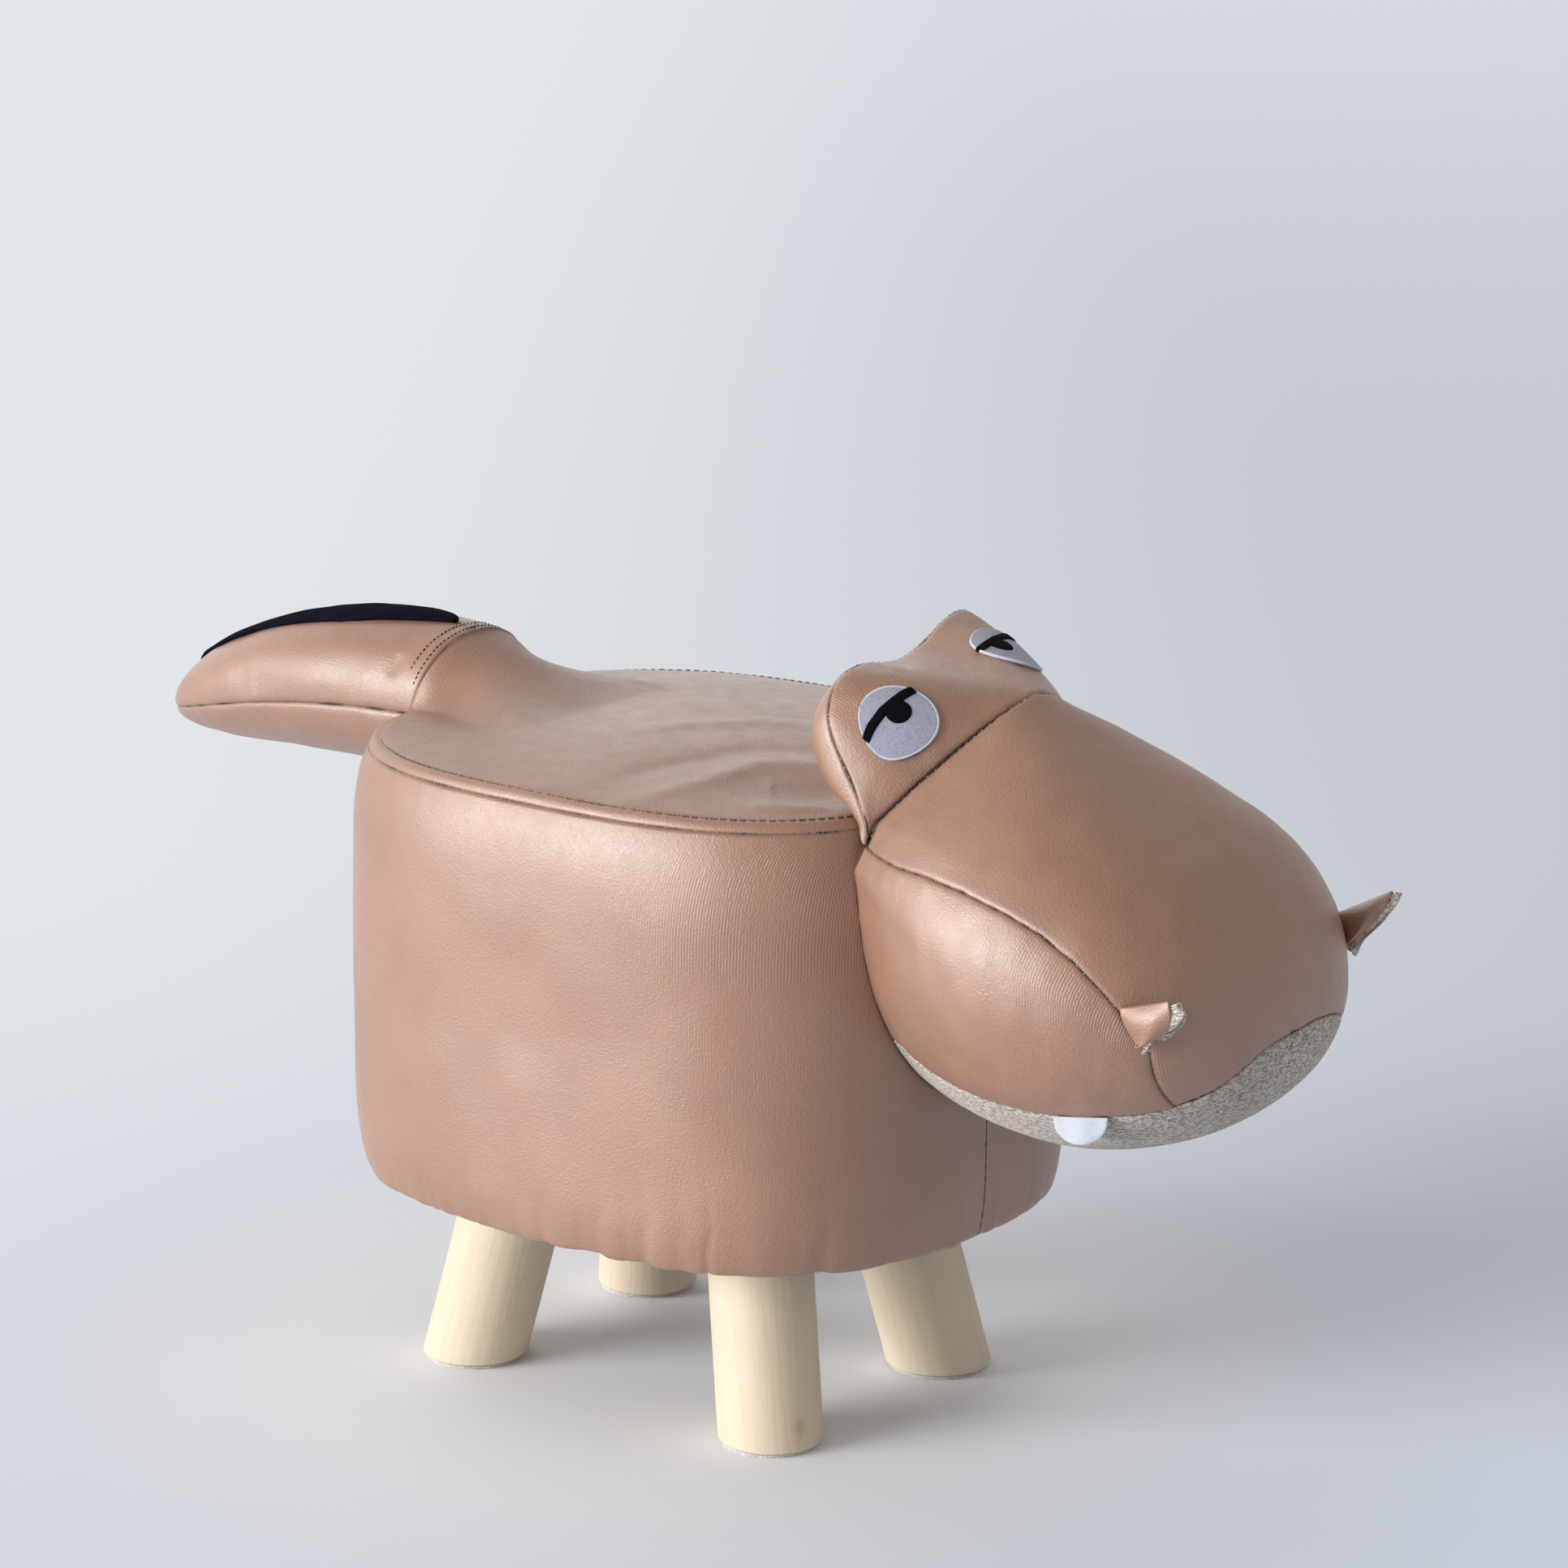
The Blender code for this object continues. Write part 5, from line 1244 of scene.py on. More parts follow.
@dataclass(frozen=True)
class Steel(Finish):
    """Zinc-plated steel with fine turning marks and dull patches."""

    colour: Colour = (0.62, 0.63, 0.65)
    dull: Colour = (0.5, 0.5, 0.5)
    mark_size: float = 0.0012
    cloud_size: float = 0.006
    depth: float = 0.0001

    def fill(self, tree: MaterialBuilder) -> None:
        """Add the turning marks and the dull patches."""
        place = tree.coordinates()
        marks = tree.noise(tree.stretched(place, (0.2, 0.2, 3.0)), self.mark_size, 2.0)
        cloud = tree.noise(place, self.cloud_size, 3.0)
        tree.feed("Base Color", tree.blend(cloud.ramp(0.3, 0.7), self.colour, self.dull))
        tree.feed("Roughness", marks.ramp(0.3, 0.7, 0.26, 0.46))
        tree.feed("Normal", tree.bump(marks, self.depth, 0.5))
        tree.set(Metallic=1.0)


@dataclass(frozen=True)
class Thread(Finish):
    """Twisted sewing thread."""

    colour: Colour
    dark: Colour
    ply_size: float = 0.0006
    wear_size: float = 0.012
    depth: float = 0.0002

    def fill(self, tree: MaterialBuilder) -> None:
        """Add the twist and the worn stretches."""
        place = tree.coordinates()
        ply = tree.noise(tree.stretched(place, (1.0, 1.0, 0.7)), self.ply_size, 2.0)
        wear = tree.noise(place, self.wear_size, 2.0)
        tone = tree.blend(ply.ramp(0.35, 0.7), self.dark, self.colour)
        tree.feed("Base Color", tree.blend(wear.ramp(0.45, 0.75, 0.0, 0.6), tone, self.dark))
        tree.feed("Normal", tree.bump(ply, self.depth, 0.6))
        tree.set(Roughness=0.6)


class Finishes:
    """All the stool's materials, built once."""

    def __init__(self) -> None:
        """Build them."""
        self.leather = Leather("tan_leather", (0.297, 0.149, 0.089), (0.255, 0.120, 0.067)).make()
        self.suede = Suede("beige_suede", (0.57, 0.505, 0.44), (0.13, 0.105, 0.09)).make()
        self.lining = Suede("beige_lining", (0.70, 0.63, 0.54), (0.20, 0.16, 0.13), pit_size=0.0008).make()
        self.black_felt = Felt("black_felt", (0.0045, 0.005, 0.011), (0.012, 0.013, 0.024)).make()
        self.white_felt = Felt("white_felt", (0.54, 0.575, 0.635), (0.64, 0.68, 0.73)).make()
        self.eye = SatinStitch("eye_thread", (0.46, 0.48, 0.60), (0.20, 0.21, 0.28)).make()
        self.rim = SatinStitch("eye_rim_thread", (0.72, 0.75, 0.84), (0.45, 0.48, 0.58)).make()
        self.pupil = SatinStitch("pupil_thread", (0.006, 0.006, 0.009), (0.001, 0.001, 0.002),
                                 roughness=0.85, gloss=0.05).make()
        self.pine = Pine("pine").make()
        self.plywood = Layered("plywood", (0.66, 0.50, 0.32), (0.40, 0.26, 0.14), layer=0.0015).make()
        self.hardboard = Layered("hardboard", (0.30, 0.19, 0.11), (0.19, 0.11, 0.06), layer=0.02,
                                 grain=(1, 1, 1)).make()
        self.foam = OpenStuff("foam", (0.85, 0.80, 0.62), (0.60, 0.53, 0.36), grain=0.0018).make()
        self.fibre = OpenStuff("fibre_fill", (0.90, 0.90, 0.90), (0.70, 0.70, 0.70), grain=0.004).make()
        self.dust_cloth = OpenStuff("dust_cloth", (0.035, 0.035, 0.036), (0.012, 0.012, 0.012),
                                    grain=0.0014).make()
        self.pad = OpenStuff("pad_felt", (0.62, 0.60, 0.58), (0.40, 0.39, 0.38), grain=0.0011).make()
        self.steel = Steel("zinc_steel").make()
        # The dark thread is sewn as stitches and is also laid as cords and dots that paint the shade in seam
        # grooves and needle holes.
        self.seam_thread = Thread("seam_thread", (0.050, 0.030, 0.024), (0.022, 0.012, 0.010)).make()
        self.pale_thread = Thread("topstitch_thread", (0.42, 0.40, 0.42), (0.10, 0.08, 0.08)).make()
        self.brown_thread = Thread("inner_stitch_thread", (0.20, 0.12, 0.085), (0.09, 0.05, 0.035)).make()


# What all the soft pieces share


@dataclass(frozen=True)
class Rise:
    """A strength that rises from its least over a stretch of one axis."""

    least: float
    rise: float = 0.0
    axis: int = 0
    start: float = 0.0
    reach: float = 1.0

    def at(self, points: Array) -> Array:
        """Return the strength at points."""
        return self.least + self.rise * smooth_step((points[..., self.axis] - self.start) / self.reach)


@dataclass
class Relief:
    """Small heights that turn a smooth form into stuffed leather."""

    roll: float = 0.0024
    sink: float = 0.0013
    pucker: float = 0.0004
    pucker_pitch: float = 0.0052
    pucker_reach: float = 0.010
    swell: float = 0.0006
    swell_size: float = 0.032
    seam_share: float = 0.38
    edge: float = 0.002
    free_reach: float = 0.012
    noise: Lattice = field(default_factory=lambda: Lattice(11))

    def dress(self, patch: Patch, seams: Sequence[Seam], extra: Callable[[Array], Array] | None = None,
              ribs: Callable[[Array], Array] = Rise(0.35).at) -> Patch:
        """Sink a patch at its seams, pucker it beside them, swell it softly between and mark the seams for
        painted shade.

        Args:
            patch: The smooth patch.
            seams: The seams that it meets.
            extra: Heights of this panel's own folds, by point.
            ribs: How strongly the ribs of the backing show, by point.

        Returns:
            The dressed patch.
        """
        distance = np.full(patch.points.shape[:2], 1.0)
        heights = np.zeros(patch.points.shape[:2])
        for number, seam in enumerate(seams):
            away, along = seam.near(patch.points)
            ripple = self.noise.along(along + 0.7 * number, self.pucker_pitch)
            strength = 0.55 + 0.45 * self.noise.along(along + 1.3 * number, self.pucker_pitch * 5)
            fade = np.exp(-away / self.pucker_reach) * smooth_step(away / self.edge)
            heights += self.pucker * ripple * strength * fade * 1.6
            distance = np.minimum(distance, away)
        part = np.clip(1 - distance / self.roll, 0, 1)
        heights -= self.sink * (1 - np.sqrt(np.clip(1 - part ** 2, 0, 1)))
        free = smooth_step(distance / self.free_reach)
        heights += self.swell * self.noise.at(patch.points, self.swell_size) * free
        heights += self.swell * 0.35 * self.noise.at(patch.points + 0.5, self.swell_size * 0.42) * free
        if extra is not None:
            heights += extra(patch.points)
        dressed = patch.moved(heights)
        # The seam value is a mask for painted shade: the finishes darken the surface along each seam with it.
        dressed.values["seam"] = bell(distance, self.roll * self.seam_share)
        dressed.values["ribs"] = ribs(patch.points)
        return dressed


@dataclass(frozen=True)
class Creases:
    """Soft creases all over a panel: seeded noise, stretched along one way."""

    seed: int
    stretch: tuple[float, float, float]
    size: float
    height: float

    def heights(self, points: Array) -> Array:
        """Return the creases' heights at points."""
        return self.height * Lattice(self.seed).at(points * np.array(self.stretch), self.size)


@dataclass(frozen=True)
class Fold:
    """A soft ridge or valley along a short line of plan or surface points."""

    line: tuple[tuple[float, ...], ...]
    height: float
    width: float

    def heights(self, points: Array) -> Array:
        """Return the fold's height at points, from as many coordinates as its line has."""
        line = np.array(self.line)
        size = line.shape[1]
        best = np.full(points.shape[:-1], 10.0)
        place = np.zeros(points.shape[:-1])
        flat = points[..., :size]
        for index, (start, end) in enumerate(zip(line, line[1:])):
            along = end - start
            part = np.clip(((flat - start) @ along) / (along @ along), 0, 1)
            away = np.linalg.norm(flat - (start + part[..., None] * along), axis=-1)
            closer = away < best
            best = np.where(closer, away, best)
            place = np.where(closer, (index + part) / (len(line) - 1), place)
        ends = np.sin(np.pi * np.clip(place, 0.03, 0.97)) ** 0.5
        return self.height * bell(best, self.width) * ends


    @staticmethod
    def total(folds: Sequence[Fold], points: Array) -> Array:
        """Return the heights of several folds together."""
        return sum((fold.heights(points) for fold in folds), np.zeros(points.shape[:-1]))


@dataclass
class Workshop:
    """What every sub-assembly needs: the mesh maker, the finishes and the trees."""

    maker: MeshMaker
    finishes: Finishes
    stitches: StitchTree
    cords: CordTree

    def stitch(self, name: str, lines: Sequence[Array], material: Material, pitch: float, length: float,
               thread: float, start: float = 0.0, seed: int = 3, wander: float = 0.00008) -> Item:
        """Sew stitches along lines on the leather and return them as one piece."""
        item = self.maker.lines(name + "_path", lines)
        values = {"Pitch": pitch, "Stitch Length": length, "Thread": thread, "Start": start, "Wander": wander,
                  "Seed": seed, "Finish": material}
        return place(self.stitches.grow(item, name, values), "tan_leather")

    def cord(self, name: str, lines: Sequence[Array], material: Material, radius: float) -> Item:
        """Lay a thread along lines on the leather and return it as one piece."""
        item = self.maker.lines(name + "_path", lines)
        return place(self.cords.grow(item, name, {"Radius": radius, "Finish": material}), "tan_leather")

    def piece(self, name: str, patches: Sequence[Patch], material: Material, slot: str, *nodes: str,
              lip: float = 0.0, fill: float | None = None) -> Item:
        """Make one piece from patches, attach it to its body and hide the solids that it stands for."""
        return place(self.maker.build(name, patches, material, lip), slot, *nodes, fill=fill)


def place(item: Item, slot: str, *nodes: str, fill: float | None = None) -> Item:
    """Attach a finished piece to the root body and hide the solids that it stands for."""
    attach(item, ROOT)
    if nodes:
        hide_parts(*nodes)
    LOG.info("%s: %d faces", item.name, len(item.data.polygons))
    return item


# Sub-assemblies


@dataclass
class Body:
    """The padded body: side cover, seat cover, their topstitching and what is inside."""

    form: BodyForm
    shop: Workshop
    columns: int = 560
    hem_rows: int = 21
    edge_rows: int = 5
    edge_softness: int = 5
    seam_height: float = 0.2770
    wall_row: float = 0.0019
    corner_row: float = 0.0012
    corner_top: float = 0.012
    corner_start: float = 0.0105
    collar_start: float = 0.003
    core_height: float = 0.185
    seat_ribs: Rise = Rise(0.12)
    forward: Rise = Rise(0.0, 1.0, axis=0, start=-0.02, reach=0.12)
    upward: Rise = Rise(0.0, 1.0, axis=2, start=0.15, reach=0.09)
    fold_start: float = 0.001
    fold_blend: float = 0.002
    row_overlap: float = 0.002
    lip: float = 0.002
    fill: float = 0.95
    inner_row_inset: float = 0.0113
    row_end_rise: float = 0.0025
    groove_depth: float = 0.0007
    groove_width: float = 0.0011
    dimple_pitch: float = 0.0055
    rim_sink: float = 0.0004
    thread_sink: float = 0.0003
    line_step: float = 0.001
    hem_gathers: float = 0.0030
    gather_reach: float = 0.020
    gather_size: float = 0.045
    gather_places: tuple[tuple[float, float], ...] = ((-68.0, 16.0), (-38.0, 12.0))
    girth_radius: float = 0.148
    crease_size: float = 0.0085
    crease_drift: float = 0.004
    drift_size: float = 0.01
    bulge_size: float = 0.013
    cloth_margin: float = 0.007
    cloth_body: float = 0.0006
    cloth_sag: float = 0.0004
    sag_sizes: tuple[float, float] = (0.02, 0.05)
    seat_folds: tuple[Fold, ...] = (
        Fold(((0.090, -0.020), (0.063, -0.041), (0.058, -0.074), (0.048, -0.104)), 0.0013, 0.0075),
        Fold(((0.078, -0.005), (0.046, -0.028), (0.034, -0.060), (0.026, -0.088)), -0.0011, 0.0080),
        Fold(((0.056, 0.030), (0.022, 0.012), (0.000, -0.012), (-0.014, -0.040)), 0.0009, 0.0085),
        Fold(((0.112, -0.042), (0.100, -0.052), (0.084, -0.064)), -0.0024, 0.0150),
        Fold(((0.116, -0.062), (0.104, -0.076), (0.088, -0.084)), 0.0012, 0.0060),
        Fold(((0.104, 0.050), (0.080, 0.066), (0.060, 0.086)), -0.0018, 0.0120),
        Fold(((0.090, 0.020), (0.062, 0.044), (0.048, 0.084)), 0.0010, 0.0080),
        Fold(((-0.118, -0.034), (-0.098, -0.052), (-0.066, -0.062)), -0.0010, 0.0080),
        Fold(((-0.112, -0.024), (-0.088, -0.036), (-0.052, -0.040)), 0.0009, 0.0060),
        Fold(((-0.112, 0.026), (-0.090, 0.040), (-0.060, 0.042)), 0.0009, 0.0065),
    )

    def angles(self) -> Array:
        """Return the plan angles of the columns, evenly spaced round the girth from the front seam."""
        angle = np.linspace(0, 2 * np.pi, 4001)
        x, y = self.form.outline(angle, np.zeros_like(angle))
        return even_values(angle, stack(x, y, 0 * x), self.columns + 1)

    def wall_rows(self, top: float, bottom: float, spacing: float) -> Array:
        """Return heights between two levels, top first."""
        return np.linspace(top, bottom, int((top - bottom) / spacing) + 1)

    def section(self) -> tuple[Array, Array]:
        """Return the side cover's section from the seam to the end of the hem as insets and heights."""
        form = self.form
        heights = np.concatenate([
            self.wall_rows(self.seam_height, form.bottom + self.corner_top, self.wall_row),
            self.wall_rows(form.bottom + self.corner_start, form.bottom, self.corner_row)])
        insets = form.inset(heights)
        turn = np.linspace(0, 1, self.hem_rows + 1)[1:]
        rise = form.hem_rise * smooth_step((turn - 0.1) / 0.4)
        insets = np.concatenate([insets, form.bottom_rounding + form.hem_turn * turn])
        return insets, np.concatenate([heights, form.bottom + rise])

    def side_points(self, angles: Array) -> Array:
        """Return the side cover's grid, with its lower corner rounded."""
        insets, heights = self.section()
        x, y = self.form.outline(angles[None, :], insets[:, None])
        corner = len(heights) - self.hem_rows - 1
        return softened(stack(x, y, heights[:, None]), corner, spread=4.0, times=6, share=np.ones(1))

    def seat_points(self, angles: Array) -> Array:
        """Return the seat cover's grid from the seam over the edge to the centre."""
        form = self.form
        heights = np.linspace(self.seam_height, form.top, self.edge_rows)
        x, y = form.outline(angles[None, :], form.inset(heights)[:, None])
        wall = stack(x, y, heights[:, None])
        wall[-1] = form.seat(angles, np.ones_like(angles))
        steps = np.concatenate([np.linspace(0, 0.12, 13)[1:], np.linspace(0.12, 1.0, 56)[1:]])
        grid = np.concatenate([wall, form.seat(angles[None, :], 1 - steps[:, None])])
        edge = grid[self.edge_rows - 1]
        flat = 1 - smooth_step(form.collar_rise(edge[:, 0], edge[:, 1]) / self.collar_start)
        return softened(grid, self.edge_rows - 1, spread=3.0, times=self.edge_softness, share=flat)

    def gathers(self, points: Array) -> Array:
        """Return the heights of the folds where the leather is gathered under the body."""
        noise = Lattice(23)
        above = np.clip((points[..., 2] - self.form.bottom) / self.gather_reach, 0, None)
        heading = np.arctan2(points[..., 1], points[..., 0])
        girth = heading * self.girth_radius
        drift = self.crease_drift * noise.along(points[..., 2], self.drift_size)
        crease = np.abs(noise.along(girth + drift, self.crease_size))
        valley = -(1 - np.clip(crease, 0, 1)) ** 5
        gather = smooth_step((noise.along(girth, self.gather_size) + 0.45) / 0.8)
        near_side = sum(bell(np.degrees(heading) - middle, width) for middle, width in self.gather_places)
        strength = 0.10 + 0.22 * gather + 0.60 * np.clip(near_side, 0, 1)
        fade = np.exp(-above ** 1.2)
        bulge = 0.35 * noise.along(girth, self.bulge_size)
        return self.hem_gathers * strength * fade * (valley * 0.8 + bulge)

    def wall_ribs(self, points: Array) -> Array:
        """Return how strongly the ribs show on the side cover: most towards the front and the top."""
        return self.seat_ribs.at(points) + 0.70 * self.forward.at(points) * self.upward.at(points)

    def creases(self, points: Array) -> Array:
        """Return the heights of the seat's folds."""
        above = smooth_step((points[..., 2] - self.form.top + self.fold_start) / self.fold_blend)
        return Fold.total(self.seat_folds, points) * above

    def covers(self) -> None:
        """Make the side cover and the seat cover with their seams and stitches."""
        shop, form = self.shop, self.form
        angles = self.angles()
        side = self.side_points(angles)
        seat = self.seat_points(angles[:-1])
        rim = Seam(side[0, :-1], closed=True)
        front = Seam(side[:-self.hem_rows, 0])
        core = np.array([0, 0, self.core_height])
        relief = Relief(roll=0.0010, sink=0.0004, pucker=0.0002, pucker_reach=0.008, swell=0.0011,
                        swell_size=0.06)
        side_patch = relief.dress(Patch.over(side, core), [rim, front], self.gathers, self.wall_ribs)
        shop.piece("side_cover_leather", [side_patch], shop.finishes.leather, "tan_leather", "side_cover",
                   lip=self.lip, fill=self.fill)
        inset = self.inner_row_inset - form.top_rounding
        share = 1 - inset / (form.half_width - form.top_rounding)
        inner_line = form.seat(angles[:-1], np.full(self.columns, share))
        low = form.collar_rise(inner_line[:, 0], inner_line[:, 1]) < self.row_end_rise
        inner_line = self.open_run(inner_line, low)
        row = Seam(inner_line)

        def seat_relief(points: Array) -> Array:
            """Return the heights of the seat's folds and of the groove along its inner row."""
            away, along = row.near(points)
            dimples = 0.75 + 0.25 * np.cos(2 * np.pi * along / self.dimple_pitch)
            return self.creases(points) - self.groove_depth * bell(away, self.groove_width) * dimples

        seat_patch = relief.dress(Patch.over(seat, core, wrap=True), [rim], seat_relief, self.seat_ribs.at)
        shop.piece("seat_cover_leather", [seat_patch], shop.finishes.leather, "tan_leather", "seat_cover",
                   lip=self.lip, fill=self.fill)
        self.topstitching(side, inner_line, core)

    @staticmethod
    def open_run(line: Array, keep: Array) -> Array:
        """Return the one stretch of a closed line that is kept."""
        start = int(np.argmin(keep))
        rolled, flags = np.roll(line, -start, axis=0), np.roll(keep, -start)
        return rolled[flags]

    def topstitching(self, side: Array, inner_line: Array, core: Array) -> None:
        """Sew the two rows round the seat, with dark dots that paint the shade in the inner row's needle
        holes, and lay the front seam's dark thread, which also paints the shade of its groove.
        """
        shop, form, finishes = self.shop, self.form, self.shop.finishes
        outer = Patch.over(side, core)
        keep = np.abs(outer.points[0, :, 1]) > form.collar_half_width - self.row_overlap
        keep |= outer.points[0, :, 0] > 0
        line = lifted(outer.points[0], outer.normals[0], -self.rim_sink)[:-1]
        line = even_line(self.open_run(line, keep[:-1]), self.line_step)
        shop.stitch("rim_seam_thread", [line], finishes.seam_thread, pitch=0.0022, length=0.0015,
                    thread=0.0006)
        shop.stitch("rim_topstitch", [line], finishes.pale_thread, pitch=0.0044, length=0.0013,
                    thread=0.0007, start=0.0011)
        inner = even_line(lifted(inner_line, UP, -self.thread_sink), self.line_step)
        shop.stitch("seat_topstitch", [inner], finishes.brown_thread, pitch=0.0040, length=0.0028,
                    thread=0.0007, seed=5)
        # Painted shade: short dark dots between the stitches stand in for the shade in the needle holes.
        shop.stitch("seat_needle_holes", [inner], finishes.seam_thread, pitch=0.0040, length=0.0008,
                    thread=0.0007, start=0.0020, seed=5)
        front = slice(None, 1 - self.hem_rows)
        front_line = lifted(outer.points[front, 0], outer.normals[front, 0], -self.thread_sink)
        # Painted shade: the dark cord sunk in the front seam stands in for the shade of the groove as well as
        # for thread.
        shop.cord("front_seam_thread", [even_line(front_line, 2 * self.line_step)], finishes.seam_thread,
                  radius=0.00035)

    def inside(self) -> None:
        """Dress what the covers hide: the dust cover, the foams and the fillings."""
        form, finishes = self.form, self.shop.finishes
        angles = self.angles()[:-1]
        height = form.cloth_height()
        shares = np.linspace(1.0, 0.0, 40)
        x, y = form.outline(angles[None, ::2], form.bottom_rounding + form.hem_turn - self.cloth_margin)
        grid = stack(x * shares[:, None], y * shares[:, None], np.asarray(height))
        noise = Lattice(31)
        sag = sum(self.cloth_sag * noise.at(grid, size) for size in self.sag_sizes)
        sag = np.clip(sag, -self.cloth_sag, self.cloth_sag)
        grid[..., 2] += sag * smooth_step((1 - shares) / 0.1)[:, None]
        flat = np.broadcast_to(UP, grid.shape)
        layout = stack(grid[..., 0], grid[..., 1])
        upper = grid + UP * self.cloth_body
        under = Patch(grid, -flat, layout, wrap=True)
        over = Patch(upper[::-1], flat, layout, wrap=True)
        edge = Patch.over(np.stack([upper[0], grid[0]]), UP * height, wrap=True)
        self.shop.piece("dust_cover_cloth", [under, over, edge], finishes.dust_cloth, "dust_cloth",
                        "dust_cover")
        for node in ("wrap_foam", "seat_foam"):
            soft_copy(node, "foam", finishes.foam)
        for node in ("head_filling", "tail_filling"):
            soft_copy(node, "fibre_fill", finishes.fibre)


def soft_copy(node: str, slot: str, material: Material) -> None:
    """Replace a soft solid by a finer, slightly softened copy of its form.

    Args:
        node: The solid's name.
        slot: The material slot, which is not used.
        material: The finish.
    """
    source = bpy.data.objects[node] if node in bpy.data.objects else FRAME["nodes"][node]
    builder = bmesh.new()
    builder.from_mesh(source.data)
    bmesh.ops.remove_doubles(builder, verts=builder.verts, dist=MERGE * 10)
    long = [edge for edge in builder.edges if edge.calc_length() > SOFT_EDGE]
    bmesh.ops.subdivide_edges(builder, edges=long, cuts=1, use_grid_fill=True)
    bmesh.ops.triangulate(builder, faces=[face for face in builder.faces if len(face.verts) > 4])
    builder.normal_update()
    spots = [vertex.co - vertex.normal * SOFT_RELIEF for vertex in builder.verts]
    for vertex, spot in zip(builder.verts, spots):
        vertex.co = spot
    mesh = bpy.data.meshes.new(node + "_soft")
    builder.to_mesh(mesh)
    builder.free()
    item = MeshMaker.finish(node + "_soft", mesh, material)
    place(item, slot, node, fill=0.8)


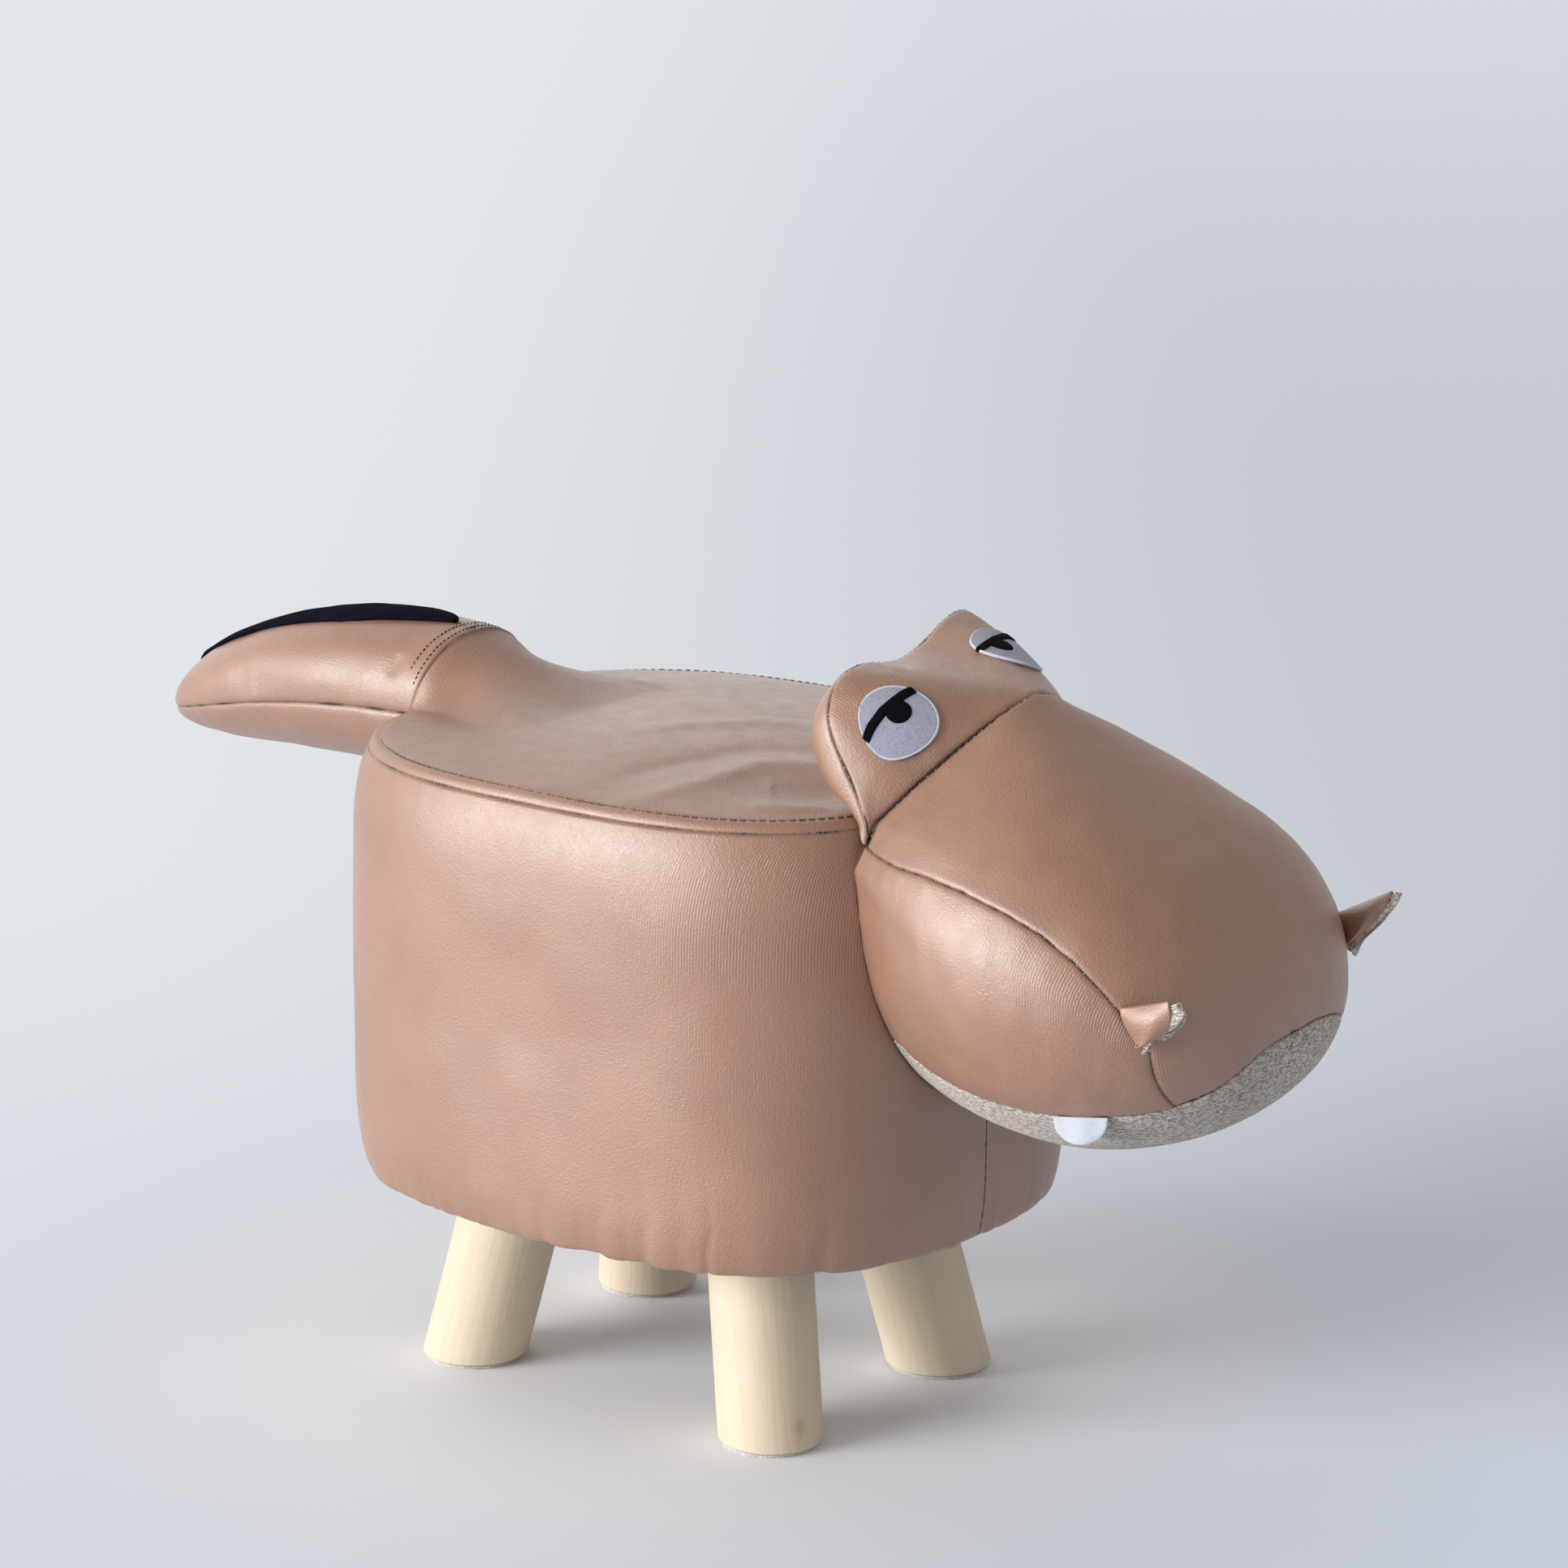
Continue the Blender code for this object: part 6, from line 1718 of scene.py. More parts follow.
@dataclass
class Head:
    """The stuffed head: its panels, seams, eyes, flaps and teeth."""

    form: HeadForm
    shop: Workshop
    spacing: float = 0.0015
    nose_turn: float = 14.0
    lip: float = 0.0030
    tuck_reach: float = 0.0012
    tuck_share: float = 0.012
    snout_creases: Creases = Creases(41, (1.0, 0.45, 1.0), 0.011, 0.00035)
    cheek_creases: Creases = Creases(43, (1.0, 1.0, 0.5), 0.008, 0.0003)
    brow_creases: Creases = Creases(47, (0.4, 1.0, 0.6), 0.0075, 0.0004)
    snout_ribs: Rise = Rise(0.3, 0.5, axis=2, start=0.25, reach=-0.05)
    cheek_ribs: Rise = Rise(0.2, 0.8, axis=0, start=0.21, reach=0.04)
    brow_ribs: Rise = Rise(0.5)
    thread_sink: float = 0.0011
    stitch_sink: float = 0.0007
    neck_middle: float = 0.205
    neck_reach: float = 0.085
    neck_lift: float = 0.0004
    neck_back: float = 0.0002
    eye_radius: float = 0.0158
    eye_places: dict[str, tuple[float, float]] = field(
        default_factory=lambda: {"right": (0.43, 0.245), "left": (0.50, 0.66)})
    disc_foot: float = 0.0004
    disc_heights: tuple[float, ...] = (0.0009, 0.0008, 0.0005, -0.0006)
    rim_radius: float = 0.0006
    rim_middle: float = 0.0007
    rim_height: float = 0.0007
    lid_turn: float = 70.2
    lid_offset: float = -0.0063
    lid_half_width: float = 0.0021
    pupil_place: tuple[float, float] = (-0.0037, -0.0019)
    pupil_half: tuple[float, float] = (0.0050, 0.0052)
    raised_foot: float = 0.0013
    raised_height: float = 0.0009
    raised_root: float = -0.001

    def stations(self, start: float, end: float) -> Array:
        """Return snout shares between two shares that are evenly spaced along the top."""
        values = np.linspace(start, end, 400)
        line = self.form.snout(values, np.full_like(values, 60.0))
        count = max(3, int(arc_lengths(line)[-1] / self.spacing) + 1)
        return even_values(values, line, count)

    def seam_lines(self) -> dict[str, Seam]:
        """Return the head's seams by name."""
        form = self.form
        start = float(form.cheek_angle(0.0))
        sweep = np.linspace(0, 1, 600)
        share = np.linspace(0, form.cheek_end, 500)
        end = np.asarray(form.cheek_end)
        cheeks = []
        for mirror, mouth_end in ((1, form.mouth_right(end)), (-1, 180 - form.mouth_left(end))):
            drop = np.linspace(form.cheek_angles[-1], mouth_end, 80)
            line = np.concatenate([form.snout(share, form.cheek_angle(share)),
                                   form.snout(np.full_like(drop, form.cheek_end), drop)])
            cheeks.append(line * np.array([1, mirror, 1]))
        mouth_share = np.sin(np.linspace(0, np.pi / 2, 600))
        under = np.linspace(start, -180 - start, 900)
        return {
            "front_brow": Seam(form.snout(np.zeros_like(sweep), start + (180 - 2 * start) * sweep)),
            "rear_brow": Seam(form.rear_brow(sweep)),
            "cheek_right": Seam(cheeks[0]),
            "cheek_left": Seam(cheeks[1]),
            "mouth_right": Seam(form.snout(mouth_share, form.mouth_right(mouth_share))),
            "mouth_left": Seam(form.snout(mouth_share, form.mouth_left(mouth_share))),
            "neck": Seam(form.snout(np.zeros_like(under), under)),
        }

    def girth(self, share: Array, low: Array, high: Array, count: int) -> Array:
        """Return a grid of the snout between two angles at each share."""
        across = np.linspace(0, 1, count)
        degrees = low[:, None] + (high - low)[:, None] * across[None, :]
        return self.form.snout(share[:, None] + 0 * degrees, degrees)

    def tuck(self, grid: Array, share: Array) -> Array:
        """Push the rim a little into the body, so that no gap shows there."""
        grid = grid.copy()
        grid[..., 0] -= self.tuck_reach * np.exp(-share[:, None] / self.tuck_share)
        return grid

    def panels(self) -> None:
        """Make the leather and suede panels."""
        form, shop = self.form, self.shop
        seams = self.seam_lines()
        core = form.core()
        relief = Relief()
        leather, suede = shop.finishes.leather, shop.finishes.suede
        early, late = self.stations(0.0, form.cheek_end), self.stations(form.cheek_end, 1.0)
        angle = form.cheek_angle(early)
        mouths = {"right": form.mouth_right(early), "left": 180 - form.mouth_left(early)}
        over, beside, below = 220, 64, 130
        top = self.girth(early, angle, 180 - angle, over)
        forward = smooth_step((late - form.cheek_end) / (1 - form.cheek_end))
        end_angle = form.cheek_angles[-1] + self.nose_turn * forward
        side_count = 26
        nose = np.concatenate([
            self.girth(late, form.mouth_right(late), end_angle, side_count)[:, :-1],
            self.girth(late, end_angle, 180 - end_angle, over),
            self.girth(late, 180 - end_angle, form.mouth_left(late), side_count)[:, 1:]], axis=1)
        snout_seams = [seams[name] for name in ("front_brow", "cheek_right", "cheek_left", "mouth_right",
                                                "mouth_left")]
        cheeks = {side: self.tuck(self.girth(early, mouths[side], angle, beside), early) for side in mouths}
        cheeks["left"] = cheeks["left"] * np.array([1, -1, 1])
        whole = np.concatenate([early, late[1:]])
        under = self.girth(whole, form.mouth_left(whole), 360 + form.mouth_right(whole), below)
        lower = self.tuck(under, whole)
        smooth = {name: Patch.over(grid, core, swap=True)
                  for name, grid in (("top", top), ("nose", nose), ("chin", lower), *cheeks.items())}
        share_normals(list(smooth.values()))
        patches = [relief.dress(smooth[name], snout_seams, self.snout_creases.heights,
                                self.snout_ribs.at)
                   for name in ("top", "nose")]
        self.panel("snout_panel_leather", patches, leather, "tan_leather", "snout_panel")
        for side in ("right", "left"):
            own = [seams[name + "_" + side] for name in ("cheek", "mouth")] + [seams["neck"]]
            patch = relief.dress(smooth[side], own, self.cheek_creases.heights, self.cheek_ribs.at)
            self.panel("cheek_leather_" + side, [patch], leather, "tan_leather", "cheek_panel_" + side)
        own = [seams["mouth_right"], seams["mouth_left"], seams["neck"]]
        chin = relief.dress(smooth["chin"], own)
        self.panel("chin_suede", [chin], suede, "beige_suede", "chin_panel")
        turns = self.even_turns(230)
        shares = np.linspace(0, 1, 46)
        brow = form.brow(shares[:, None] + 0 * turns[None, :], turns[None, :] + 0 * shares[:, None])
        own = [seams["front_brow"], seams["rear_brow"]]
        patch = relief.dress(Patch.over(brow, core), own, self.brow_creases.heights,
                             self.brow_ribs.at)
        self.panel("brow_panel_leather", [patch], leather, "tan_leather", "brow_panel")
        shares = np.linspace(0, 1, 40)
        back = form.back(shares[:, None] + 0 * turns[None, :], turns[None, :] + 0 * shares[:, None])
        patch = relief.dress(Patch.over(back, core), [seams["rear_brow"]])
        self.panel("head_back_leather", [patch], leather, "tan_leather", "head_back_panel")
        self.seam_threads(seams)

    def even_turns(self, count: int) -> Array:
        """Return turns over the brow that are evenly spaced along its rear seam."""
        values = np.linspace(0, 1, 900)
        return even_values(values, self.form.rear_brow(values), count)

    def panel(self, name: str, patches: Sequence[Patch], material: Material, slot: str,
              node: str) -> None:
        """Build one panel and put it in its node's place."""
        self.shop.piece(name, patches, material, slot, node, lip=self.lip, fill=0.9)

    def seam_threads(self, seams: dict[str, Seam]) -> None:
        """Lay a dark thread in every seam, which also paints the shade at the bottom of the groove, with the
        pale stitches that show through it.
        """
        shop = self.shop
        core = self.form.core()
        lines, stitches = [], []
        for name in ("front_brow", "rear_brow", "cheek_right", "cheek_left", "mouth_right", "mouth_left"):
            points = seams[name].points
            outward = unit(points - core)
            lines.append(even_line(points - outward * self.thread_sink, spacing=0.002))
            stitches.append(even_line(points - outward * self.stitch_sink, spacing=0.001))
        neck = seams["neck"].points
        side = neck[np.abs(neck[:, 2] - self.neck_middle) < self.neck_reach]
        for part in (side[side[:, 1] < 0], side[side[:, 1] > 0]):
            outward = unit(part - core) * np.array([0, 1, 1])
            moved = part + outward * self.neck_lift - np.array([self.neck_back, 0, 0])
            lines.append(even_line(moved, spacing=0.002))
        # Painted shade: the dark cord sunk in each seam stands in for the shade of the groove as well as for
        # thread.
        shop.cord("head_seam_thread", lines, shop.finishes.seam_thread, radius=0.0003)
        shop.stitch("head_seam_stitches", stitches, shop.finishes.pale_thread, pitch=0.0042, length=0.0009,
                    thread=0.0006, seed=9, wander=0.0001)

    def eye_frame(self, tag: str) -> tuple[Array, Array, Array, Array, Array]:
        """Return an eye's centre, its two in-surface axes and the brow's two slopes there."""
        share, turn = self.eye_places[tag]
        step = 0.01

        def point(first: float, second: float) -> Array:
            """Return the brow's point a little way from the eye's centre."""
            return self.form.brow(np.asarray(share + first), np.asarray(turn + second))

        along = (point(step, 0) - point(-step, 0)) / (2 * step)
        around = (point(0, step) - point(0, -step)) / (2 * step)
        normal = unit(np.cross(along, around))
        if normal @ (point(0, 0) - self.form.core()) < 0:
            normal = -normal
        side = unit(along)
        return point(0, 0), side, np.cross(normal, side), along, around

    def on_eye(self, tag: str, a: Array, b: Array) -> tuple[Array, Array]:
        """Return points and normals of the brow at distances a and b from the eye's centre."""
        share, turn = self.eye_places[tag]
        _, side, up, along, around = self.eye_frame(tag)
        offset = a[..., None] * side + b[..., None] * up
        aa, ab, bb = along @ along, along @ around, around @ around
        oa, ob = offset @ along, offset @ around
        spread = aa * bb - ab * ab
        first, second = (oa * bb - ob * ab) / spread, (ob * aa - oa * ab) / spread
        form, step = self.form, 0.004
        first, second = share + first, turn + second
        points = form.brow(first, second)
        slope_a = form.brow(first + step, second) - form.brow(first - step, second)
        slope_b = form.brow(first, second + step) - form.brow(first, second - step)
        normals = unit(np.cross(slope_a, slope_b))
        outward = np.sum(normals * (points - form.core()), axis=-1, keepdims=True)
        return points, normals * np.sign(outward)

    def patch_on_eye(self, tag: str, a: Array, b: Array, low: float, height: Array, turn: float) -> Patch:
        """Return a raised patch of embroidery over a grid of distances.

        Args:
            tag: Which eye.
            a: Distances along the first axis.
            b: Distances along the second axis.
            low: The patch's height at its foot.
            height: The height of each point above the foot.
            turn: The direction of its threads, in degrees.

        Returns:
            The patch, whose last row is its foot.
        """
        points, normals = self.on_eye(tag, a, b)
        top = points + normals * (low + height)[..., None]
        angle = math.radians(turn)
        layout = stack(a * math.cos(angle) + b * math.sin(angle), b * math.cos(angle) - a * math.sin(angle))
        return Patch(top, normals, layout, wrap=True)

    def eye(self, tag: str, side: int) -> None:
        """Embroider one eye: the disc, its raised rim, the lid bar and the half-round pupil.

        Args:
            tag: Which eye.
            side: 1 on the right and -1 on the left, where the bar turns the other way.
        """
        bar_turn, bar_offset = side * self.lid_turn, side * self.lid_offset
        pupil_offset = (self.pupil_place[0], side * self.pupil_place[1])
        finishes, shop = self.shop.finishes, self.shop
        turn = full_turn(96)
        radii = np.concatenate([np.linspace(0, 0.93, 22), [0.96, 0.985, 1.0, 1.0]]) * self.eye_radius
        a, b = radii[:, None] * np.cos(turn), radii[:, None] * np.sin(turn)
        height = np.full(radii.shape, self.disc_heights[0])
        height[-3:] = self.disc_heights[1:]
        disc = self.patch_on_eye(tag, a, b, self.disc_foot, height[:, None] + 0 * turn, bar_turn + 90)
        shop.piece("eye_disc_" + tag, [disc], finishes.eye, "eye_thread", "eye_patch_" + tag)
        ring = np.linspace(0, 2 * np.pi, 13)
        rim_r = self.eye_radius + self.rim_radius * np.cos(ring)
        rim_h = self.rim_middle + self.rim_height * np.sin(ring)
        a, b = rim_r[:, None] * np.cos(turn), rim_r[:, None] * np.sin(turn)
        points, normals = self.on_eye(tag, a, b)
        grid = points + normals * rim_h[:, None, None]
        centre, _ = self.on_eye(tag, self.eye_radius * np.cos(turn), self.eye_radius * np.sin(turn))
        rim = Patch.over(grid, centre[None], wrap=True)
        rim.layout = stack(turn[None, :] * self.eye_radius, rim_r[:, None])
        shop.piece("eye_rim_" + tag, [rim], finishes.rim, "eye_thread")
        direction = math.radians(bar_turn)
        along = np.array([math.cos(direction), math.sin(direction)])
        across = np.array([-along[1], along[0]])
        lid_half = (math.sqrt(self.eye_radius ** 2 - bar_offset ** 2) * 1.04, self.lid_half_width)
        self.raised(tag, "eye_lid_" + tag, along, across, (0.0, bar_offset), lid_half, 12.0, bar_turn)
        self.raised(tag, "eye_pupil_" + tag, along, across, pupil_offset, self.pupil_half, 2.0, bar_turn)

    def raised(self, tag: str, name: str, along: Array, across: Array, centre: tuple[float, float],
               half: tuple[float, float], squareness: float, turn: float) -> None:
        """Raise a small black satin patch with a squared-oval outline on an eye."""
        angle = full_turn(120)
        power = 2 / squareness
        first = half[0] * signed_power(np.cos(angle), power)
        second = half[1] * signed_power(np.sin(angle), power)
        shares = np.concatenate([np.linspace(0, 0.9, 10), [0.95, 1.0, 1.0]])
        u = centre[0] + shares[:, None] * first
        v = centre[1] + shares[:, None] * second
        a, b = u * along[0] + v * across[0], u * along[1] + v * across[1]
        height = self.raised_height * np.sqrt(np.clip(1 - shares ** 4, 0, 1))
        height[-1] = self.raised_root
        patch = self.patch_on_eye(tag, a, b, self.raised_foot, height[:, None] + 0 * angle, turn + 90)
        self.shop.piece(name, [patch], self.shop.finishes.pupil, "black_felt")


@dataclass
class Flaps:
    """The two folded petals at the ends of the cheek seams, with their linings."""

    form: HeadForm
    shop: Workshop
    seam_shares: dict[str, float] = field(default_factory=lambda: {"right": 0.812, "left": 0.797})
    ridges: dict[str, tuple[float, float, float]] = field(default_factory=lambda: {
        "right": (0.0218, -0.001, 0.0066), "left": (0.0266, -0.001, 0.0140)})
    tapers: dict[str, float] = field(default_factory=lambda: {"right": 2.4, "left": 1.45})
    margins: dict[str, float] = field(default_factory=lambda: {"right": 0.24, "left": 0.15})
    drop: tuple[float, float, float] = (0.0077, -0.0064, -0.0154)
    depth: float = 0.0152
    base_half_gap: float = 0.003
    opening: float = 0.0032
    inner_extra: float = 0.003
    stand_off: float = 0.0018
    inner_shear: float = 1.2
    outer_shear: float = 0.3
    wave: float = 0.0005
    leather: float = 0.0012
    lining: float = 0.0008
    lining_offset: float = -0.0021

    def grid(self, origin: Array, along: Array, down: Array, across: Array, tag: str, margin: float) -> Array:
        """Return the folded sheet's points: rows run to the tip, columns over the ridge."""
        share = np.linspace(0, 1, 34)[:, None]
        turn = np.linspace(-1, 1, 81)[None, :]
        turn = np.sin(np.pi * turn / 2)
        depth = np.abs(turn)
        inner = np.maximum(0.0, -turn)
        end = (1 - 0.985 * depth ** 2.1) ** (1 / self.tapers[tag])
        fall = self.depth * (1 + margin / 4) + inner * self.inner_extra * share
        growth = 1 + margin * (0.55 + 0.45 * smooth_step(depth * 2))
        reach = share * end * growth + inner * share * (1 - share) / 4
        gap = self.base_half_gap + self.opening * np.sin(np.pi * share)
        side = np.sign(turn) * gap * (1 - (1 - depth) ** 4)
        shear = np.where(turn < 0, self.inner_shear, self.outer_shear) * -side * (1 - share)
        wave = self.wave * np.sin(9 * share + 3 * turn) * depth * np.sin(np.pi * share)
        return (origin + along * reach[..., None] + unit(along) * shear[..., None]
                + down * (fall * depth)[..., None] + across * (side + wave)[..., None])

    def build(self) -> None:
        """Make both petals and their linings."""
        finishes = self.shop.finishes
        for tag, side in (("right", -1), ("left", 1)):
            share = self.seam_shares[tag]
            seam = self.form.snout(np.asarray(share), self.form.cheek_angle(share))
            forward, outward, up = self.ridges[tag]
            along = np.array([forward, side * outward, up])
            down = unit(np.array([self.drop[0], side * self.drop[1], self.drop[2]]))
            across = unit(np.cross(along, down))
            if across[1] * side < 0:
                across = -across
            start = np.array([seam[0], side * abs(seam[1]), seam[2]]) + unit(along) * self.stand_off
            for name, node, slot, material, thickness, margin, offset in (
                    ("flap_leather_", "flap_", "tan_leather", finishes.leather, self.leather, 0.0, 0.0),
                    ("flap_lining_suede_", "flap_lining_", "beige_suede", finishes.lining, self.lining,
                     self.margins[tag], self.lining_offset)):
                origin = start + unit(along) * (self.stand_off / 2 if margin else 0.0)
                grid = self.grid(origin, along, down, across, tag, margin)
                core = (grid[:, :1] + grid[:, -1:]) / 2
                patch = Patch.over(grid, core)
                outer = patch.points + patch.normals * offset
                sheet = solid_sheet(outer, patch.normals, thickness)
                sheet.values = {"seam": np.asarray(0.0), "ribs": np.asarray(0.3)}
                self.shop.piece(name + tag, [sheet], material, slot, node + tag)


@dataclass
class Teeth:
    """Two half-round felt teeth that hang from the mouth seams."""

    form: HeadForm
    shop: Workshop
    seam_shares: tuple[float, float] = (0.614, 0.743)
    thickness: float = 0.002
    hang_gap: float = 0.0006
    wave: float = 0.0004
    waves_per_metre: float = 420.0

    def build(self) -> None:
        """Make both teeth."""
        for tag, side in (("right", -1), ("left", 1)):
            ends = self.form.snout(np.array(self.seam_shares), np.full(2, self.form.mouth_angle))
            ends = ends * np.array([1, -side, 1])
            middle, along = ends.mean(axis=0), (ends[1] - ends[0]) / 2
            radius = float(np.linalg.norm(along))
            along = along / radius
            down, outward = np.array([0, 0, -1.0]), np.array([0, side, 0.0])
            start = middle + outward * (self.hang_gap + self.thickness / 2) - down * self.hang_gap
            across = np.linspace(0, 1, 24)[:, None]
            width = np.sqrt(np.clip(1 - across ** 2.3, 0, 1)) * radius
            loop = full_turn(48)
            u = signed_power(np.cos(loop), 0.55)[None, :] * width
            v = signed_power(np.sin(loop), 0.8)[None, :] * (self.thickness / 2) * np.sqrt(
                np.clip(1 - across ** 14, 0, 1))
            v = v + self.wave * np.sin(u * self.waves_per_metre + 1.3)
            depth = across * radius * 1.02
            grid = start + along * u[..., None] + outward * v[..., None] + down * (depth + 0 * u)[..., None]
            patch = Patch.over(grid, start + down * radius * 0.4, wrap=True)
            cap = Patch.over(np.stack([grid[0], np.broadcast_to(grid[0].mean(axis=0), grid[0].shape)]),
                             start + down * radius, wrap=True)
            self.shop.piece("tooth_felt_" + tag, [patch, cap], self.shop.finishes.white_felt, "white_felt",
                            "tooth_" + tag)


@dataclass
class Tail:
    """The stuffed tail with its felt strip and its stitching."""

    form: TailForm
    shop: Workshop
    rows: int = 120
    strip_start: float = 0.065
    strip_end: float = 0.93
    strip_half_angle: float = 28.0
    felt: float = 0.0015
    lip: float = 0.003
    tuck: float = 0.0012
    tuck_share: float = 0.012
    strip_gap: float = 0.0003
    strip_wave: float = 0.00035
    wave_size: float = 0.012
    seam_core_height: float = 0.27
    thread_sink: float = 0.0010
    collar_rows: tuple[tuple[float, float, float], ...] = ((0.012, 18, 162), (0.040, 30, 150))
    row_lift: float = 0.0001
    root_folds: tuple[Fold, ...] = (
        Fold(((-0.158, -0.038, 0.296), (-0.160, -0.041, 0.286), (-0.160, -0.040, 0.272)), -0.0009, 0.0034),
        Fold(((-0.166, -0.036, 0.300), (-0.168, -0.040, 0.288), (-0.167, -0.040, 0.276)), 0.0005, 0.0045),
        Fold(((-0.152, -0.030, 0.305), (-0.154, -0.037, 0.294)), -0.0014, 0.0040),
    )

    def shares(self) -> Array:
        """Return shares along the tail that are evenly spaced down its side."""
        values = np.linspace(0, 1, 600)
        return even_values(values, self.form.point(values, np.full_like(values, 45.0)), self.rows)

    def marks(self, points: Array) -> Array:
        """Return the heights of the wrinkles at the tail's root."""
        return Fold.total(self.root_folds, points)

    def build(self) -> None:
        """Make the three panels, the strip and the stitching."""
        form, shop = self.form, self.shop
        share = self.shares()
        seam = form.seam_angle(share)
        core = stack(form.point(share, np.full_like(share, 90.0))[:, 0], 0 * share,
                     through(form.axis_heights, share))[:, None]
        lines = {
            "right": Seam(form.point(share, seam)),
            "left": Seam(form.point(share, 180 - seam)),
            "ridge": Seam(form.point(share, np.full_like(share, 90.0))),
        }
        ring = np.linspace(0, 360, 400)
        root = Seam(form.point(np.zeros_like(ring), ring))
        relief = Relief(sink=0.0013, pucker=0.00035, swell=0.0007, swell_size=0.03)
        spans = {
            "tail_upper_right": (seam, np.full_like(seam, 90.0), ("right", "ridge")),
            "tail_upper_left": (np.full_like(seam, 90.0), 180 - seam, ("left", "ridge")),
            "tail_under": (180 - seam, 360 + seam, ("right", "left")),
        }
        for name, (low, high, near) in spans.items():
            degrees = low[:, None] + (high - low)[:, None] * np.linspace(0, 1, 44)[None, :]
            grid = form.point(share[:, None] + 0 * degrees, degrees)
            grid[..., 0] += self.tuck * np.exp(-share[:, None] / self.tuck_share)
            own = [lines[key] for key in near] + [root]
            patch = relief.dress(Patch.over(grid, core, swap=True), own, self.marks)
            shop.piece(name + "_leather", [patch], shop.finishes.leather, "tan_leather", name,
                       lip=self.lip, fill=0.9)
        self.strip()
        self.stitching(lines)

    def strip(self) -> None:
        """Make the pointed felt strip along the ridge."""
        form = self.form
        share = np.linspace(0, 1, 110)
        station = self.strip_start + (self.strip_end - self.strip_start) * share
        open_share = np.minimum(1, np.minimum(share / 0.34, (1 - share) / 0.16)) ** 0.6
        half = self.strip_half_angle * np.maximum(0.06, open_share)
        across = np.linspace(-1, 1, 25)
        degrees = 90 + half[:, None] * across[None, :]
        grid = form.point(station[:, None] + 0 * degrees, degrees)
        core = stack(grid[:, 12, 0], 0 * station, through(form.axis_heights, station))[:, None]
        patch = Patch.over(grid, core)
        lift = self.felt + self.strip_gap + self.strip_wave * Lattice(61).at(grid, self.wave_size)
        sheet = solid_sheet(patch.moved(lift).points, patch.normals, self.felt)
        self.shop.piece("tail_strip_felt", [sheet], self.shop.finishes.black_felt, "black_felt", "tail_strip")

    def stitching(self, lines: dict[str, Seam]) -> None:
        """Lay the thread in the side seams and sew the double row round the collar."""
        form, shop = self.form, self.shop
        threads = []
        for key in ("right", "left"):
            points = lines[key].points
            core = stack(points[:, 0], np.asarray(0.0), np.asarray(self.seam_core_height))
            threads.append(even_line(points - unit(points - core) * self.thread_sink, spacing=0.002))
        # Painted shade: the dark cord sunk in each side seam stands in for the shade of the groove as well as
        # for thread.
        shop.cord("tail_seam_thread", threads, shop.finishes.seam_thread, radius=0.0003)
        rows = []
        for share, low, high in self.collar_rows:
            degrees = np.linspace(low, high, 240)
            points = form.point(np.full_like(degrees, share), degrees)
            core = stack(points[:, 0], np.asarray(0.0), np.asarray(form.axis_heights[0]))
            rows.append(even_line(points + unit(points - core) * self.row_lift, spacing=0.001))
        shop.stitch("collar_topstitch", rows, shop.finishes.seam_thread, pitch=0.0024, length=0.0017,
                    thread=0.0006, seed=17)


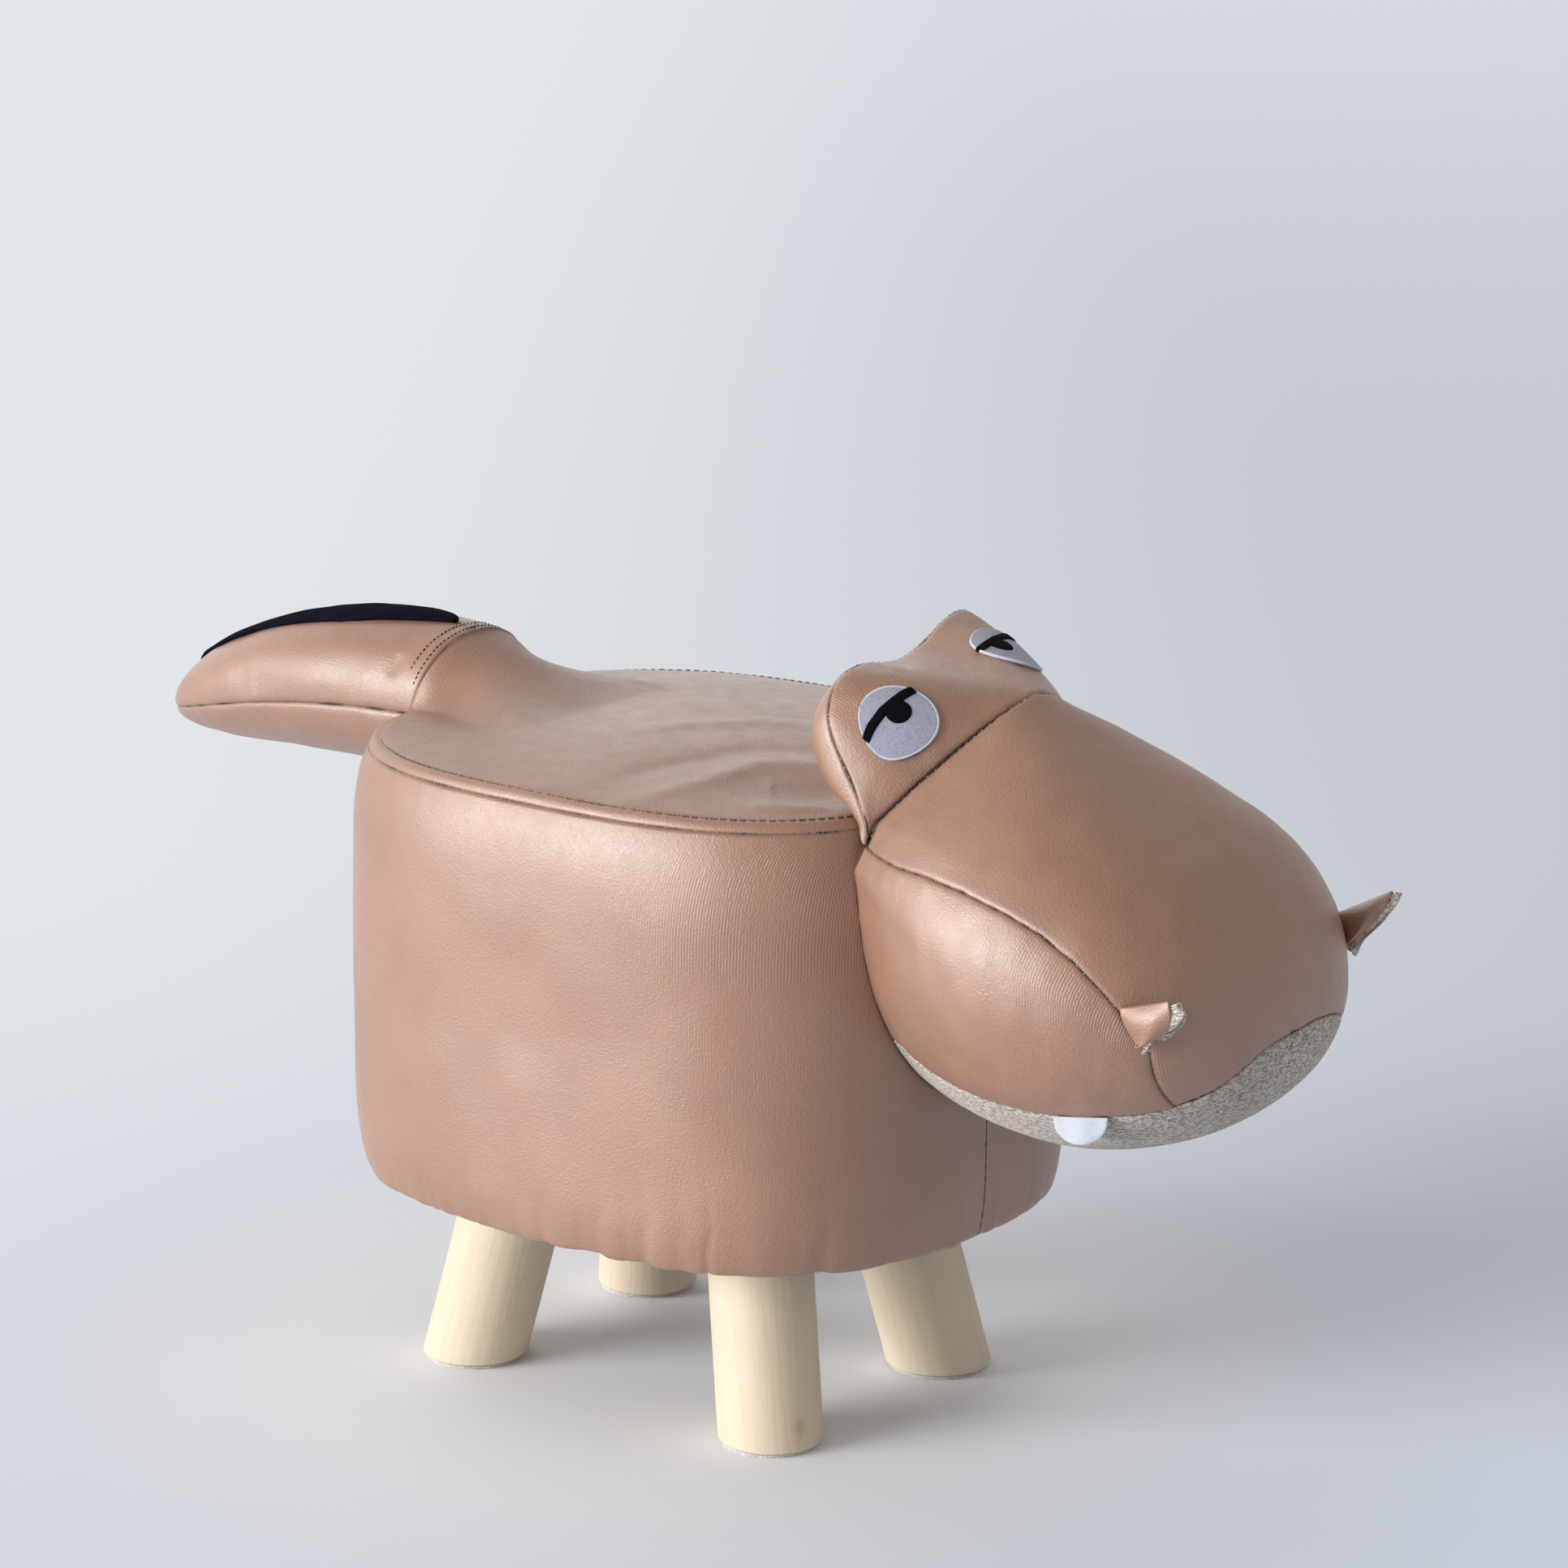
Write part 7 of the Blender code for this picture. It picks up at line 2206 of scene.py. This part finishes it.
@dataclass
class Legs:
    """Four raked round pine legs with their pads."""

    body: BodyForm
    shop: Workshop
    radius: float = 0.0225
    half_spacing_x: float = 0.0844
    half_spacing_y: float = 0.0593
    group_shift: float = -0.0025
    lean_x: float = 0.205
    lean_y: float = 0.157
    edge_round: float = 0.0012
    foot: float = 0.0018
    pad_radius: float = 0.0212
    pad_thickness: float = 0.0015
    pad_edge: float = 0.0004
    core_lift: float = 0.0001
    log_away: float = 0.030
    log_step: float = 0.006
    log_side: float = 0.01
    knots: dict[str, tuple[tuple[float, float, float], ...]] = field(default_factory=lambda: {
        "front_right": ((200.0, 0.012, 0.0028),), "front_left": ((250.0, 0.030, 0.0012),),
        "rear_left": ((20.0, 0.055, 0.002),), "rear_right": ((100.0, 0.062, 0.0018),)})

    def centre(self, side_x: int, side_y: int, height: Array) -> Array:
        """Return the centre of a leg's level section."""
        x = self.group_shift + side_x * (self.half_spacing_x - self.lean_x * height)
        return stack(x, side_y * (self.half_spacing_y - self.lean_y * height), height)

    def ring(self, side_x: int, side_y: int, height: Array, radius: Array, turn: Array) -> Array:
        """Return the level sections, which are ellipses because the leg leans."""
        lean = np.array([-side_x * self.lean_x, -side_y * self.lean_y])
        length = float(np.linalg.norm(lean))
        along = lean / length
        stretch = math.sqrt(1 + length ** 2)
        forward = radius[:, None] * stretch * np.cos(turn)
        sideways = radius[:, None] * np.sin(turn)
        x = along[0] * forward - along[1] * sideways
        y = along[1] * forward + along[0] * sideways
        return self.centre(side_x, side_y, height)[:, None] + stack(x, y, 0 * x)

    def build(self) -> None:
        """Make the legs and pads."""
        top = self.body.cloth_height() - self.body.cloth_gap
        turn = full_turn(72)
        sides = {"front_left": (1, 1), "front_right": (1, -1), "rear_left": (-1, 1), "rear_right": (-1, -1)}
        for number, (tag, (side_x, side_y)) in enumerate(sides.items()):
            bend = np.linspace(0, np.pi / 2, 5)
            foot_heights = self.foot + self.edge_round * (1 - np.cos(bend))
            foot_radii = self.radius - self.edge_round * (1 - np.sin(bend))
            rise = np.linspace(self.foot + self.edge_round, top, 60)[1:]
            heights = np.concatenate([[self.foot], foot_heights, rise, [top]])
            radii = np.concatenate([[0.0], foot_radii, np.full(len(rise), self.radius), [0.0]])
            grid = self.ring(side_x, side_y, heights, radii, turn)
            grid[0], grid[-1] = grid[0].mean(axis=0), grid[-1].mean(axis=0)
            core = self.centre(side_x, side_y, heights)[:, None]
            patch = Patch.over(grid, core + UP * self.core_lift, wrap=True)
            patch.values["knot"] = self.knot_shade(tag, heights, turn, grid)
            leg = self.shop.maker.build("leg_pine_" + tag, [patch], self.shop.finishes.pine)
            self.lay_grain(leg, side_x, side_y, number)
            place(leg, "pine", "leg_" + tag)
            self.pad(tag, side_x, side_y, turn)

    def knot_shade(self, tag: str, heights: Array, turn: Array, grid: Array) -> Array:
        """Return how dark the knots make each point."""
        total = np.zeros(grid.shape[:2])
        for degrees, height, size in self.knots.get(tag, ()):
            around = (np.degrees(turn) - degrees + 180) % 360 - 180
            across = np.radians(around)[None, :] * self.radius
            total += bell(np.hypot(across, (heights - height)[:, None] * 0.7), size)
        return np.clip(total, 0, 1)

    def lay_grain(self, leg: Item, side_x: int, side_y: int, number: int) -> None:
        """Store each point's place in the log that the leg was turned from."""
        points = np.empty(len(leg.data.vertices) * 3, dtype=np.float32)
        leg.data.vertices.foreach_get("co", points)
        points = points.reshape(-1, 3) - np.array([self.shop.maker.shift, 0, 0])
        local = points - self.centre(side_x, side_y, points[:, 2])
        local[:, 2] = points[:, 2]
        angle = math.radians(35 + 80 * number)
        x = local[:, 0] * math.cos(angle) - local[:, 1] * math.sin(angle)
        y = local[:, 0] * math.sin(angle) + local[:, 1] * math.cos(angle)
        turned = stack(x + (self.log_away + self.log_step * number), y + self.log_side, local[:, 2])
        leg.data.attributes.new("grain_place", "FLOAT_VECTOR", "POINT")
        leg.data.attributes["grain_place"].data.foreach_set("vector", turned.reshape(-1).astype(np.float32))

    def pad(self, tag: str, side_x: int, side_y: int, turn: Array) -> None:
        """Make the thin pad under one leg."""
        edge, thickness, wide = self.pad_edge, self.pad_thickness, self.pad_radius
        heights = np.array([0.0, 0.0, edge, thickness - edge, thickness, thickness])
        radii = np.array([0.0, wide - edge, wide, wide, wide - edge, 0.0])
        middle = self.centre(side_x, side_y, np.asarray(self.pad_thickness / 2))
        x = middle[0] + radii[:, None] * np.cos(turn)
        y = middle[1] + radii[:, None] * np.sin(turn)
        patch = Patch.over(stack(x, y, heights[:, None]), middle, wrap=True)
        self.shop.piece("leg_pad_felt_" + tag, [patch], self.shop.finishes.pad, "pad_felt", "leg_pad_" + tag)


@dataclass
class HardParts:
    """The solids that stay as they are and only get their finishes."""

    finishes: Finishes

    def dress(self, nodes: dict[str, Item]) -> None:
        """Give every solid that still shows its finish."""
        finishes = self.finishes
        kinds = {("base_board", "seat_board", "post_"): finishes.plywood,
                 ("wall_board",): finishes.hardboard,
                 ("hanger_bolt", "tee_nut"): finishes.steel}
        for name, item in nodes.items():
            for prefixes, material in kinds.items():
                if not name.startswith(prefixes):
                    continue
                for slot in item.material_slots:
                    slot.material = material
                if not item.material_slots:
                    item.data.materials.append(material)


@dataclass
class Studio:
    """The pale floor, the soft light and the camera."""

    shift: float
    camera_place: Colour = (1.3668, -1.65435, 0.801)
    azimuth: float = 38.70
    pitch: float = 14.10
    lens: float = 118.28
    key_strength: float = 5.8
    key_azimuth: float = -28.0
    key_elevation: float = 6.5
    key_angle: float = 44.0
    key_colour: Colour = (1.0, 0.995, 0.985)
    back_strength: float = 0.65
    back_azimuth: float = -118.0
    back_elevation: float = 14.0
    back_angle: float = 60.0
    back_colour: Colour = (0.96, 0.98, 1.0)
    ambient: float = 0.54
    ambient_colour: Colour = (1.0, 0.955, 0.92)
    sensor: float = 36.0
    sight: float = 100.0
    floor_reach: float = 30.0
    # Floor tones with painted light and painted shade in them.
    floor_left: Colour = (0.87, 0.935, 1.0)
    floor_right: Colour = (0.635, 0.695, 0.78)
    floor_far: Colour = (0.86, 0.925, 1.0)
    floor_front: Colour = (0.71, 0.785, 0.905)
    floor_under: Colour = (0.95, 0.965, 1.0)

    def build(self) -> None:
        """Make the camera, the lamps, the floor and the world."""
        self.camera()
        self.sun("key_light", self.key_azimuth, self.key_elevation, self.key_strength, self.key_angle,
                 self.key_colour)
        self.sun("back_light", self.back_azimuth, self.back_elevation, self.back_strength, self.back_angle,
                 self.back_colour)
        self.floor()
        self.world()
        bpy.context.scene.view_settings.view_transform = "Standard"

    def camera(self) -> None:
        """Stand the camera where the photograph was taken from."""
        azimuth, pitch = math.radians(self.azimuth), math.radians(self.pitch)
        back = np.array([math.sin(azimuth) * math.cos(pitch), -math.cos(azimuth) * math.cos(pitch),
                         math.sin(pitch)])
        right = np.array([math.cos(azimuth), math.sin(azimuth), 0.0])
        up = np.cross(back, right)
        data = bpy.data.cameras.new("photo_camera")
        data.lens = self.lens
        data.sensor_width = self.sensor
        data.clip_end = self.sight
        item = bpy.data.objects.new("photo_camera", data)
        place_of = np.array(self.camera_place) + np.array([self.shift, 0, 0])
        turn = Matrix((right, up, back)).transposed().to_4x4()
        item.matrix_world = Matrix.Translation(place_of.tolist()) @ turn
        bpy.context.scene.collection.objects.link(item)
        bpy.context.scene.camera = item

    def sun(self, name: str, azimuth: float, elevation: float, strength: float, angle: float,
            colour: Colour) -> None:
        """Add a broad distant lamp that shines from an azimuth, measured as the camera's is."""
        data = bpy.data.lights.new(name, "SUN")
        data.energy = strength
        data.angle = math.radians(angle)
        data.color = colour
        item = bpy.data.objects.new(name, data)
        item.rotation_euler = (math.radians(90 - elevation), 0, math.radians(azimuth))
        bpy.context.scene.collection.objects.link(item)

    def floor(self) -> None:
        """Lay a wide pale floor whose colour holds painted light: painted shade that makes it a little darker
        to the right as in the photograph and nearer the camera, painted light far away, and a painted pool of
        bounce light under the stool.
        """
        tree = MaterialBuilder("studio_floor")
        x, y, _ = tree.split(tree.coordinates())
        azimuth = math.radians(self.azimuth)
        sideways = x * math.cos(azimuth) + y * math.sin(azimuth)
        away = y * math.cos(azimuth) - x * math.sin(azimuth)
        # Painted light: these tones stand in for light falling off to the right and towards the camera, and
        # for brighter light far away.
        tone = tree.blend(sideways.ramp(-0.45, 0.55), self.floor_left, self.floor_right)
        tone = tree.blend(away.ramp(1.5, 6.5, 0.0, 0.55), tone, self.floor_far)
        tone = tree.blend(away.ramp(-0.5, 0.9, 0.75, 0.0), tone, self.floor_front)
        radius = (x * x + y * y) ** 0.5
        # Painted light: a lighter pool under the stool stands in for bounce light there.
        tone = tree.blend(radius.ramp(0.08, 0.34, 0.8, 0.0), tone, self.floor_under)
        tree.feed("Base Color", tone)
        tree.set(Roughness=0.9, Specular_IOR_Level=0.1)
        mesh = bpy.data.meshes.new("studio_floor")
        reach = self.floor_reach
        corners = [(-reach, -reach, 0), (reach, -reach, 0), (reach, reach, 0), (-reach, reach, 0)]
        mesh.from_pydata(corners, [], [(0, 1, 2, 3)])
        MeshMaker.finish("studio_floor", mesh, tree.material, smooth=False)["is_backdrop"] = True

    def world(self) -> None:
        """Set the even light of the studio."""
        world = bpy.data.worlds.new("studio")
        bpy.context.scene.world = world
        world.use_nodes = True
        shader = world.node_tree.nodes["Background"]
        shader.inputs["Strength"].default_value = self.ambient
        shader.inputs["Color"].default_value = (*self.ambient_colour, 1.0)


def main() -> None:
    """Build the dressed stool in its studio."""
    logging.basicConfig(level=logging.INFO, format="%(message)s")
    FRAME.update(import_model())
    solid_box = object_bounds()
    low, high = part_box("wall_board")
    shift = (low[0] + high[0]) / 2
    LOG.info("frame shift %.6f m", shift)
    shop = Workshop(MeshMaker(shift), Finishes(), StitchTree(), CordTree())
    body_form = BodyForm()
    head_form = HeadForm(body_form)
    body = Body(body_form, shop)
    body.covers()
    body.inside()
    head = Head(head_form, shop)
    head.panels()
    head.eye("right", 1)
    head.eye("left", -1)
    Flaps(head_form, shop).build()
    Teeth(head_form, shop).build()
    Tail(TailForm(body_form), shop).build()
    Legs(body_form, shop).build()
    HardParts(shop.finishes).dress(FRAME["nodes"])
    Studio(shift).build()
    boxes = {"cad": solid_box, "visual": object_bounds()}
    sizes = {name: [list(corner) for corner in box] for name, box in boxes.items()}
    LOG.info("sizes %s", sizes)


if __name__ == "__main__":
    main()
